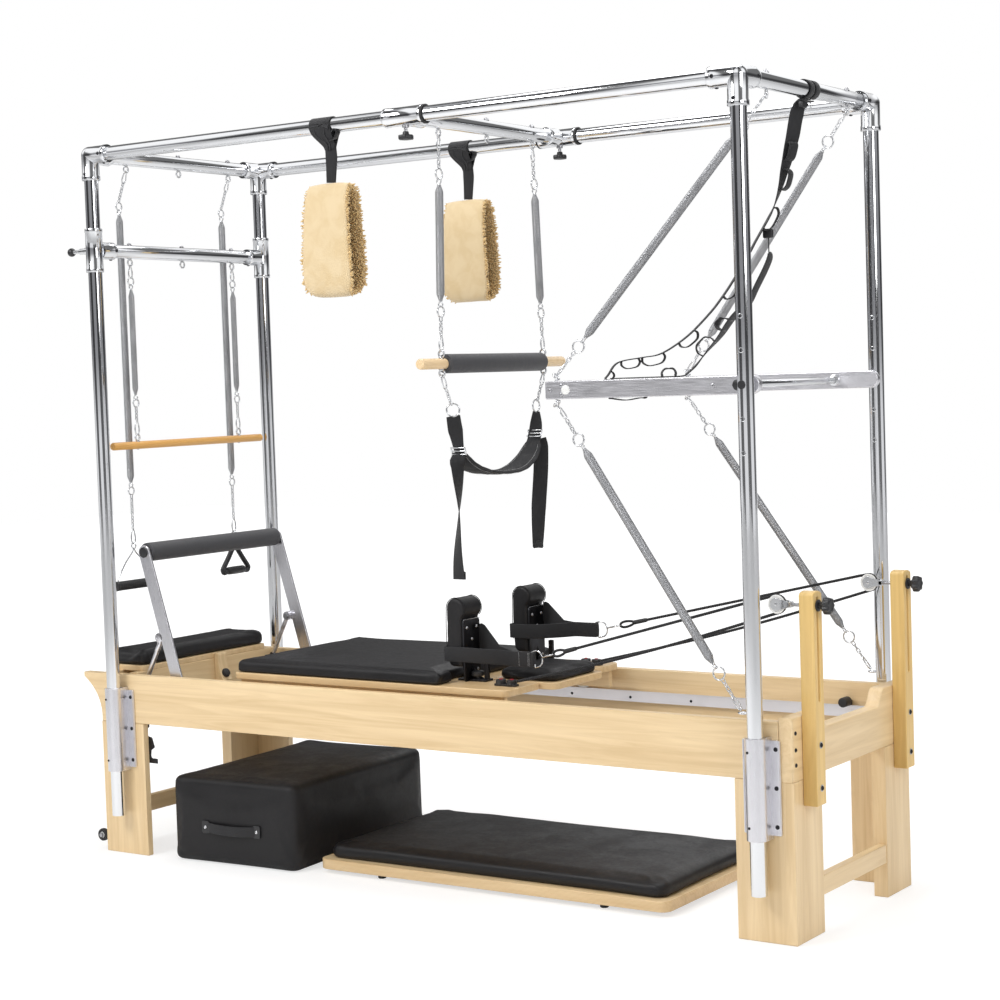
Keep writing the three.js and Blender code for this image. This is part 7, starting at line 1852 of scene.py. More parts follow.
def pad_outline(x0, x1, y0, y1, corner, draw):
    """A rectangle with round corners whose sides pull in between them."""
    middle = ((x0 + x1) / 2, (y0 + y1) / 2)
    half = ((x1 - x0) / 2, (y1 - y0) / 2)
    dense = []
    points = rounded(x0, x1, y0, y1, corner, 7)
    for (u0, v0), (u1, v1) in zip(points, points[1:] + points[:1]):
        count = max(1, round(math.hypot(u1 - u0, v1 - v0) / 0.03))
        dense += [(u0 + (u1 - u0) * i / count, v0 + (v1 - v0) * i / count) for i in range(count)]
    made = []
    for u, v in dense:
        a, b = (u - middle[0]) / half[0], (v - middle[1]) / half[1]
        pull_u = math.copysign(draw, a) * abs(a) ** 4 * (1 - b * b)
        pull_v = math.copysign(draw, b) * abs(b) ** 4 * (1 - a * a)
        made.append((u - pull_u, v - pull_v))
    return made


def edge_distance(u, v, outline):
    """How far a point in the plane is from an outline."""
    best = math.inf
    for (u0, v0), (u1, v1) in zip(outline, outline[1:] + outline[:1]):
        du, dv = u1 - u0, v1 - v0
        t = max(0.0, min(1.0, ((u - u0) * du + (v - v0) * dv) / (du * du + dv * dv + 1e-12)))
        best = min(best, math.hypot(u - u0 - du * t, v - v0 - dv * t))
    return best


def fine(mesh, voxel):
    """The mesh with even small faces."""
    holder = bpy.data.objects.new("fine", mesh)
    bpy.context.scene.collection.objects.link(holder)
    remesh = holder.modifiers.new("Even", "REMESH")
    remesh.mode = "VOXEL"
    remesh.voxel_size = voxel
    depsgraph = bpy.context.evaluated_depsgraph_get()
    made = bpy.data.meshes.new_from_object(holder.evaluated_get(depsgraph))
    bpy.data.objects.remove(holder)
    return made


def softened(mesh, rounds, levels=0):
    """The mesh relaxed, and subdivided."""
    holder = bpy.data.objects.new("soft", mesh)
    bpy.context.scene.collection.objects.link(holder)
    smooth = holder.modifiers.new("Relax", "SMOOTH")
    smooth.factor = 0.5
    smooth.iterations = rounds
    if levels:
        finer = holder.modifiers.new("Finer", "SUBSURF")
        finer.levels = finer.render_levels = levels
    depsgraph = bpy.context.evaluated_depsgraph_get()
    made = bpy.data.meshes.new_from_object(holder.evaluated_get(depsgraph))
    bpy.data.objects.remove(holder)
    for face in made.polygons:
        face.use_smooth = True
    return made


def inflated(mesh, held, cap, pressure=4.0):
    """The mesh blown up as cloth, each point moved no further than cap, and "held" points kept."""
    holder = bpy.data.objects.new("cloth", mesh)
    scene = bpy.context.scene
    scene.collection.objects.link(holder)
    before = [p.co.copy() for p in mesh.vertices]
    group = holder.vertex_groups.new(name="held")
    for i, place in enumerate(before):
        weight = held(place)
        if weight > 0:
            group.add([i], weight, "REPLACE")
    cloth = holder.modifiers.new("Cloth", "CLOTH")
    settings = cloth.settings
    settings.use_pressure = True
    settings.uniform_pressure_force = pressure
    settings.effector_weights.gravity = 0
    settings.vertex_group_mass = "held"
    settings.tension_stiffness = settings.compression_stiffness = 25
    settings.shear_stiffness = 10
    settings.bending_stiffness = 2
    cloth.point_cache.frame_start, cloth.point_cache.frame_end = 1, 20
    for step in range(1, 21):
        scene.frame_set(step)
    depsgraph = bpy.context.evaluated_depsgraph_get()
    made = bpy.data.meshes.new_from_object(holder.evaluated_get(depsgraph))
    for point, old in zip(made.vertices, before):
        move = point.co - old
        if move.length > cap:
            point.co = old + move * (cap / move.length)
    bpy.data.objects.remove(holder)
    scene.frame_set(1)
    return made


def cushion(outline, z0, height, round_edge, crown, seed, voxel=0.006, hollow=0.0):
    """A firm pad: round edges, a crowned top, shallow dents and puckers at its lower edge."""
    body = plate([outline], "XY", z0, z0 + height - crown, round_edge, 4)
    form = fine(body, voxel)
    form = inflated(form, lambda place: 1.0 if place.z < z0 + height * 0.12 else 0.0, 0.006)
    ceiling = z0 + height
    for point in form.vertices:
        u, v, w = point.co
        share = max(0.0, min(1.0, (w - z0) / (height - crown)))
        depth = edge_distance(u, v, outline)
        lift = crown * (1 - math.exp(-depth / 0.055)) * share ** 2
        broad = noise.noise(Vector((u * 9, v * 9, seed)))
        small = noise.noise(Vector((u * 23, v * 23, seed + 4)))
        soft = broad * 0.5 + small * 0.25
        dent = soft * hollow * share * (1 - math.exp(-depth / 0.03))
        wrinkle = noise.noise(Vector((u * 60, v * 60, seed + 9)))
        pleat = wrinkle * 0.0011 * math.exp(-depth / 0.004) * (1 - share) ** 2
        point.co = (u + pleat, v + pleat, min(ceiling, w + lift + dent))
    return softened(form, 3, 1)


class TABLE_OT_platform_pad(bpy.types.Operator):
    """Makes the pad of the foot platform"""

    bl_idname = "table.platform_pad"
    bl_label = "Platform pad"

    def execute(self, context):
        outline = pad_outline(FOOT_PLATE - 0.1655, FOOT_PLATE - 0.0005, -0.2895, 0.2895, 0.028, 0.003)
        pad = cushion(outline, 0.5804, 0.047, 0.014, 0.006, 3.0, 0.005, 0.0012)
        piece = show("platform_pad", pad, "vinyl", "bed", ["foot_platform_pad"])
        return {"FINISHED"}


class TABLE_OT_cushions(bpy.types.Operator):
    """Makes the carriage cushion and the headrest"""

    bl_idname = "table.cushions"
    bl_label = "Carriage cushion and headrest"

    def execute(self, context):
        x0, x1, y = CARRIAGE_X0 + 0.001, 0.071, 0.2985
        bite = REST_BACK - REST_PAD - 0.008
        notched = self.notched(x0, x1, y, bite)
        pad = cushion(notched, CARRIAGE_TOP + 0.0004, 0.0385, 0.013, 0.004, 11.0, 0.006, 0.0013)
        piece = show("carriage_pad", pad, "vinyl", "carriage", ["carriage_cushion"])
        board = plate([rounded(0.1382, 0.3538, -0.1288, 0.1288, 0.022)], "XY", 0.5622, CARRIAGE_TOP, 0.0025)
        show("headrest_board", board, "ply", "headrest", ["headrest"])
        outline = pad_outline(0.1495, 0.3425, -0.1175, 0.1175, 0.026, 0.002)
        pad = cushion(outline, CARRIAGE_TOP - 0.0002, 0.0345, 0.012, 0.005, 17.0, 0.005, 0.001)
        piece = show("headrest_pad", pad, "vinyl", "headrest")
        return {"FINISHED"}

    def notched(self, x0, x1, y, bite):
        """The cushion's outline with a bite for each shoulder rest."""
        low, high = REST_Y - BITE_HALF, REST_Y + BITE_HALF
        turns = [
            (x0, -y, 0.028), (x1, -y, 0.010), (x1, -high, 0.008), (bite, -high, 0.008),
            (bite, -low, 0.008), (x1, -low, 0.010), (x1, low, 0.010), (bite, low, 0.008),
            (bite, high, 0.008), (x1, high, 0.008), (x1, y, 0.010), (x0, y, 0.028),
        ]
        made = []
        count = len(turns)
        for i, (u, v, radius) in enumerate(turns):
            here = Vector((u, v))
            before = (Vector(turns[i - 1][:2]) - here).normalized()
            after = (Vector(turns[(i + 1) % count][:2]) - here).normalized()
            start, end = here + before * radius, here + after * radius
            made += [tuple(start)] + bent(tuple(start), (u, v), tuple(end), 6)
        return made


class TABLE_OT_box(bpy.types.Operator):
    """Makes the sitting box with its seams and strap handle"""

    bl_idname = "table.box"
    bl_label = "Sitting box"

    def execute(self, context):
        turn = Matrix.Translation((-0.703, 0.010, 0)) @ Matrix.Rotation(math.radians(3), 4, "Z")
        w, l, h = 0.475 / 2 - 0.001, 0.700 / 2 - 0.001, 0.262
        outline = pad_outline(-w, w, -l, l, 0.030, 0.004)
        body = plate([outline], "XY", 0.0006, h - 0.004, 0.020, 5)
        form = fine(body, 0.0085)
        form = inflated(form, lambda place: 1.0 if place.z < 0.02 else 0.0, 0.004, 3.0)
        for point in form.vertices:
            u, v, z = point.co
            depth = edge_distance(u, v, outline)
            top = max(0.0, min(1.0, (z - 0.18) / 0.06))
            lift = 0.0045 * (1 - math.exp(-depth / 0.05)) * top
            seam = -0.0018 * math.exp(-((z - 0.232) / 0.0035) ** 2) * math.exp(-depth / 0.02)
            way = Vector((u / w, v / l, 0)).normalized()
            broad, small = (noise.noise(Vector((u * k, v * k, z * k))) for k in (8, 24))
            soft = broad * 0.0014 + small * 0.0004
            out = seam + soft * 0.5
            point.co = (u + way.x * out, v + way.y * out, min(h, z + lift + soft * 0.4 * top))
        form = softened(form, 2, 1)
        form.transform(turn)
        piece = show("box_body", form, "box_vinyl", "box", ["sitting_box"])
        self.handle(turn, l)
        self.glides(turn, w, l)
        return {"FINISHED"}

    def handle(self, turn, l):
        z, half, stand = 0.113, 0.095, 0.012
        face = -l - 0.0006
        path = curved(
            [
                (-half - 0.012, face - 0.001, z), (-half, face - 0.002, z),
                (-half * 0.8, face - 0.007, z - 0.001),
                (-half * 0.4, face - stand, z - 0.003), (0, face - stand - 0.0005, z - 0.004),
                (half * 0.4, face - stand, z - 0.003), (half * 0.8, face - 0.007, z - 0.001),
                (half, face - 0.002, z), (half + 0.012, face - 0.001, z),
            ], 6,
        )
        band = strap(path, Z, 0.030, 0.0034)
        band.transform(turn)
        show("box_handle", band, "webbing", "box")
        rows, plates = [], []
        for way in SIDES:
            x = way * (half + 0.002)
            outline = rounded(x - 0.013, x + 0.013, z - 0.019, z + 0.019, 0.006)
            plates.append(plate([outline], "XZ", face - 0.0052, face - 0.0018, 0.0008))
            rows.append(((x, face - 0.0052, z), (0, -1, 0), 0.2, 0.0052))
        holders = merged(plates)
        holders.transform(turn)
        show("box_handle_plates", holders, "plastic", "box")
        screws = repeated(button_head(), rows, "satin_chrome")
        screws.transform(turn)
        show("box_handle_screws", screws, None, "box")

    def glides(self, turn, w, l):
        feet = []
        for x in (0.05 - w, w - 0.05):
            for y in (0.05 - l, l - 0.05):
                feet.append(bar(0.012, (x, y, 0), (x, y, 0.0012), 0.0004, 24))
        made = merged(feet)
        made.transform(turn)
        show("box_glides", made, "rubber", "box")


class TABLE_OT_board(bpy.types.Operator):
    """Makes the padded board on its plywood base"""

    bl_idname = "table.board"
    bl_label = "Padded board"

    def execute(self, context):
        turn = Matrix.Translation((0.180, 0.031, 0)) @ Matrix.Rotation(math.radians(0.8), 4, "Z")
        w, l = 0.585, 0.304
        base = plate([rounded(-w, w, -l, l, 0.030, 10)], "XY", 0.013, 0.043, 0.0028)
        base.transform(turn)
        show("board_base", base, "ply", "board", ["padded_board"])
        outline = pad_outline(-w + 0.015, w - 0.015, -l + 0.015, l - 0.015, 0.040, 0.004)
        pad = cushion(outline, 0.0432, 0.047, 0.017, 0.007, 23.0, 0.0085, 0.0018)
        pad.transform(turn)
        piece = show("board_pad", pad, "vinyl", "board")
        feet = []
        for sx in SIDES:
            for sy in SIDES:
                x, y = sx * 1.17 * 0.32, sy * (l - 0.030)
                foot = [(0, 0), (0.010, 0), (0.012, 0.002), (0.0125, 0.0125), (0, 0.0125)]
                feet.append(lathe(foot, (x, y, 0), Z, 32))
        made = merged(feet)
        made.transform(turn)
        show("board_feet", made, "rubber", "board")
        return {"FINISHED"}


# Carriage


class TABLE_OT_carriage(bpy.types.Operator):
    """Makes the carriage board with its skirts, rollers, cleats and the steel feet of the rests"""

    bl_idname = "table.carriage"
    bl_label = "Carriage"

    def execute(self, context):
        edge = context.scene.table_sizes.board_edge
        x0, x1, cut, gap = CARRIAGE_X0, CARRIAGE_X1, 0.134, 0.133
        plan = [
            *arc(x0 + 0.022, -0.278, 0.022, 180, 270, 8), *arc(x1 - 0.022, -0.278, 0.022, 270, 360, 8),
            *arc(x1 - 0.008, -gap - 0.008, 0.008, 0, 90, 5),
            *arc(cut + 0.006, -gap + 0.006, 0.006, 270, 180, 5),
            *arc(cut + 0.006, gap - 0.006, 0.006, 180, 90, 5),
            *arc(x1 - 0.008, gap + 0.008, 0.008, 270, 360, 5),
            *arc(x1 - 0.022, 0.278, 0.022, 0, 90, 8), *arc(x0 + 0.022, 0.278, 0.022, 90, 180, 8),
        ]
        board = plate([plan], "XY", 0.562, CARRIAGE_TOP, edge)
        show("carriage_board", board, "ply", "carriage", ["carriage_frame"])
        skirts = []
        for side in SIDES:
            low, high = sorted((side * 0.284, side * 0.266))
            skirts.append(plate([corners(x0 + 0.018, x1 - 0.018, 0.510, 0.5625)], "XZ", low, high, edge))
        for x in (x0 + 0.018, 0.080):
            skirts.append(plate([corners(-0.2665, 0.2665, 0.510, 0.5625)], "YZ", x, x + 0.018, edge))
        show("carriage_skirts", merged(skirts), "maple_X", "carriage")
        self.rollers()
        for side in SIDES:
            self.rest_foot(side)
            self.cleat(side)
        knuckles = [
            pipe(0.0009, 0.0019, (0.136, y - 0.032, 0.5802), (0.136, y + 0.032, 0.5802), 0.0002, 20)
            for y in (-0.0645, 0.0645)
        ]
        show("headrest_knuckles", merged(knuckles), "satin_chrome", "carriage")
        return {"FINISHED"}

    def rollers(self):
        tread, hubs = [], []
        for side in SIDES:
            for x in (-0.551, 0.163):
                centre = Vector((x, side * 0.309, 0.5265))
                out = Vector((0, side, 0))
                tread.append(lathe(
                    [
                        (0.006, 0), (0.026, 0), (0.0305, 0.0015), (0.0308, 0.005), (0.0305, 0.0085),
                        (0.026, 0.010), (0.006, 0.010), (0.006, 0),
                    ],
                    centre, out, 48,
                ))
                hubs.append(bar(0.004, (x, side * 0.2655, 0.5265), (x, side * 0.321, 0.5265), 0.0006, 20))
        show("carriage_rollers", merged(tread), "white_plastic", "carriage")
        show("carriage_axles", merged(hubs), "fastener", "carriage")

    def rest_foot(self, side):
        y, z = side * REST_Y, CARRIAGE_TOP
        half = 0.040
        outline = rounded(REST_BACK - 0.036, REST_BACK + 0.062, y - half * 0.5, y + half * 0.5, 0.005)
        base = plate([outline], "XY", z - 0.0002, z + 0.006, 0.0012)
        back = plate(
            [rounded(y - half, y + half, z - 0.0002, z + 0.176, 0.010)], "YZ", REST_BACK,
            REST_BACK + 0.006, 0.0012,
        )
        toe = (REST_BACK + 0.055, z + 0.005)
        curve = bent(toe, (REST_BACK + 0.012, z + 0.012), (REST_BACK + 0.005, z + 0.060))
        web = plate([[(REST_BACK + 0.005, z + 0.005), toe, *curve]], "XZ", y - 0.003, y + 0.003, 0.0008)
        outline = rounded(REST_BACK + 0.047, REST_BACK + 0.061, z + 0.004, z + 0.076, 0.003)
        post = plate([outline], "XZ", y - 0.005, y + 0.005, 0.001)
        show(
            side_name(side) + "_rest_foot", merged([base, back, web, post]), "dark_steel", "carriage",
        )
        knob = lathe(
            [
                (0, 0), (0.006, 0), (0.006, 0.008), (0.0175, 0.009), (0.0185, 0.012), (0.0180, 0.020),
                (0.0150, 0.0225), (0, 0.0235),
            ],
            (REST_BACK + 0.025, y + side * 0.004, z + 0.006), Z, 40,
        )
        show(side_name(side) + "_rest_knob", knob, "plastic", "carriage")
        holes = ((-0.024, 0.152), (0.024, 0.152), (0.0, 0.118), (0.024, 0.030))
        screws = [((REST_BACK + 0.006, y + w, z + h), (1, 0, 0), 0, 0.0048) for w, h in holes]
        show(side_name(side) + "_rest_screws", repeated(button_head(), screws, "fastener"), None, "carriage")

    def cleat(self, side):
        y, z, x = side * CLEAT_Y, CARRIAGE_TOP, 0.215
        base = plate(
            [rounded(x, x + 0.072, y - 0.012, y + 0.012, 0.006)], "XY", z - 0.0002, z + 0.0062, 0.001,
        )
        cams = []
        for i in range(2):
            place = x + 0.072 * (i + 0.5) / 2
            profile = [(0, 0.004), (0.0145, 0.004)]
            for k in range(4):
                d = 0.0052 + k * 0.0026
                profile += [(0.0150, d), (0.0140, d + 0.0013)]
            profile += [(0.0148, 0.0158), (0.0135, 0.0172), (0.006, 0.018), (0, 0.018)]
            cams.append(lathe(profile, (place, y, z), Z, 40))
        show(side_name(side) + "_cleat", merged([base, *cams]), "plastic", "carriage")
        cap = [(0, 0.0170), (0.0052, 0.0170), (0.0056, 0.0185), (0.0045, 0.0198), (0, 0.0202)]
        caps = [lathe(cap, (x + 0.072 * (i + 0.5) / 2, y, z), Z, 32) for i in range(2)]
        show(side_name(side) + "_cleat_caps", merged(caps), "red_plastic", "carriage")


class TABLE_OT_shoulder_rests(bpy.types.Operator):
    """Makes the shoulder rests' rolled pads, their straps and rings"""

    bl_idname = "table.shoulder_rests"
    bl_label = "Shoulder rests"

    def execute(self, context):
        for side in SIDES:
            name = side_name(side)
            self.pad(name, side)
            self.strap(name, side)
        return {"FINISHED"}

    def pad(self, name, side):
        back, y = REST_BACK - 0.0003, side * REST_Y
        front, low = back - REST_PAD, CARRIAGE_TOP + 0.042
        roll_z = low + REST_HEIGHT - REST_ROLL
        roll_x = REST_BACK + 0.013 - REST_ROLL
        outline = [
            *bent((front + 0.0035, low + 0.022), (front + 0.0045, low), (front + 0.024, low), 8),
            (back, low), (back, roll_z - 0.036),
            *bent((back, roll_z - 0.036), (back + 0.0005, roll_z - 0.028), (back, roll_z - 0.0255), 4),
            *arc(roll_x, roll_z, REST_ROLL, -52, 185, 34)[1:],
            *bent(
                (roll_x - 0.0319, roll_z - 0.0028), (front - 0.0042, low + 0.078),
                (front + 0.0035, low + 0.022), 14,
            ),
        ]
        body = plate([outline], "XZ", y - 0.0465, y + 0.0465, 0.009, 4)
        form = fine(body, 0.0042)
        form = inflated(
            form, lambda place: 1.0 if place.x > back - 0.006 and place.z < roll_z else 0.0, 0.003, 4.0
        )
        for point in form.vertices:
            u, v, w = point.co
            fold = noise.noise(Vector((u * 30, v * 12, w * 30))) * 0.0006
            x = u + fold
            if w < roll_z - 0.027:
                x = min(x, back)
            point.co = (x, v, w)
        form = softened(form, 2, 1)
        piece = show(name + "_rest_pad", form, "vinyl", "carriage", [name + "_shoulder_rest"])
        seams = []
        for way in SIDES:
            line = [(u, y + way * 0.0415, w) for u, w in outline[14:60]]
            seams.append(sweep(line, 0.0011, 8))
        show(name + "_rest_seams", merged(seams), "piping", "carriage")
        lip_z = roll_z - 0.0302
        lip = bar(
            0.0011, (REST_BACK + 0.0068, y - 0.040, lip_z), (REST_BACK + 0.0068, y + 0.040, lip_z),
            0.0003, 10,
        )
        show(name + "_rest_lip", lip, "satin_chrome", "carriage")

    def strap(self, name, side):
        y, z = side * REST_Y, strap_height(side)
        centre, pull = strap_ring(side)
        close = centre - pull * 0.0165
        half = 0.0475 + 0.0022
        front = REST_BACK - REST_PAD - 0.0055
        drop = close.z - z
        for s in SIDES:
            path = [
                (front, y + s * 0.002, z), (front + 0.0003, y + s * half * 0.72, z),
                (front + 0.0058, y + s * half, z), (REST_BACK + 0.014, y + s * half, z),
                (REST_BACK + 0.060, y + s * half * 0.80, z + drop * 0.25),
                (REST_BACK + 0.106, y + s * half * 0.40, z + drop * 0.62),
                (REST_BACK + 0.143, y + s * 0.0034, close.z),
                (REST_BACK + 0.180, y + s * 0.0024, close.z),
                (close.x - 0.001, close.y + s * 0.0024, close.z),
            ]
            line = curved(path, 7)
            part = "outer" if s == side else "inner"
            band = strap(line, Z, 0.042, 0.0034)
            show(f"{name}_rest_strap_{part}", band, "webbing", "carriage")
        turn_in = hoop(0.0040, 0.0019, close + pull * 0.0005, Z, 24, 8)
        turn_in.transform(
            Matrix.Translation(close) @ Matrix.Diagonal((1, 1, 10.5, 1)) @ Matrix.Translation(-close)
        )
        show(name + "_strap_fold", turn_in, "webbing", "carriage")
        gusset = [
            (REST_BACK + 0.0066, z - 0.018), (REST_BACK + 0.0066, z + 0.078), (REST_BACK + 0.018, z + 0.080),
            (REST_BACK + 0.030, z + 0.076), (REST_BACK + 0.092, z + 0.026 + drop * 0.6),
            (REST_BACK + 0.150, close.z + 0.0195), (REST_BACK + 0.150, close.z - 0.0195),
            (REST_BACK + 0.060, z - 0.020),
        ]
        web = plate([gusset], "XZ", y - 0.0015, y + 0.0015, 0.0007)
        for point in web.vertices:
            point.co.y += 0.25 * (REST_BACK + 0.150 - point.co.x)
        show(name + "_strap_gusset", web, "felt", "carriage")
        rows = []
        for way in SIDES:
            face = close.y + way * 0.0043
            for back in (0.012, 0.016, 0.046):
                rows.append(stitched(
                    [(close.x - back, face, close.z - 0.0175), (close.x - back, face, close.z + 0.0175)],
                    0.0036, 0.0025, 0.00036, "dark_thread",
                ))
        show(name + "_strap_stitches", merged(rows), None, "carriage")
        axis = Vector((pull.y, -pull.x, 0)).normalized()
        show(name + "_strap_ring", self.d_ring(centre, pull, axis), "satin_chrome", "carriage")

    def d_ring(self, centre, pull, axis):
        """A welded D ring, its straight side in the strap."""
        across = axis.cross(pull).normalized()
        points = []
        for a in (math.pi * i / 18 for i in range(19)):
            points.append(centre + pull * (0.0185 * math.sin(a) - 0.002) + across * (0.0222 * math.cos(a)))
        low = centre - pull * 0.0160
        points += [low + across * v for v in (-0.0222, -0.020, -0.010, 0, 0.010, 0.020, 0.0222)]
        return sweep(points, 0.0021, 12, closed=True)


# Risers, pulleys and ropes


def turned(start, rows, point, count, crease):
    """A closed body of rings, each point placed by its row and its angle."""
    start = Vector(start)
    form = bmesh.new()
    rings = []
    for row in rows:
        angles = (2 * math.pi * i / count for i in range(count))
        rings.append([form.verts.new(start + Vector(point(*row, a))) for a in angles])
    for low, high in zip(rings, rings[1:]):
        for i in range(count):
            j = (i + 1) % count
            form.faces.new((low[i], low[j], high[j], high[i]))
    form.faces.new(rings[0])
    form.faces.new(rings[-1])
    return mesh_of(form, crease)


class TABLE_OT_risers(bpy.types.Operator):
    """Makes the riser posts with their slots and screws, the pulleys in their yokes and the knobs"""

    bl_idname = "table.risers"
    bl_label = "Riser posts and pulleys"

    def execute(self, context):
        for side in SIDES:
            name = side_name(side)
            self.post(name, side)
            self.block(name, side)
            self.pulley(name, side)
        return {"FINISHED"}

    def post(self, name, side):
        y, low, top = side * PULLEY_Y, 0.345, 0.885
        shoulder = top - 0.015
        left, right = y - 0.025, y + 0.025
        outline = [
            (left, low), (right, low), (right, shoulder),
            *cubic((right, shoulder), (right, top), (left, top), (left, shoulder), 18),
        ]
        slot = [*arc(y, 0.862, 0.005, 0, 180, 10), *arc(y, 0.610, 0.005, 180, 360, 10)]
        post = plate([outline, slot], "YZ", HEAD_FACE + 0.0003, HEAD_FACE + 0.040, 0.003)
        show(name + "_riser", post, "riser", "bed", [name + "_riser_post"])
        disc = [(0.003, 0), (0.0088, 0), (0.0088, 0.0008), (0.003, 0.0012), (0.003, 0)]
        washers = [lathe(disc, (HEAD_FACE + 0.040, y, z), X, 32) for z in (0.388, 0.496)]
        show(name + "_riser_washers", merged(washers), "fastener", "bed")
        screws = [((HEAD_FACE + 0.0408, y, z), (1, 0, 0), 0.3, 0.0062) for z in (0.388, 0.496)]
        show(name + "_riser_screws", repeated(button_head(), screws, "dark_steel"), None, "bed")

    def block(self, name, side):
        y = side * PULLEY_Y
        body = name + "_riser"
        cheeks = []
        for way in SIDES:
            low, high = sorted((y + way * 0.0073, y + way * 0.0096))
            end = PULLEY_X + 0.040
            round_ = ((PULLEY_X + u, PULLEY_Z + v) for u, v in arc(0, 0, 0.0165, 55, 305, 24))
            outline = [*round_, (end, PULLEY_Z - 0.0062), (end, PULLEY_Z + 0.0062)]
            cheeks.append(plate([outline], "XZ", low, high, 0.0006))
        outline = rounded(y - 0.0096, y + 0.0096, PULLEY_Z - 0.0075, PULLEY_Z + 0.0075, 0.003)
        bridge = plate([outline], "YZ", PULLEY_X + 0.030, PULLEY_X + 0.0405, 0.001)
        axle = bar(0.0038, (PULLEY_X, y - 0.0112, PULLEY_Z), (PULLEY_X, y + 0.0112, PULLEY_Z), 0.0005, 24)
        show(name + "_pulley_yoke", merged([*cheeks, bridge, axle]), "satin_chrome", body)
        stud = bar(0.0046, (PULLEY_X + 0.038, y, PULLEY_Z), (1.2485, y, PULLEY_Z), 0.0005, 24)
        profile = [(0.0048, 0), (0.0125, 0), (0.0125, 0.0018), (0.0048, 0.0022), (0.0048, 0)]
        inner = lathe(profile, (1.1868, y, PULLEY_Z), X, 32)
        show(name + "_riser_stud", merged([stud, inner]), "fastener", body)
        face = (1.2302, y, PULLEY_Z)
        disc = [
            (0.005, 0.0003), (0.0150, 0.0003), (0.0152, 0.002), (0.0146, 0.004), (0.005, 0.0042),
            (0.005, 0.0003),
        ]
        washer = lathe(disc, face, X, 40)
        collar = [
            (0.0047, 0.004), (0.0083, 0.004), (0.0083, 0.015), (0.0105, 0.0185), (0.0047, 0.0185),
            (0.0047, 0.004),
        ]
        stem = lathe(collar, face, X, 40)
        show(name + "_riser_washer", merged([washer, stem]), "plastic", body)
        knob = self.knob((1.2478, y, PULLEY_Z))
        show(name + "_riser_knob", knob, "plastic", body, [name + "_riser_block"])

    def knob(self, start):
        """A seven-lobed knob with a domed, recessed face."""
        rows = [
            (0.55, 0), (0.9, 0.0005), (0.98, 0.002), (1, 0.005), (1, 0.014),
            (0.97, 0.0175), (0.88, 0.0196), (0.62, 0.0200), (0.58, 0.0186), (0.3, 0.0184),
        ]

        def point(share, depth, a):
            lobe = 0.905 + 0.095 * math.cos(7 * a) if share > 0.8 else 0.93
            r = 0.0219 * share * lobe
            return (depth, r * math.cos(a), r * math.sin(a))

        return turned(start, rows, point, 84, 50)

    def pulley(self, name, side):
        y = side * PULLEY_Y
        profile = [
            (0.0045, -0.0068), (0.0105, -0.0068), (0.0115, -0.0055), (0.0195, -0.0055), (0.0205, -0.0068),
            (0.0238, -0.0066), (0.0240, -0.0052),
            (0.0205, -0.0032), (0.0185, -0.0018), (0.0180, 0), (0.0185, 0.0018), (0.0205, 0.0032),
            (0.0240, 0.0052), (0.0238, 0.0066), (0.0205, 0.0068), (0.0195, 0.0055), (0.0115, 0.0055),
            (0.0105, 0.0068), (0.0045, 0.0068), (0.0045, -0.0068),
        ]
        wheel = lathe(profile, (PULLEY_X, y, PULLEY_Z), Y, 64)
        body = name + "_pulley_wheel"
        show(name + "_pulley_sheave", wheel, "white_plastic", body, [name + "_pulley"])


def strap_height(side):
    """Height of the middle of a shoulder strap."""
    return CARRIAGE_TOP + (0.079 if side < 0 else 0.105)


def strap_ring(side):
    """The middle of the ring on a shoulder strap, and the way that its rope pulls."""
    lift = -0.006 if side < 0 else 0.010
    centre = Vector((REST_BACK + 0.230, side * (REST_Y + 0.004), strap_height(side) + lift))
    goal = Vector((PULLEY_X, side * PULLEY_Y, PULLEY_Z + SHEAVE))
    return centre, (goal - centre).normalized()


def rope_route(side):
    """The rope's points: from its splice over the pulley to the cleat."""
    centre, pull = strap_ring(side)
    first = centre + pull * 0.112
    last = Vector((0.2873, side * CLEAT_Y, CARRIAGE_TOP + 0.0143))
    axle = Vector((PULLEY_X, side * PULLEY_Y, PULLEY_Z))
    up = math.pi / 2 + math.atan2(axle.z - first.z, axle.x - first.x)
    down = math.atan2(axle.z - last.z, axle.x - last.x) - math.pi / 2
    turns = (up + (down - up) * i / 20 for i in range(21))
    round_ = [axle + Vector((math.cos(a), 0, math.sin(a))) * SHEAVE for a in turns]
    upper = round_[0] + Vector((-math.sin(up), 0, math.cos(up))) * 0.024
    lower = round_[-1] + Vector((math.sin(down), 0, -math.cos(down))) * 0.024
    straight = [first.lerp(upper, i / 24) for i in range(24)]
    lead = [lower.lerp(last, s) - Z * 0.0108 * math.sin(math.pi * s) for s in (i / 28 for i in range(29))]
    return [*straight, upper, *round_, *lead]


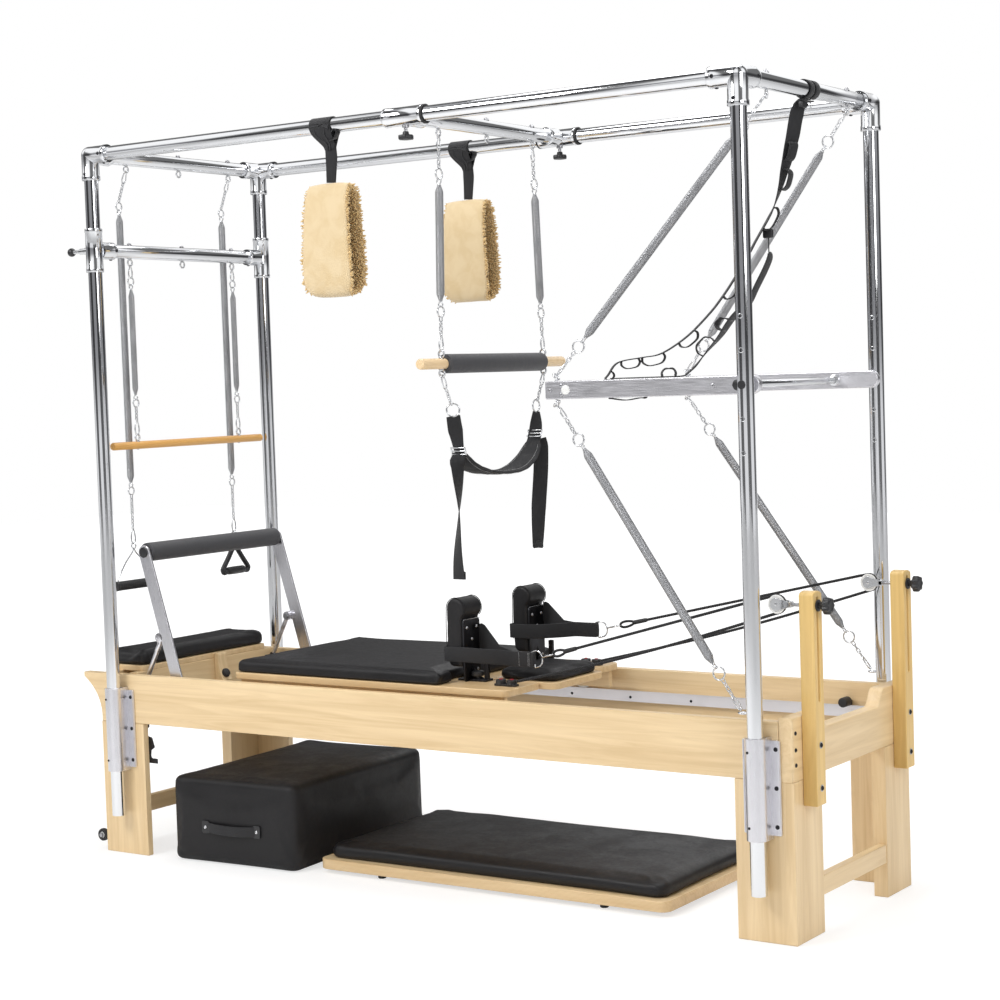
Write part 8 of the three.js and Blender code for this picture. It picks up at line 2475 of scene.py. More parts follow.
class TABLE_OT_ropes(bpy.types.Operator):
    """Makes the two braided ropes with their clips and spliced eyes"""

    bl_idname = "table.ropes"
    bl_label = "Ropes"

    def execute(self, context):
        radius = context.scene.table_sizes.rope_radius
        for side in SIDES:
            name = side_name(side)
            route = rope_route(side)
            near = ("carriage", "bed", (0.40, 0, 0.6), (0.80, 0, 0.6))
            far = ("bed", name + "_riser", (0.80, 0, 0.6), (1.08, 0, 0.6))
            split = [i for i, p in enumerate(route) if p.x >= 0.80]
            first, last = split[0], split[-1]
            runs = (
                ("upper", route[: first + 1], near),
                ("round", route[first: last + 1], far),
                ("lower", route[last:], near),
            )
            for part, points, body in runs:
                edges = [(i, i + 1) for i in range(len(points) - 1)]
                core = sweep(points, radius * 0.86, 12)
                values = {
                    "Radius": radius * 0.9, "Strand": radius * 0.34, "Pitch": 0.026, "Step": 0.0017,
                    "Finish": FINISHES["rope"],
                }
                cover = grower("braid").run(values, points, edges)
                nodes = [name + "_rope"] if part == "upper" else ()
                show(f"{name}_rope_{part}_core", core, "rope", body, nodes)
                show(f"{name}_rope_{part}_cover", cover, None, body)
            self.splice(name, side, radius)
        return {"FINISHED"}

    def splice(self, name, side, radius):
        """The hook in the ring, the rope's eye round it and the bound sleeve."""
        centre, pull = strap_ring(side)
        hook = snap_hook(centre + pull * 0.0135, centre + pull * 0.063, 0.0021)
        show(name + "_rope_hook", hook, "satin_chrome", "carriage")
        across = pull.cross(Y).normalized()
        middle = centre + pull * 0.082
        eye = []
        for i in range(32):
            a = 2 * math.pi * i / 32
            reach = 0.0225 * math.cos(a)
            eye.append(middle + pull * reach + across * 0.0078 * math.sin(a) * (1 - 0.25 * math.cos(a)))
        show(name + "_rope_eye", sweep(eye, radius * 1.05, 12, closed=True), "rope", "carriage")
        start = centre + pull * 0.100
        sleeve = lathe(
            [
                (0, 0), (0.0050, 0), (0.0062, 0.002), (0.0064, 0.006), (0.0060, 0.040), (0.0048, 0.046),
                (0, 0.046),
            ],
            start, pull, 28,
        )
        show(name + "_rope_sleeve", sleeve, "rubber", "carriage")


# Footbar


def bed_bar(place, radius, y0, y1, edge, count):
    """A round bar across the bed at a place in the side view."""
    return bar(radius, (place.x, y0, place.z), (place.x, y1, place.z), edge, count)


class TABLE_OT_footbar(bpy.types.Operator):
    """Makes the footbar's arms, tube, foam grip and struts"""

    bl_idname = "table.footbar"
    bl_label = "Footbar"

    def execute(self, context):
        lean = (FOOTBAR_TOP - FOOTBAR_PIVOT).normalized()
        over = Vector((lean.z, 0, -lean.x))
        length = (FOOTBAR_TOP - FOOTBAR_PIVOT).length
        base = FOOTBAR_PIVOT

        def on_arm(u, v):
            place = base + over * u + lean * v
            return (place.x, place.z)

        half = 0.022
        outline = [on_arm(u, v) for u, v in arc(0, 0, half, 180, 360, 16)]
        outline += [on_arm(u, v + length) for u, v in arc(0, 0, half, 0, 180, 16)]
        parts, pins = [], []
        for side in SIDES:
            low, high = sorted((side * 0.3128, side * 0.3052))
            parts.append(plate([outline], "XZ", low, high, 0.0016))
            parts.append(bed_bar(STRUT_PIVOT, 0.015, low, high, 0.001, 40))
            pins.append(bed_bar(base, 0.012, side * 0.3122, side * 0.3218, 0.001, 32))
            pins.append(bed_bar(base, 0.006, side * 0.3210, side * 0.3492, 0.0008, 24))
            pins.append(bed_bar(STRUT_PIVOT, 0.0068, side * 0.3120, side * 0.2885, 0.0006, 24))
            nut = [(0, 0), (0.0095, 0), (0.0095, 0.004), (0.0085, 0.005), (0, 0.005)]
            pins.append(lathe(nut, (STRUT_PIVOT.x, side * 0.2888, STRUT_PIVOT.z), (0, -side, 0), 6, 20))
            dome = [(0, 0), (0.0155, 0), (0.0165, 0.0012), (0.0150, 0.0042), (0.009, 0.0052), (0, 0.0052)]
            cap = lathe(dome, (FOOTBAR_TOP.x, side * 0.3126, FOOTBAR_TOP.z), (0, side, 0), 40)
            show(side_name(side) + "_footbar_cap", cap, "plastic", "footbar")
        show("footbar_arms", merged(parts), "aluminium_Z", "footbar", ["footbar_frame"])
        show("footbar_pins", merged(pins), "fastener", "footbar")
        tube = bed_bar(FOOTBAR_TOP, 0.0158, -0.3056, 0.3056, 0.001, 40)
        show("footbar_tube", tube, "chrome", "footbar")
        grip = lathe(
            [
                (0.0161, -0.300), (0.0262, -0.300), (0.0282, -0.2988), (0.0289, -0.2955),
                (0.0290, -0.285), (0.0290, 0.285), (0.0289, 0.2955), (0.0282, 0.2988),
                (0.0262, 0.300), (0.0161, 0.300), (0.0161, -0.300),
            ],
            (FOOTBAR_TOP.x, 0, FOOTBAR_TOP.z), Y, 72,
        )
        show("footbar_foam", grip, "foam", "footbar", ["footbar_grip"])
        for side in SIDES:
            self.strut(side)
        return {"FINISHED"}

    def strut(self, side):
        y = side * STRUT_Y
        pivot = Vector((STRUT_PIVOT.x, y, STRUT_PIVOT.z))
        foot = Vector((STRUT_FOOT.x, y, STRUT_FOOT.z))
        down = (foot - pivot).normalized()
        eye = pipe(0.0075, 0.0148, pivot - Y * 0.0074, pivot + Y * 0.0074, 0.001, 40)
        leg = bar(0.0072, pivot + down * 0.012, foot, 0.001, 28)
        sleeve = bar(0.0077, pivot + down * 0.020, pivot + down * 0.050, 0.0012, 32)
        name = side_name(side)
        strut = merged([eye, leg, sleeve])
        show(name + "_strut", strut, "aluminium_Z", name + "_strut", [name + "_footbar_strut"])
        toe = bar(0.0090, foot - Y * 0.0074, foot + Y * 0.0074, 0.0012, 36)
        show(name + "_strut_toe", toe, "rubber", name + "_strut")


# Push-through bar


class TABLE_OT_push_bar(bpy.types.Operator):
    """Makes the push-through bar: box arms, end tube, shaft, pivots, hubs, knobs and bolts"""

    bl_idname = "table.push_bar"
    bl_label = "Push-through bar"

    def execute(self, context):
        black, bolts = [], []
        z, half, x0 = PUSH_Z, ARM_HALF, PUSH_FREE_X
        for side in SIDES:
            low, high = sorted((side * ARM_OUTER, side * ARM_INNER))
            outline = [
                (x0 + 0.003, z - half), (POST_X, z - half), *arc(POST_X, z, half, -90, 90, 20)[1:-1],
                (POST_X, z + half), (x0 + 0.003, z + half), (x0, z + half - 0.003), (x0, z - half + 0.003),
            ]
            arm = plate([outline], "XZ", low, high, 0.0022)
            name = side_name(side)
            show(name + "_push_arm", arm, "aluminium_X", "push_bar", ["push_through_bar"])
            outer = side * ARM_OUTER
            hub = lathe(
                [
                    (0, -0.001), (0.0125, -0.001), (0.0125, 0.0016), (0.0115, 0.0024), (0.0050, 0.0026),
                    (0, 0.0026),
                ],
                (x0 + 0.064, outer, z), (0, side, 0), 40,
            )
            show(name + "_push_hub", hub, "white_plastic", "push_bar")
            for x, dz in ((0.015, 0), (0.051, 0.0118), (0.051, -0.0118), (0.500, 0)):
                bolts.append(((x0 + x, outer, z + dz), (0, side, 0), 0.2, 0.0058))
            for x in (0.015, 0.500):
                bolts.append(((x0 + x, side * ARM_INNER, z), (0, -side, 0), 0.2, 0.0050))
            black.append(lathe(
                [
                    (0, -0.002), (0.0125, -0.002), (0.0138, 0.0002), (0.0138, 0.0018), (0.0110, 0.0030),
                    (0, 0.0032),
                ],
                (POST_X - 0.036, outer, z), (0, side, 0), 40,
            ))
            show(name + "_push_pin", self.pin(side), "fastener", "push_bar")
            head = lathe(
                [(0, 0), (0.0072, 0), (0.0105, 0.0006), (0.0108, 0.003), (0.0095, 0.0042), (0, 0.0046)],
                (POST_X, side * (POST_Y + TUBE - 0.0004), z), (0, side, 0), 40,
            )
            black.append(head)
            above, below = push_eyes(side)[1:3]
            for place, centre, way in (("upper", above, Z), ("lower", below, -Z)):
                eye = eye_bolt(centre, way, (0.75, 0, 0.66 * way.z), 0.0042)
                show(f"{name}_arm_{place}_eye", eye, "satin_chrome", "push_bar")
        tube_x, shaft_x = x0 + 0.030, POST_X - 0.105
        tube = bar(0.0158, (tube_x, -0.3405, z), (tube_x, 0.3405, z), 0.0008, 48)
        shaft = bar(0.0098, (shaft_x, -0.3405, z), (shaft_x, 0.3405, z), 0.0006, 40)
        show("push_end_tube", tube, "aluminium_X", "push_bar")
        show("push_shaft", shaft, "chrome", "push_bar")
        shaft_ring = [
            (0.0099, 0), (0.0165, 0), (0.0170, 0.001), (0.0150, 0.0085), (0.0099, 0.0095), (0.0099, 0),
        ]
        tube_ring = [
            (0.0159, 0), (0.0205, 0), (0.0210, 0.001), (0.0195, 0.0065), (0.0159, 0.0075), (0.0159, 0),
        ]
        rings = []
        for profile, x in ((shaft_ring, shaft_x), (tube_ring, tube_x)):
            rings += [lathe(profile, (x, s * ARM_INNER, z), (0, -s, 0), 40) for s in SIDES]
        show("push_collars", merged(rings), "satin_chrome", "push_bar")
        show("push_knobs", merged(black), "plastic", "push_bar")
        show("push_bolts", repeated(button_head(), bolts, "fastener"), None, "push_bar")
        return {"FINISHED"}

    def pin(self, side):
        return bar(
            0.0078, (POST_X, side * 0.3585, PUSH_Z), (POST_X, side * (POST_Y + TUBE + 0.0005), PUSH_Z),
            0.0008, 32,
        )


# Bars that slide on the frame


def bored_sleeve(start, end, inner=0.0213, outer=0.0263):
    """A cast sleeve with a raised rim at each mouth."""
    start, end = Vector(start), Vector(end)
    long = (end - start).length
    profile = [
        (inner, 0.0006), (inner + 0.0008, 0), (outer - 0.0006, 0), (outer, 0.0010), (outer, 0.011),
        (outer - 0.0009, 0.0125),
        (outer - 0.0009, long - 0.0125), (outer, long - 0.011), (outer, long - 0.0010),
        (outer - 0.0006, long), (inner + 0.0008, long), (inner, long - 0.0006), (inner, 0.0006),
    ]
    return lathe(profile, start, end - start, 64)


class TABLE_OT_crossbar(bpy.types.Operator):
    """Makes the lower crossbar with its tees and plungers, and the roll-down bar"""

    bl_idname = "table.crossbar"
    bl_label = "Crossbar and roll-down bar"

    def execute(self, context):
        x, z = -POST_X, CROSSBAR_Z
        tube = cross_tube(x, z)
        show("crossbar_tube", tube, "chrome", "crossbar", ["sliding_crossbar"])
        screws = []
        for side in SIDES:
            y = side * POST_Y
            sleeve = bored_sleeve((x, y, z - 0.066), (x, y, z + 0.066))
            show(
                side_name(side) + "_crossbar_tee", merged([sleeve, branch(x, y, z, side)]), "chrome",
                "crossbar",
            )
            profile = [
                (0, 0.0255), (0.0105, 0.0255), (0.0105, 0.040), (0.0088, 0.042),
                (0.0088, 0.060), (0.0060, 0.062), (0.0060, 0.086), (0, 0.086),
            ]
            nose = lathe(profile, (x, y, z), (-1, 0, 0), 40)
            show(side_name(side) + "_plunger", nose, "satin_chrome", "crossbar")
            ball = globe(0.0130, (x - 0.097, y, z), 40, 24)
            show(side_name(side) + "_plunger_ball", ball, "plastic", "crossbar")
            inward = y - side * 0.068
            screws.append(((x, inward, z - 0.0262), (0, 0, -1), 0.2, 0.0050))
            screws.append(((x + 0.0262, inward, z), (1, 0, 0), 0.2, 0.0050))
        show("crossbar_screws", repeated(button_head(), screws, "dark_steel"), None, "crossbar")
        low = z - TUBE - EYE_RING - EYE_WIRE
        show("crossbar_eyes", hanging_eyes(x, low, THREE_EYES), "satin_chrome", "crossbar")
        show("crossbar_nuts", top_nuts(x, z, THREE_EYES, 0.0064), None, "crossbar")
        self.roll_bar()
        return {"FINISHED"}

    def roll_bar(self):
        x, z, r = -POST_X, ROLL_Z, 0.012
        wood_bar = wooden_bar(x, z, 0.345, r)
        show("roll_down_wood", wood_bar, "roll_wood", "roll_down", ["roll_down_bar"])
        centre = z + r + EYE_RING + EYE_WIRE
        eyes = merged([eye_bolt((x, y, centre), (0, 0, 1), X, 0.004) for y in (-EYE_Y, EYE_Y)])
        show("roll_down_eyes", eyes, "satin_chrome", "roll_down")
        ends = [((x, y, z - r + 0.0004), (0, 0, -1), 0, 0.0042) for y in (-EYE_Y, EYE_Y)]
        show("roll_down_nuts", repeated(button_head(16), ends, "fastener"), None, "roll_down")


class TABLE_OT_slider(bpy.types.Operator):
    """Makes the sliding bar with its collars and clamp knobs"""

    bl_idname = "table.slider"
    bl_label = "Sliding bar"

    def execute(self, context):
        x, z = SLIDER_X, TOP_Z
        tube = cross_tube(x, z)
        show("slider_tube", tube, "chrome", "slider", ["trapeze_slider"])
        rims, knobs, studs = [], [], []
        for side in SIDES:
            y = side * POST_Y
            sleeve = bored_sleeve((x - 0.0655, y, z), (x + 0.0655, y, z))
            show(
                side_name(side) + "_slider_collar", merged([sleeve, branch(x, y, z, side)]), "chrome",
                "slider",
            )
            for way in SIDES if side > 0 else (1,):
                a, b = x + way * 0.0635, x + way * 0.0712
                rims.append(pipe(0.0213, 0.0264, (min(a, b), y, z), (max(a, b), y, z), 0.0012, 56))
            top = z - 0.0263
            stud = [
                (0, -0.002), (0.0095, -0.002), (0.0095, 0.004), (0.0047, 0.005), (0.0047, 0.024),
                (0, 0.024),
            ]
            studs.append(lathe(stud, (x, y, top), (0, 0, -1), 32))
            knobs.append(self.knob((x, y, top - 0.0150)))
        show("slider_rims", merged(rims), "rubber", "slider")
        show("slider_studs", merged(studs), "fastener", "slider")
        show("slider_knobs", merged(knobs), "plastic", "slider")
        show("slider_eyes", hanging_eyes(x, TOP_EYE, THREE_EYES), "satin_chrome", "slider")
        show("slider_nuts", top_nuts(x, z, THREE_EYES), None, "slider")
        return {"FINISHED"}

    def knob(self, start):
        """A clamp knob: neck above, a wide lobed disc below."""
        rows = [
            (0.0070, 0, 0), (0.0082, 0.0015, 0), (0.0090, 0.0075, 0), (0.0150, 0.0088, 1),
            (0.0205, 0.0096, 1),
            (0.0219, 0.0120, 1), (0.0219, 0.0190, 1), (0.0205, 0.0216, 1), (0.0120, 0.0226, 0),
            (0.004, 0.0228, 0),
        ]

        def point(r, depth, lobed, a):
            reach = r * (0.94 + 0.06 * math.cos(6 * a)) if lobed else r
            return (reach * math.cos(a), reach * math.sin(a), -depth)

        return turned(start, rows, point, 72, 45)


# Trapeze, sling and loops


class TABLE_OT_trapeze(bpy.types.Operator):
    """Makes the trapeze bar with its foam sleeve and eyes, and the padded sling"""

    bl_idname = "table.trapeze"
    bl_label = "Trapeze and sling"

    def execute(self, context):
        x, z = SLIDER_X, TRAPEZE_Z
        wood_bar = wooden_bar(x, z, 0.360, 0.015)
        show("trapeze_wood", wood_bar, "pale_bar", "trapeze", ["trapeze_bar"])
        sleeve = lathe(
            [
                (0.0152, -0.245), (0.0240, -0.245), (0.0262, -0.2435), (0.0270, -0.240), (0.0270, 0.240),
                (0.0262, 0.2435), (0.0240, 0.245), (0.0152, 0.245), (0.0152, -0.245),
            ],
            (x, 0, z), Y, 72,
        )
        show("trapeze_foam", sleeve, "foam", "trapeze")
        eyes = []
        for y in (-BAR_EYE_Y, BAR_EYE_Y):
            eyes.append(eye_bolt((x, y, z + 0.0268), (0, 0, 1), Y, 0.004))
            eyes.append(eye_bolt((x, y, z - 0.0268), (0, 0, -1), Y, 0.004))
        show("trapeze_eyes", merged(eyes), "satin_chrome", "trapeze")
        self.sling()
        return {"FINISHED"}

    def sling(self):
        x, ring_z = SLIDER_X, TRAPEZE_Z - 0.130
        rings, links = [], []
        for side in SIDES:
            hook = Vector((x, side * BAR_EYE_Y, TRAPEZE_Z - 0.0268 - LINK_REACH))
            centre = Vector((x, side * SLING_HALF, ring_z))
            pull = (centre - hook).normalized()
            rings.append(hoop(0.0180, 0.0023, centre, TO_CAMERA if side < 0 else X, 40, 12))
            rings.append(snap_hook(hook - pull * 0.006 + Z * 0.004, hook + pull * 0.036))
            links.append(chain(hook + pull * 0.034, centre - pull * 0.0165))
        show("sling_rings", merged(rings), "satin_chrome", "sling")
        show("sling_chains", merged(links), "satin_chrome", "sling")
        shares = (
            (-1, 0.09), (-0.975, 0.24), (-0.94, 0.40), (-0.88, 0.68), (-0.68, 0.86), (-0.34, 0.97),
            (0.08, 1), (0.45, 0.95), (0.76, 0.76), (0.93, 0.50), (0.98, 0.30), (1, 0.09),
        )
        points = [(x, SLING_HALF * a, ring_z - SLING_DROP * b) for a, b in shares]
        front = curved(points[:4], 10)
        count = len(front)
        turns = graded(((0, 0.15), (0.5, 0.0), (1, -LEVEL)), count)
        band = strap(
            front, [facing(t) for t in turns], graded(((0, 0.040), (0.5, 0.042), (1, 0.030)), count),
            0.0036,
        )
        show("sling_front_web", band, "webbing", "sling", ["trapeze_sling"])
        back = curved(points[8:], 10)
        count = len(back)
        turns = graded(((0, -LEVEL), (0.6, -0.35), (1, 0.6)), count)
        band = strap(
            back, [facing(t) for t in turns], graded(((0, 0.046), (0.55, 0.040), (1, 0.026)), count),
            0.0036,
        )
        show("sling_back_web", band, "webbing", "sling")
        line = [p for p in curved(points, 8) if -0.190 < p.y < 0.192 and p.z < ring_z - 0.09]
        piece = show("sling_pad", self.pad(line), "felt", "sling")
        self.pad_seams(line)
        self.tail(-1, Vector((x, -0.190, 1.2225)))
        self.tail(1, Vector((x + 0.004, 0.214, 1.250)))
        self.slide(-1, Vector(points[3]))
        self.slide(1, Vector((x, 0.196, 1.256)))

    def swell(self, i, count):
        """How wide and thick the pad is along its line, next to its middle."""
        return math.sin(math.pi * (i + 0.35) / (count - 0.3)) ** 0.45

    def normal(self, line, i):
        before, after = line[max(i - 1, 0)], line[min(i + 1, len(line) - 1)]
        return (after - before).cross(X).normalized()

    def pad(self, line):
        """A quilted pad: flat oval sections with thick rims that swell between the ends."""
        form = bmesh.new()
        count, sides = len(line), 32
        rings = []
        for i, point in enumerate(line):
            normal = self.normal(line, i)
            swell = self.swell(i, count)
            wide = 0.0465 * (0.40 + 0.60 * swell)
            thick = 0.0078 * (0.50 + 0.50 * swell)
            ripple = 1 - 0.14 * abs(math.cos(i * 0.62)) ** 6
            ring = []
            for j in range(sides):
                a = 2 * math.pi * j / sides
                c, s = math.cos(a), math.sin(a)
                u = wide * math.copysign(abs(c) ** 0.7, c)
                hollow = 1 - 0.42 * math.exp(-((abs(c) - 0.45) / 0.42) ** 2)
                v = thick * ripple * math.copysign(abs(s) ** 0.7, s) * hollow
                bump = noise.noise(Vector((u * 60, point.y * 60, v * 60))) * 0.0008
                ring.append(form.verts.new(point + X * u + normal * (v + bump)))
            rings.append(ring)
        for low, high in zip(rings, rings[1:]):
            for j in range(sides):
                n = (j + 1) % sides
                form.faces.new((low[j], low[n], high[n], high[j]))
        form.faces.new(rings[0])
        form.faces.new(rings[-1])
        return mesh_of(form, 60)

    def pad_seams(self, line):
        rows = []
        count = len(line)
        for way in SIDES:
            for face in SIDES:
                points = []
                for i in range(2, count - 2):
                    swell = self.swell(i, count)
                    out = X * way * 0.0345 * (0.40 + 0.60 * swell)
                    points.append(line[i] + out + self.normal(line, i) * face * 0.0061 * (0.5 + 0.5 * swell))
                rows.append(stitched(points, 0.0052, 0.0034, 0.0004, "dark_thread"))
        show("sling_stitches", merged(rows), None, "sling")

    def tail(self, side, place):
        length = 0.350 if side < 0 else 0.322
        lean = -0.006 if side < 0 else -0.034
        points = []
        steps = 40
        for i in range(steps + 1):
            s = i / steps
            out = side * 0.010 * min(1.0, s / 0.06)
            sway = 0.004 * math.sin(s * 7.5 + side) * s
            x, y = place.x + 0.003 * math.sin(s * 5.0), place.y + out + lean * s + sway
            points.append((x, y, place.z - s * length))
        curled, plain = (
            (0, -LEVEL), (0.10, 0.55), (0.45, 1.5), (1, 2.35),
        ), ((0, -0.1), (0.6, 0.05), (1, 0.75))
        turns = graded(curled if side < 0 else plain, steps + 1)
        across = [facing(t) for t in turns]
        band = strap(points, across, 0.044, 0.0034)
        name = side_name(side)
        show(name + "_sling_tail", band, "webbing", "sling")
        last, wide = Vector(points[-1]), across[-1]
        normal = wide.cross(Z).normalized()
        hem = strap([last + normal * 0.0028, last + normal * 0.0028 + Z * 0.022], wide, 0.0442, 0.0026)
        show(name + "_sling_hem", hem, "webbing", "sling")

    def slide(self, side, place):
        """The three-bar slide that holds the tail."""
        way = Vector((0, side * 0.35, 1)).normalized()
        normal = X.cross(way).normalized()
        centre = place + way * 0.012 + normal * 0.0022
        bars = []
        for d in (-0.010, 0, 0.010):
            c = centre + way * d
            bars.append(bar(0.0021, c - X * 0.0235, c + X * 0.0235, 0.0006, 14))
        for w in SIDES:
            post = centre + X * w * 0.0235
            bars.append(bar(0.0023, post - way * 0.0118, post + way * 0.0118, 0.0006, 14))
        show(side_name(side) + "_sling_slide", merged(bars), "satin_chrome", "sling")


class TABLE_OT_loops(bpy.types.Operator):
    """Makes the two sheepskin loops on their webbing hangers"""

    bl_idname = "table.loops"
    bl_label = "Sheepskin loops"

    def execute(self, context):
        tuft = context.scene.table_sizes.tuft
        for side, x in zip(SIDES, LOOP_X):
            name = side_name(side)
            self.fleece(name, x, side, tuft)
            self.hanger(name, x, side)
        return {"FINISHED"}

    def line(self, x, side, steps=96):
        """The middle of the loop's wall, a tall drop wider below than above."""
        tall, deep, wall = LOOP_TALL, 0.104, 0.0245
        points = []
        for i in range(steps):
            a = 2 * math.pi * i / steps
            full = 0.74 + 0.13 * (1 - math.cos(a))
            c, s = math.cos(a), math.sin(a)
            out_y = (deep - wall) / 2 * full * math.copysign(abs(s) ** 0.55, s)
            out_z = (tall - wall) / 2 * math.copysign(abs(c) ** 0.75, c)
            points.append(Vector((x, side * POST_Y + out_y, LOOP_TOP - tall / 2 + out_z)))
        return points

    def half_width(self, z):
        """Half the panel's width at a height: round corners, wider below."""
        down = (LOOP_TOP - z) / LOOP_TALL
        wide = 0.0735 + 0.0125 * min(1.0, down / 0.7)
        for gap, radius in ((LOOP_TOP - z, 0.022), (z - LOOP_TOP + LOOP_TALL, 0.052)):
            if gap < radius:
                wide -= radius - math.sqrt(max(0.0, radius ** 2 - (radius - max(gap, 0.0)) ** 2)) * 0.999
        return max(wide, 0.034)

    def fleece(self, name, x, side, tuft):
        """A suede panel whose wool shows on its inner face and its rims."""
        points = self.line(x, side)
        count, sides, thick = len(points), 44, 0.0074
        form = bmesh.new()
        rings, wool = [], []
        for i, point in enumerate(points):
            tangent = (points[(i + 1) % count] - points[i - 1]).normalized()
            normal = tangent.cross(X).normalized()
            half = self.half_width(point.z) - 0.004
            middle = Vector((x, side * POST_Y, LOOP_TOP - LOOP_TALL / 2))
            inward = -1 if normal.dot(point - middle) > 0 else 1
            ring = []
            for j in range(sides):
                a = 2 * math.pi * (j + 0.5) / sides
                c, s = math.cos(a), math.sin(a)
                u = half * math.copysign(abs(c) ** 0.5, c)
                v = thick * math.copysign(abs(s) ** 0.7, s)
                fold = noise.noise(Vector((u * 26 + side * 3, 4.0, point.z * 3))) * 0.0026
                ring.append(form.verts.new(point + X * u + normal * (v + fold)))
                wool.append(1.0 if s * inward > -0.12 or abs(c) > 0.985 else 0.0)
            rings.append(ring)
        for i in range(count):
            low, high = rings[i], rings[(i + 1) % count]
            for j in range(sides):
                n = (j + 1) % sides
                form.faces.new((low[j], low[n], high[n], high[j]))
        skin = mesh_of(form, 80)
        values = {"Density": 70000.0, "Tuft": tuft, "Seed": 5 + side, "Finish": FINISHES["fleece"]}
        curls = grower("tuft").run(values, mesh=skin.copy(), attributes={"wool": wool})
        piece = show(
            name + "_loop_skin", skin, "suede", name + "_loop", [name + "_sheepskin_loop"],
        )
        show(name + "_loop_wool", curls, None, name + "_loop")

    def hanger(self, name, x, side):
        y, body = side * POST_Y, name + "_loop"
        wide_x = x - 0.018
        reach = TUBE + 0.0021
        turns = [math.radians(-8 + 196 * i / 16) for i in range(17)]
        around = [(wide_x, y + reach * math.cos(a), TOP_Z + reach * math.sin(a)) for a in turns]
        low = TOP_Z - 0.062
        path = [
            (x + 0.002, y + 0.0030, low - 0.004), (x, y + 0.0062, low + 0.012),
            (wide_x + 0.010, y + 0.0155, TOP_Z - 0.028),
            *around,
            (wide_x + 0.010, y - 0.0155, TOP_Z - 0.028), (x, y - 0.0062, low + 0.012),
            (x + 0.002, y - 0.0030, low - 0.004),
        ]
        line = curved(path, 3)
        widths = [0.036 + 0.037 * max(0.0, min(1.0, (p.z - low) / 0.050)) for p in line]
        band = strap(line, X, widths, 0.0028)
        show(name + "_loop_hanger", band, "webbing", body)
        folds = []
        for shift, reach_y in ((-0.010, -0.0125), (0.009, -0.0135)):
            ridge = [
                (wide_x + shift * 1.8, y - 0.0225, TOP_Z - 0.006),
                (wide_x + shift * 1.6, y + reach_y - 0.005, TOP_Z - 0.026),
                (x + shift * 0.6, y - 0.0085, low + 0.012), (x + shift * 0.4, y - 0.0050, low - 0.006),
            ]
            folds.append(sweep(curved(ridge, 6), 0.0026, 8))
        show(name + "_hanger_folds", merged(folds), "felt", body)
        neck_line = curved(
            [(x + 0.002, y, low + 0.010), (x + 0.004, y, low - 0.03), (x, y, LOOP_TOP - 0.003)], 8,
        )
        turns = graded(((0, 0.0), (0.5, 0.35), (1, 0.2)), len(neck_line))
        across = [Vector((math.cos(t), math.sin(t), 0)) for t in turns]
        widths = graded(((0, 0.037), (0.45, 0.035), (1, 0.029)), len(neck_line))
        show(name + "_loop_neck", strap(neck_line, across, widths, 0.0064), "webbing", body)
        tab = curved(
            [
                (x + 0.010, y - 0.006, low + 0.020), (x + 0.026, y - 0.008, low + 0.024),
                (x + 0.037, y - 0.008, low + 0.040), (x + 0.030, y - 0.009, low + 0.050),
                (x + 0.016, y - 0.010, low + 0.046),
            ], 5,
        )
        show(name + "_hanger_tab", strap(tab, (0, 1, 0.2), 0.020, 0.0024), "webbing", body)


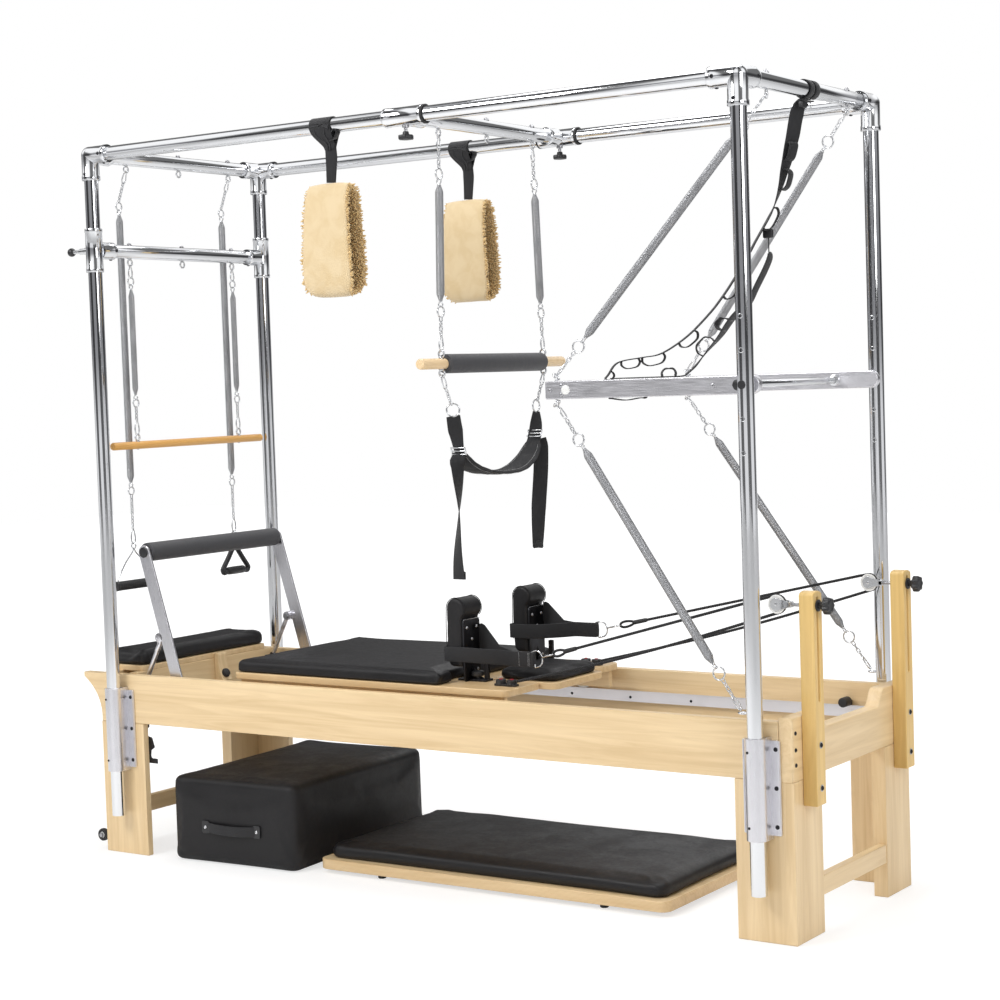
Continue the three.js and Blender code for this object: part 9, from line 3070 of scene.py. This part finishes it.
class TABLE_OT_ladder_strap(bpy.types.Operator):
    """Makes the looped stretch strap from the head bar to the push-through bar"""

    bl_idname = "table.ladder_strap"
    bl_label = "Looped strap"

    def execute(self, context):
        self.wrap()
        self.upper()
        self.lower()
        return {"FINISHED"}

    def wrap(self):
        """Two turns round the head bar with a ring and a buckle below."""
        reach = TUBE + 0.0024
        turns = [math.radians(-80 + 340 * i / 30) for i in range(31)]
        bands = []
        for y in (-0.019, 0.013):
            around = [(POST_X + reach * math.cos(a), y, TOP_Z + reach * math.sin(a)) for a in turns]
            bands.append(strap(around, Y, 0.024, 0.0034))
        under = TOP_Z - reach
        bands.append(strap(
            curved(
                [
                    (1.103, -0.034, under - 0.004), (1.102, -0.010, under - 0.007),
                    (1.100, 0.022, under - 0.005),
                ],
                6,
            ),
            X, 0.022, 0.0036,
        ))
        show("ladder_wrap", merged(bands), "webbing", "bed", ["ladder_strap"])
        buckle = plate(
            [rounded(-0.034, -0.006, under - 0.024, under - 0.006, 0.005)], "YZ", 1.094, 1.106, 0.002,
        )
        show("ladder_buckle", buckle, "plastic", "bed")
        ring = hoop(0.0088, 0.0019, (1.099, 0.012, under - 0.0155), TO_CAMERA, 32, 10)
        show("ladder_ring", ring, "satin_chrome", "bed")

    def hung(self, rows, start, end, steps=6):
        """A smooth line in an upright plane, from (share across, height) rows."""
        away = Vector((*end, 0)) - Vector((*start, 0))
        return curved([Vector((*start, z)) + away * share for share, z in rows], steps)

    def bands(self, name, line, turn, width, loops, below, goal, thickness=0.0028):
        """A strand with its sewn loops, bent between the head bar and the arm."""
        count = len(line)
        body = ("bed", "push_bar", STRAP_TOP, goal)
        across = [facing(turn(p)) for p in line]
        show(name, strap(line, across, width, thickness), "webbing", body)
        made, rows = [], []
        for share, length, depth in loops:
            i = round(share * (count - 1))
            run, j = 0.0, i
            while j + 1 < count and run < length:
                run += (line[j + 1] - line[j]).length
                j += 1
            tangent = (line[j] - line[i]).normalized()
            wide = across[(i + j) // 2]
            out = tangent.cross(wide).normalized()
            if (out.z > 0) == below:
                out.negate()
            bulge = ((0, 0.04), (-0.05, 0.45), (0.12, 0.9), (0.45, 1.0), (0.8, 0.92), (1.02, 0.5), (1, 0.04))
            hanging = [line[i].lerp(line[j], s) + out * depth * b for s, b in bulge]
            made.append(strap(curved(hanging, 5), wide, 0.0265, 0.0026))
            for place in (line[i], line[j]):
                face = place - out * (thickness / 2 + 0.0003)
                rows.append(
                    stitched(
                        [face - wide * 0.010, face + wide * 0.010], 0.0034, 0.0024, 0.0004, "dark_thread",
                    )
                )
        show(name + "_loops", merged(made), "webbing", body)
        show(name + "_stitches", merged(rows), None, body)

    def upper(self):
        rows = (
            (0.012, 2.122), (0.042, 2.108), (0.059, 2.081), (0.076, 2.035), (0.091, 2.004), (0.107, 1.971),
            (0.123, 1.941), (0.139, 1.908), (0.160, 1.874), (0.192, 1.834), (0.269, 1.763), (0.297, 1.736),
            (0.380, 1.664), (0.439, 1.619), (0.494, 1.583), (0.587, 1.533), (0.674, 1.499), (0.746, 1.480),
            (0.822, 1.474), (0.937, 1.463), (0.985, 1.432), (1.000, 1.4235),
        )
        end = (POST_X - 0.425, -PUSH_ARM_Y)
        line = self.hung(rows, (POST_X, 0), end)
        count = len(line)
        widths = graded(((0, 0.026), (0.08, 0.037), (0.30, 0.034), (0.5, 0.030), (1, 0.030)), count)
        loops = (
            (0.175, 0.040, 0.017), (0.275, 0.048, 0.022), (0.415, 0.050, 0.021), (0.565, 0.052, 0.024),
            (0.705, 0.050, 0.024), (0.790, 0.052, 0.026), (0.868, 0.044, 0.022), (0.935, 0.042, 0.016),
        )

        def turn(point):
            return math.pi / 2 * max(0.0, min(1.0, (2.04 - point.z) / 0.21))

        self.bands("ladder_upper", line, turn, widths, loops, True, (*end, 1.424))

    def lower(self):
        """The wider strand on a clasp, which ends along the arm and sags below it."""
        start, end = (1.018, -0.072), (0.913, -PUSH_ARM_Y)
        rows = (
            (0.000, 1.734), (-0.010, 1.722), (0.045, 1.692), (0.148, 1.648), (0.235, 1.610), (0.328, 1.590),
            (0.436, 1.567), (0.597, 1.519), (0.737, 1.484), (0.874, 1.447), (0.985, 1.4245),
        )
        top = PUSH_Z + ARM_HALF + 0.0022
        line = self.hung(rows, start, end)
        line += curved([(0.900, -PUSH_ARM_Y, top), (0.80, -PUSH_ARM_Y, top), (0.700, -PUSH_ARM_Y, top)], 8)
        count = len(line)
        widths = graded(((0, 0.020), (0.05, 0.034), (0.7, 0.032), (0.8, 0.018), (1, 0.018)), count)
        loops = ((0.475, 0.034, 0.026), (0.570, 0.046, 0.030), (0.800, 0.036, 0.020))

        def turn(point):
            return 1.57 - 0.62 * max(0.0, min(1.0, (point.z - 1.44) / 0.10))

        self.bands("ladder_lower", line, turn, widths, loops, False, (*end, 1.424))
        body = ("bed", "push_bar", STRAP_TOP, (*end, 1.424))
        clasp = [plate([rounded(1.004, 1.030, 1.772, 1.796, 0.004)], "XZ", -0.078, -0.066, 0.002)]
        clasp.append(bar(0.0016, (1.018, -0.072, 1.774), (1.018, -0.072, 1.734), 0.0003, 10))
        show("ladder_clasp", merged(clasp), "plastic", body)
        low = PUSH_Z - ARM_HALF
        inner = -PUSH_ARM_Y + 0.0118
        sag = strap(
            curved(
                [
                    (0.690, inner, low + 0.016), (0.691, inner - 0.001, low - 0.0006),
                    (0.705, -PUSH_ARM_Y, low - 0.0030),
                    (0.741, -PUSH_ARM_Y, low - 0.0072), (0.778, -PUSH_ARM_Y, low - 0.0030),
                    (0.793, inner - 0.001, low - 0.0006),
                    (0.794, inner, low + 0.016),
                ], 6,
            ), Y, 0.018, 0.0024,
        )
        show("ladder_sag", sag, "webbing", "push_bar")


# Lights, camera and floor


class TABLE_OT_stage(bpy.types.Operator):
    """Sets the camera, the lights, the floor and the world"""

    bl_idname = "table.stage"
    bl_label = "Stage"

    def execute(self, context):
        self.camera(context.scene)
        self.lights(context.scene)
        self.floor()
        self.world(context.scene)
        context.scene.view_settings.view_transform = "Standard"
        return {"FINISHED"}

    def camera(self, scene):
        yaw, pitch, roll = (math.radians(a) for a in (34.56590031, -3.29928503, -1.92474043))
        ahead = Vector((-math.sin(yaw) * math.cos(pitch), math.cos(yaw) * math.cos(pitch), math.sin(pitch)))
        level = Vector((math.cos(yaw), math.sin(yaw), 0))
        up = level.cross(ahead)
        right = level * math.cos(roll) + up * math.sin(roll)
        over = up * math.cos(roll) - level * math.sin(roll)
        data = bpy.data.cameras.new("camera")
        data.sensor_width = 36
        data.lens = 36 * 2.07263664
        camera = bpy.data.objects.new("camera", data)
        turn = Matrix((right, over, -ahead)).transposed().to_4x4()
        camera.matrix_world = Matrix.Translation((3.48790228, -4.9217862, 1.42738766)) @ turn
        scene.collection.objects.link(camera)
        scene.camera = camera

    def lights(self, scene):
        def area(name, place, target, size, power):
            data = bpy.data.lights.new(name, "AREA")
            data.shape = "RECTANGLE"
            data.size, data.size_y = size
            data.energy = power
            light = bpy.data.objects.new(name, data)
            aim = (Vector(target) - Vector(place)).to_track_quat("-Z", "Y")
            light.matrix_world = Matrix.Translation(place) @ aim.to_matrix().to_4x4()
            scene.collection.objects.link(light)

        area("key", (-1.6, -3.8, 4.2), (0, 0, 0.7), (1.8, 1.8), 120)
        area("fill", (4.4, -1.8, 2.6), (0, 0, 0.9), (1.6, 1.6), 38)
        area("top", (0.2, 0.6, 5.2), (0, 0, 0), (3.0, 2.4), 95)

    def floor(self):
        form = bmesh.new()
        bmesh.ops.create_grid(form, x_segments=1, y_segments=1, size=14)
        mesh = mesh_of(form)
        piece = bpy.data.objects.new("floor", mesh)
        bpy.context.scene.collection.objects.link(piece)
        finish = Finish("studio_floor", (0.93, 0.93, 0.93), 0.6)
        tree = finish.tree
        end = tree.nodes["Material Output"]
        rays = tree.nodes.new("ShaderNodeLightPath")
        seen = Value(finish, rays.outputs["Is Camera Ray"])
        glow = finish.node("ShaderNodeEmission", {}, {"Color": (1, 1, 1, 1), "Strength": 1.22})
        share = tree.nodes.new("ShaderNodeMixShader")
        place = finish.node("ShaderNodeTexCoord", output=3)
        across, away = (finish.node("ShaderNodeSeparateXYZ", {}, {0: place}, i) for i in (0, 1))
        reach = (across / 1.9).power(2.0) + (away / 1.1).power(2.0)
        finish.feed(share.inputs[0], seen * reach.between(0.75, 2.2, 0.52, 1.0))
        tree.links.new(finish.shader.outputs[0], share.inputs[1])
        tree.links.new(glow.socket, share.inputs[2])
        tree.links.new(share.outputs[0], end.inputs["Surface"])
        mesh.materials.append(finish.material)

    def world(self, scene):
        """White to the camera, plain to matt surfaces, and a banded studio to shiny ones."""
        world = bpy.data.worlds.new("studio")
        world.use_nodes = True
        scene.world = world
        tree = Tree(world.node_tree)
        nodes, links = world.node_tree.nodes, world.node_tree.links
        coordinates = tree.node("ShaderNodeTexCoord", output=0)
        split = {
            axis: tree.node("ShaderNodeSeparateXYZ", {}, {0: coordinates}, i)
            for i, axis in enumerate("xyz")
        }
        heights = tree.node(
            "ShaderNodeValToRGB",
            {"stops": (
                (0.0, (0.85, 0.85, 0.86, 1)),
                (0.49, (0.75, 0.75, 0.76, 1)),
                (0.51, (0.20, 0.20, 0.21, 1)),
                (0.59, (0.34, 0.34, 0.35, 1)),
                (0.66, (1.0, 1.0, 1.0, 1)),
                (0.86, (1.0, 1.0, 1.0, 1)),
                (0.92, (0.30, 0.30, 0.31, 1)),
                (1.0, (0.75, 0.75, 0.76, 1)),
            )},
            {0: split["z"] * 0.5 + 0.5},
        )
        angle = tree.node("ShaderNodeMath", {"operation": "ARCTAN2"}, {0: split["y"], 1: split["x"]})
        stripes = (angle * 4.0 + 0.9).sine().between(-0.35, 0.25, 0.16, 1.0)
        room = nodes.new("ShaderNodeMix")
        room.data_type = "RGBA"
        room.blend_type = "MULTIPLY"
        room.inputs[0].default_value = 1.0
        links.new(heights.socket, room.inputs[6])
        links.new(stripes.socket, room.inputs[7])
        shiny = nodes["Background"]
        links.new(room.outputs[2], shiny.inputs["Color"])
        shiny.inputs["Strength"].default_value = 1.15
        rays = nodes.new("ShaderNodeLightPath")
        shown = shiny.outputs[0]
        for output, level in (("Is Diffuse Ray", 0.62), ("Is Camera Ray", 1.0)):
            plain = nodes.new("ShaderNodeBackground")
            plain.inputs["Color"].default_value = (1, 1, 1, 1)
            plain.inputs["Strength"].default_value = level
            share = nodes.new("ShaderNodeMixShader")
            links.new(rays.outputs[output], share.inputs[0])
            links.new(shown, share.inputs[1])
            links.new(plain.outputs[0], share.inputs[2])
            shown = share.outputs[0]
        links.new(shown, nodes["World Output"].inputs["Surface"])


PIECES = (
    TABLE_OT_finishes,
    TABLE_OT_stage,
    TABLE_OT_rails,
    TABLE_OT_end_frames,
    TABLE_OT_wheels,
    TABLE_OT_uprights,
    TABLE_OT_fittings,
    TABLE_OT_clamps,
    TABLE_OT_push_springs,
    TABLE_OT_bed_springs,
    TABLE_OT_hanging_springs,
    TABLE_OT_handles,
    TABLE_OT_platform_pad,
    TABLE_OT_cushions,
    TABLE_OT_carriage,
    TABLE_OT_shoulder_rests,
    TABLE_OT_risers,
    TABLE_OT_ropes,
    TABLE_OT_footbar,
    TABLE_OT_push_bar,
    TABLE_OT_crossbar,
    TABLE_OT_slider,
    TABLE_OT_trapeze,
    TABLE_OT_loops,
    TABLE_OT_ladder_strap,
    TABLE_OT_box,
    TABLE_OT_board,
)


class TABLE_PT_pieces(bpy.types.Panel):
    """The table's pieces, one button each, with its colours and sizes"""

    bl_idname = "TABLE_PT_pieces"
    bl_label = "Reformer with trapeze frame"
    bl_space_type = "VIEW_3D"
    bl_region_type = "UI"
    bl_category = "Table"

    def draw(self, context):
        layout = self.layout
        for settings in (context.scene.table_colours, context.scene.table_sizes):
            for name in settings.bl_rna.properties.keys():
                if name not in ("rna_type", "name"):
                    layout.prop(settings, name)
        for piece in PIECES:
            layout.operator(piece.bl_idname)


CLASSES = (TableColours, TableSizes, *PIECES, TABLE_PT_pieces)


def register():
    for kind in CLASSES:
        bpy.utils.register_class(kind)
    bpy.types.Scene.table_colours = bpy.props.PointerProperty(type=TableColours)
    bpy.types.Scene.table_sizes = bpy.props.PointerProperty(type=TableSizes)


def unregister():
    del bpy.types.Scene.table_sizes
    del bpy.types.Scene.table_colours
    for kind in reversed(CLASSES):
        bpy.utils.unregister_class(kind)


def visual_box():
    """The box of everything that shows, floor left out."""
    depsgraph = bpy.context.evaluated_depsgraph_get()
    low, high = [math.inf] * 3, [-math.inf] * 3
    for piece in bpy.context.scene.objects:
        if piece.type not in ("MESH", "CURVE") or piece.name == "floor" or piece.hide_render:
            continue
        shown = piece.evaluated_get(depsgraph)
        mesh = shown.to_mesh()
        for point in mesh.vertices:
            place = shown.matrix_world @ point.co
            for i in range(3):
                low[i] = min(low[i], place[i])
                high[i] = max(high[i], place[i])
        shown.to_mesh_clear()
    return [low, high]


def main():
    register()
    for piece in PIECES:
        group, name = piece.bl_idname.split(".")
        getattr(getattr(bpy.ops, group), name)()
    {"cad": CAD_BOX, "visual": visual_box()}


if __name__ == "__main__":
    main()
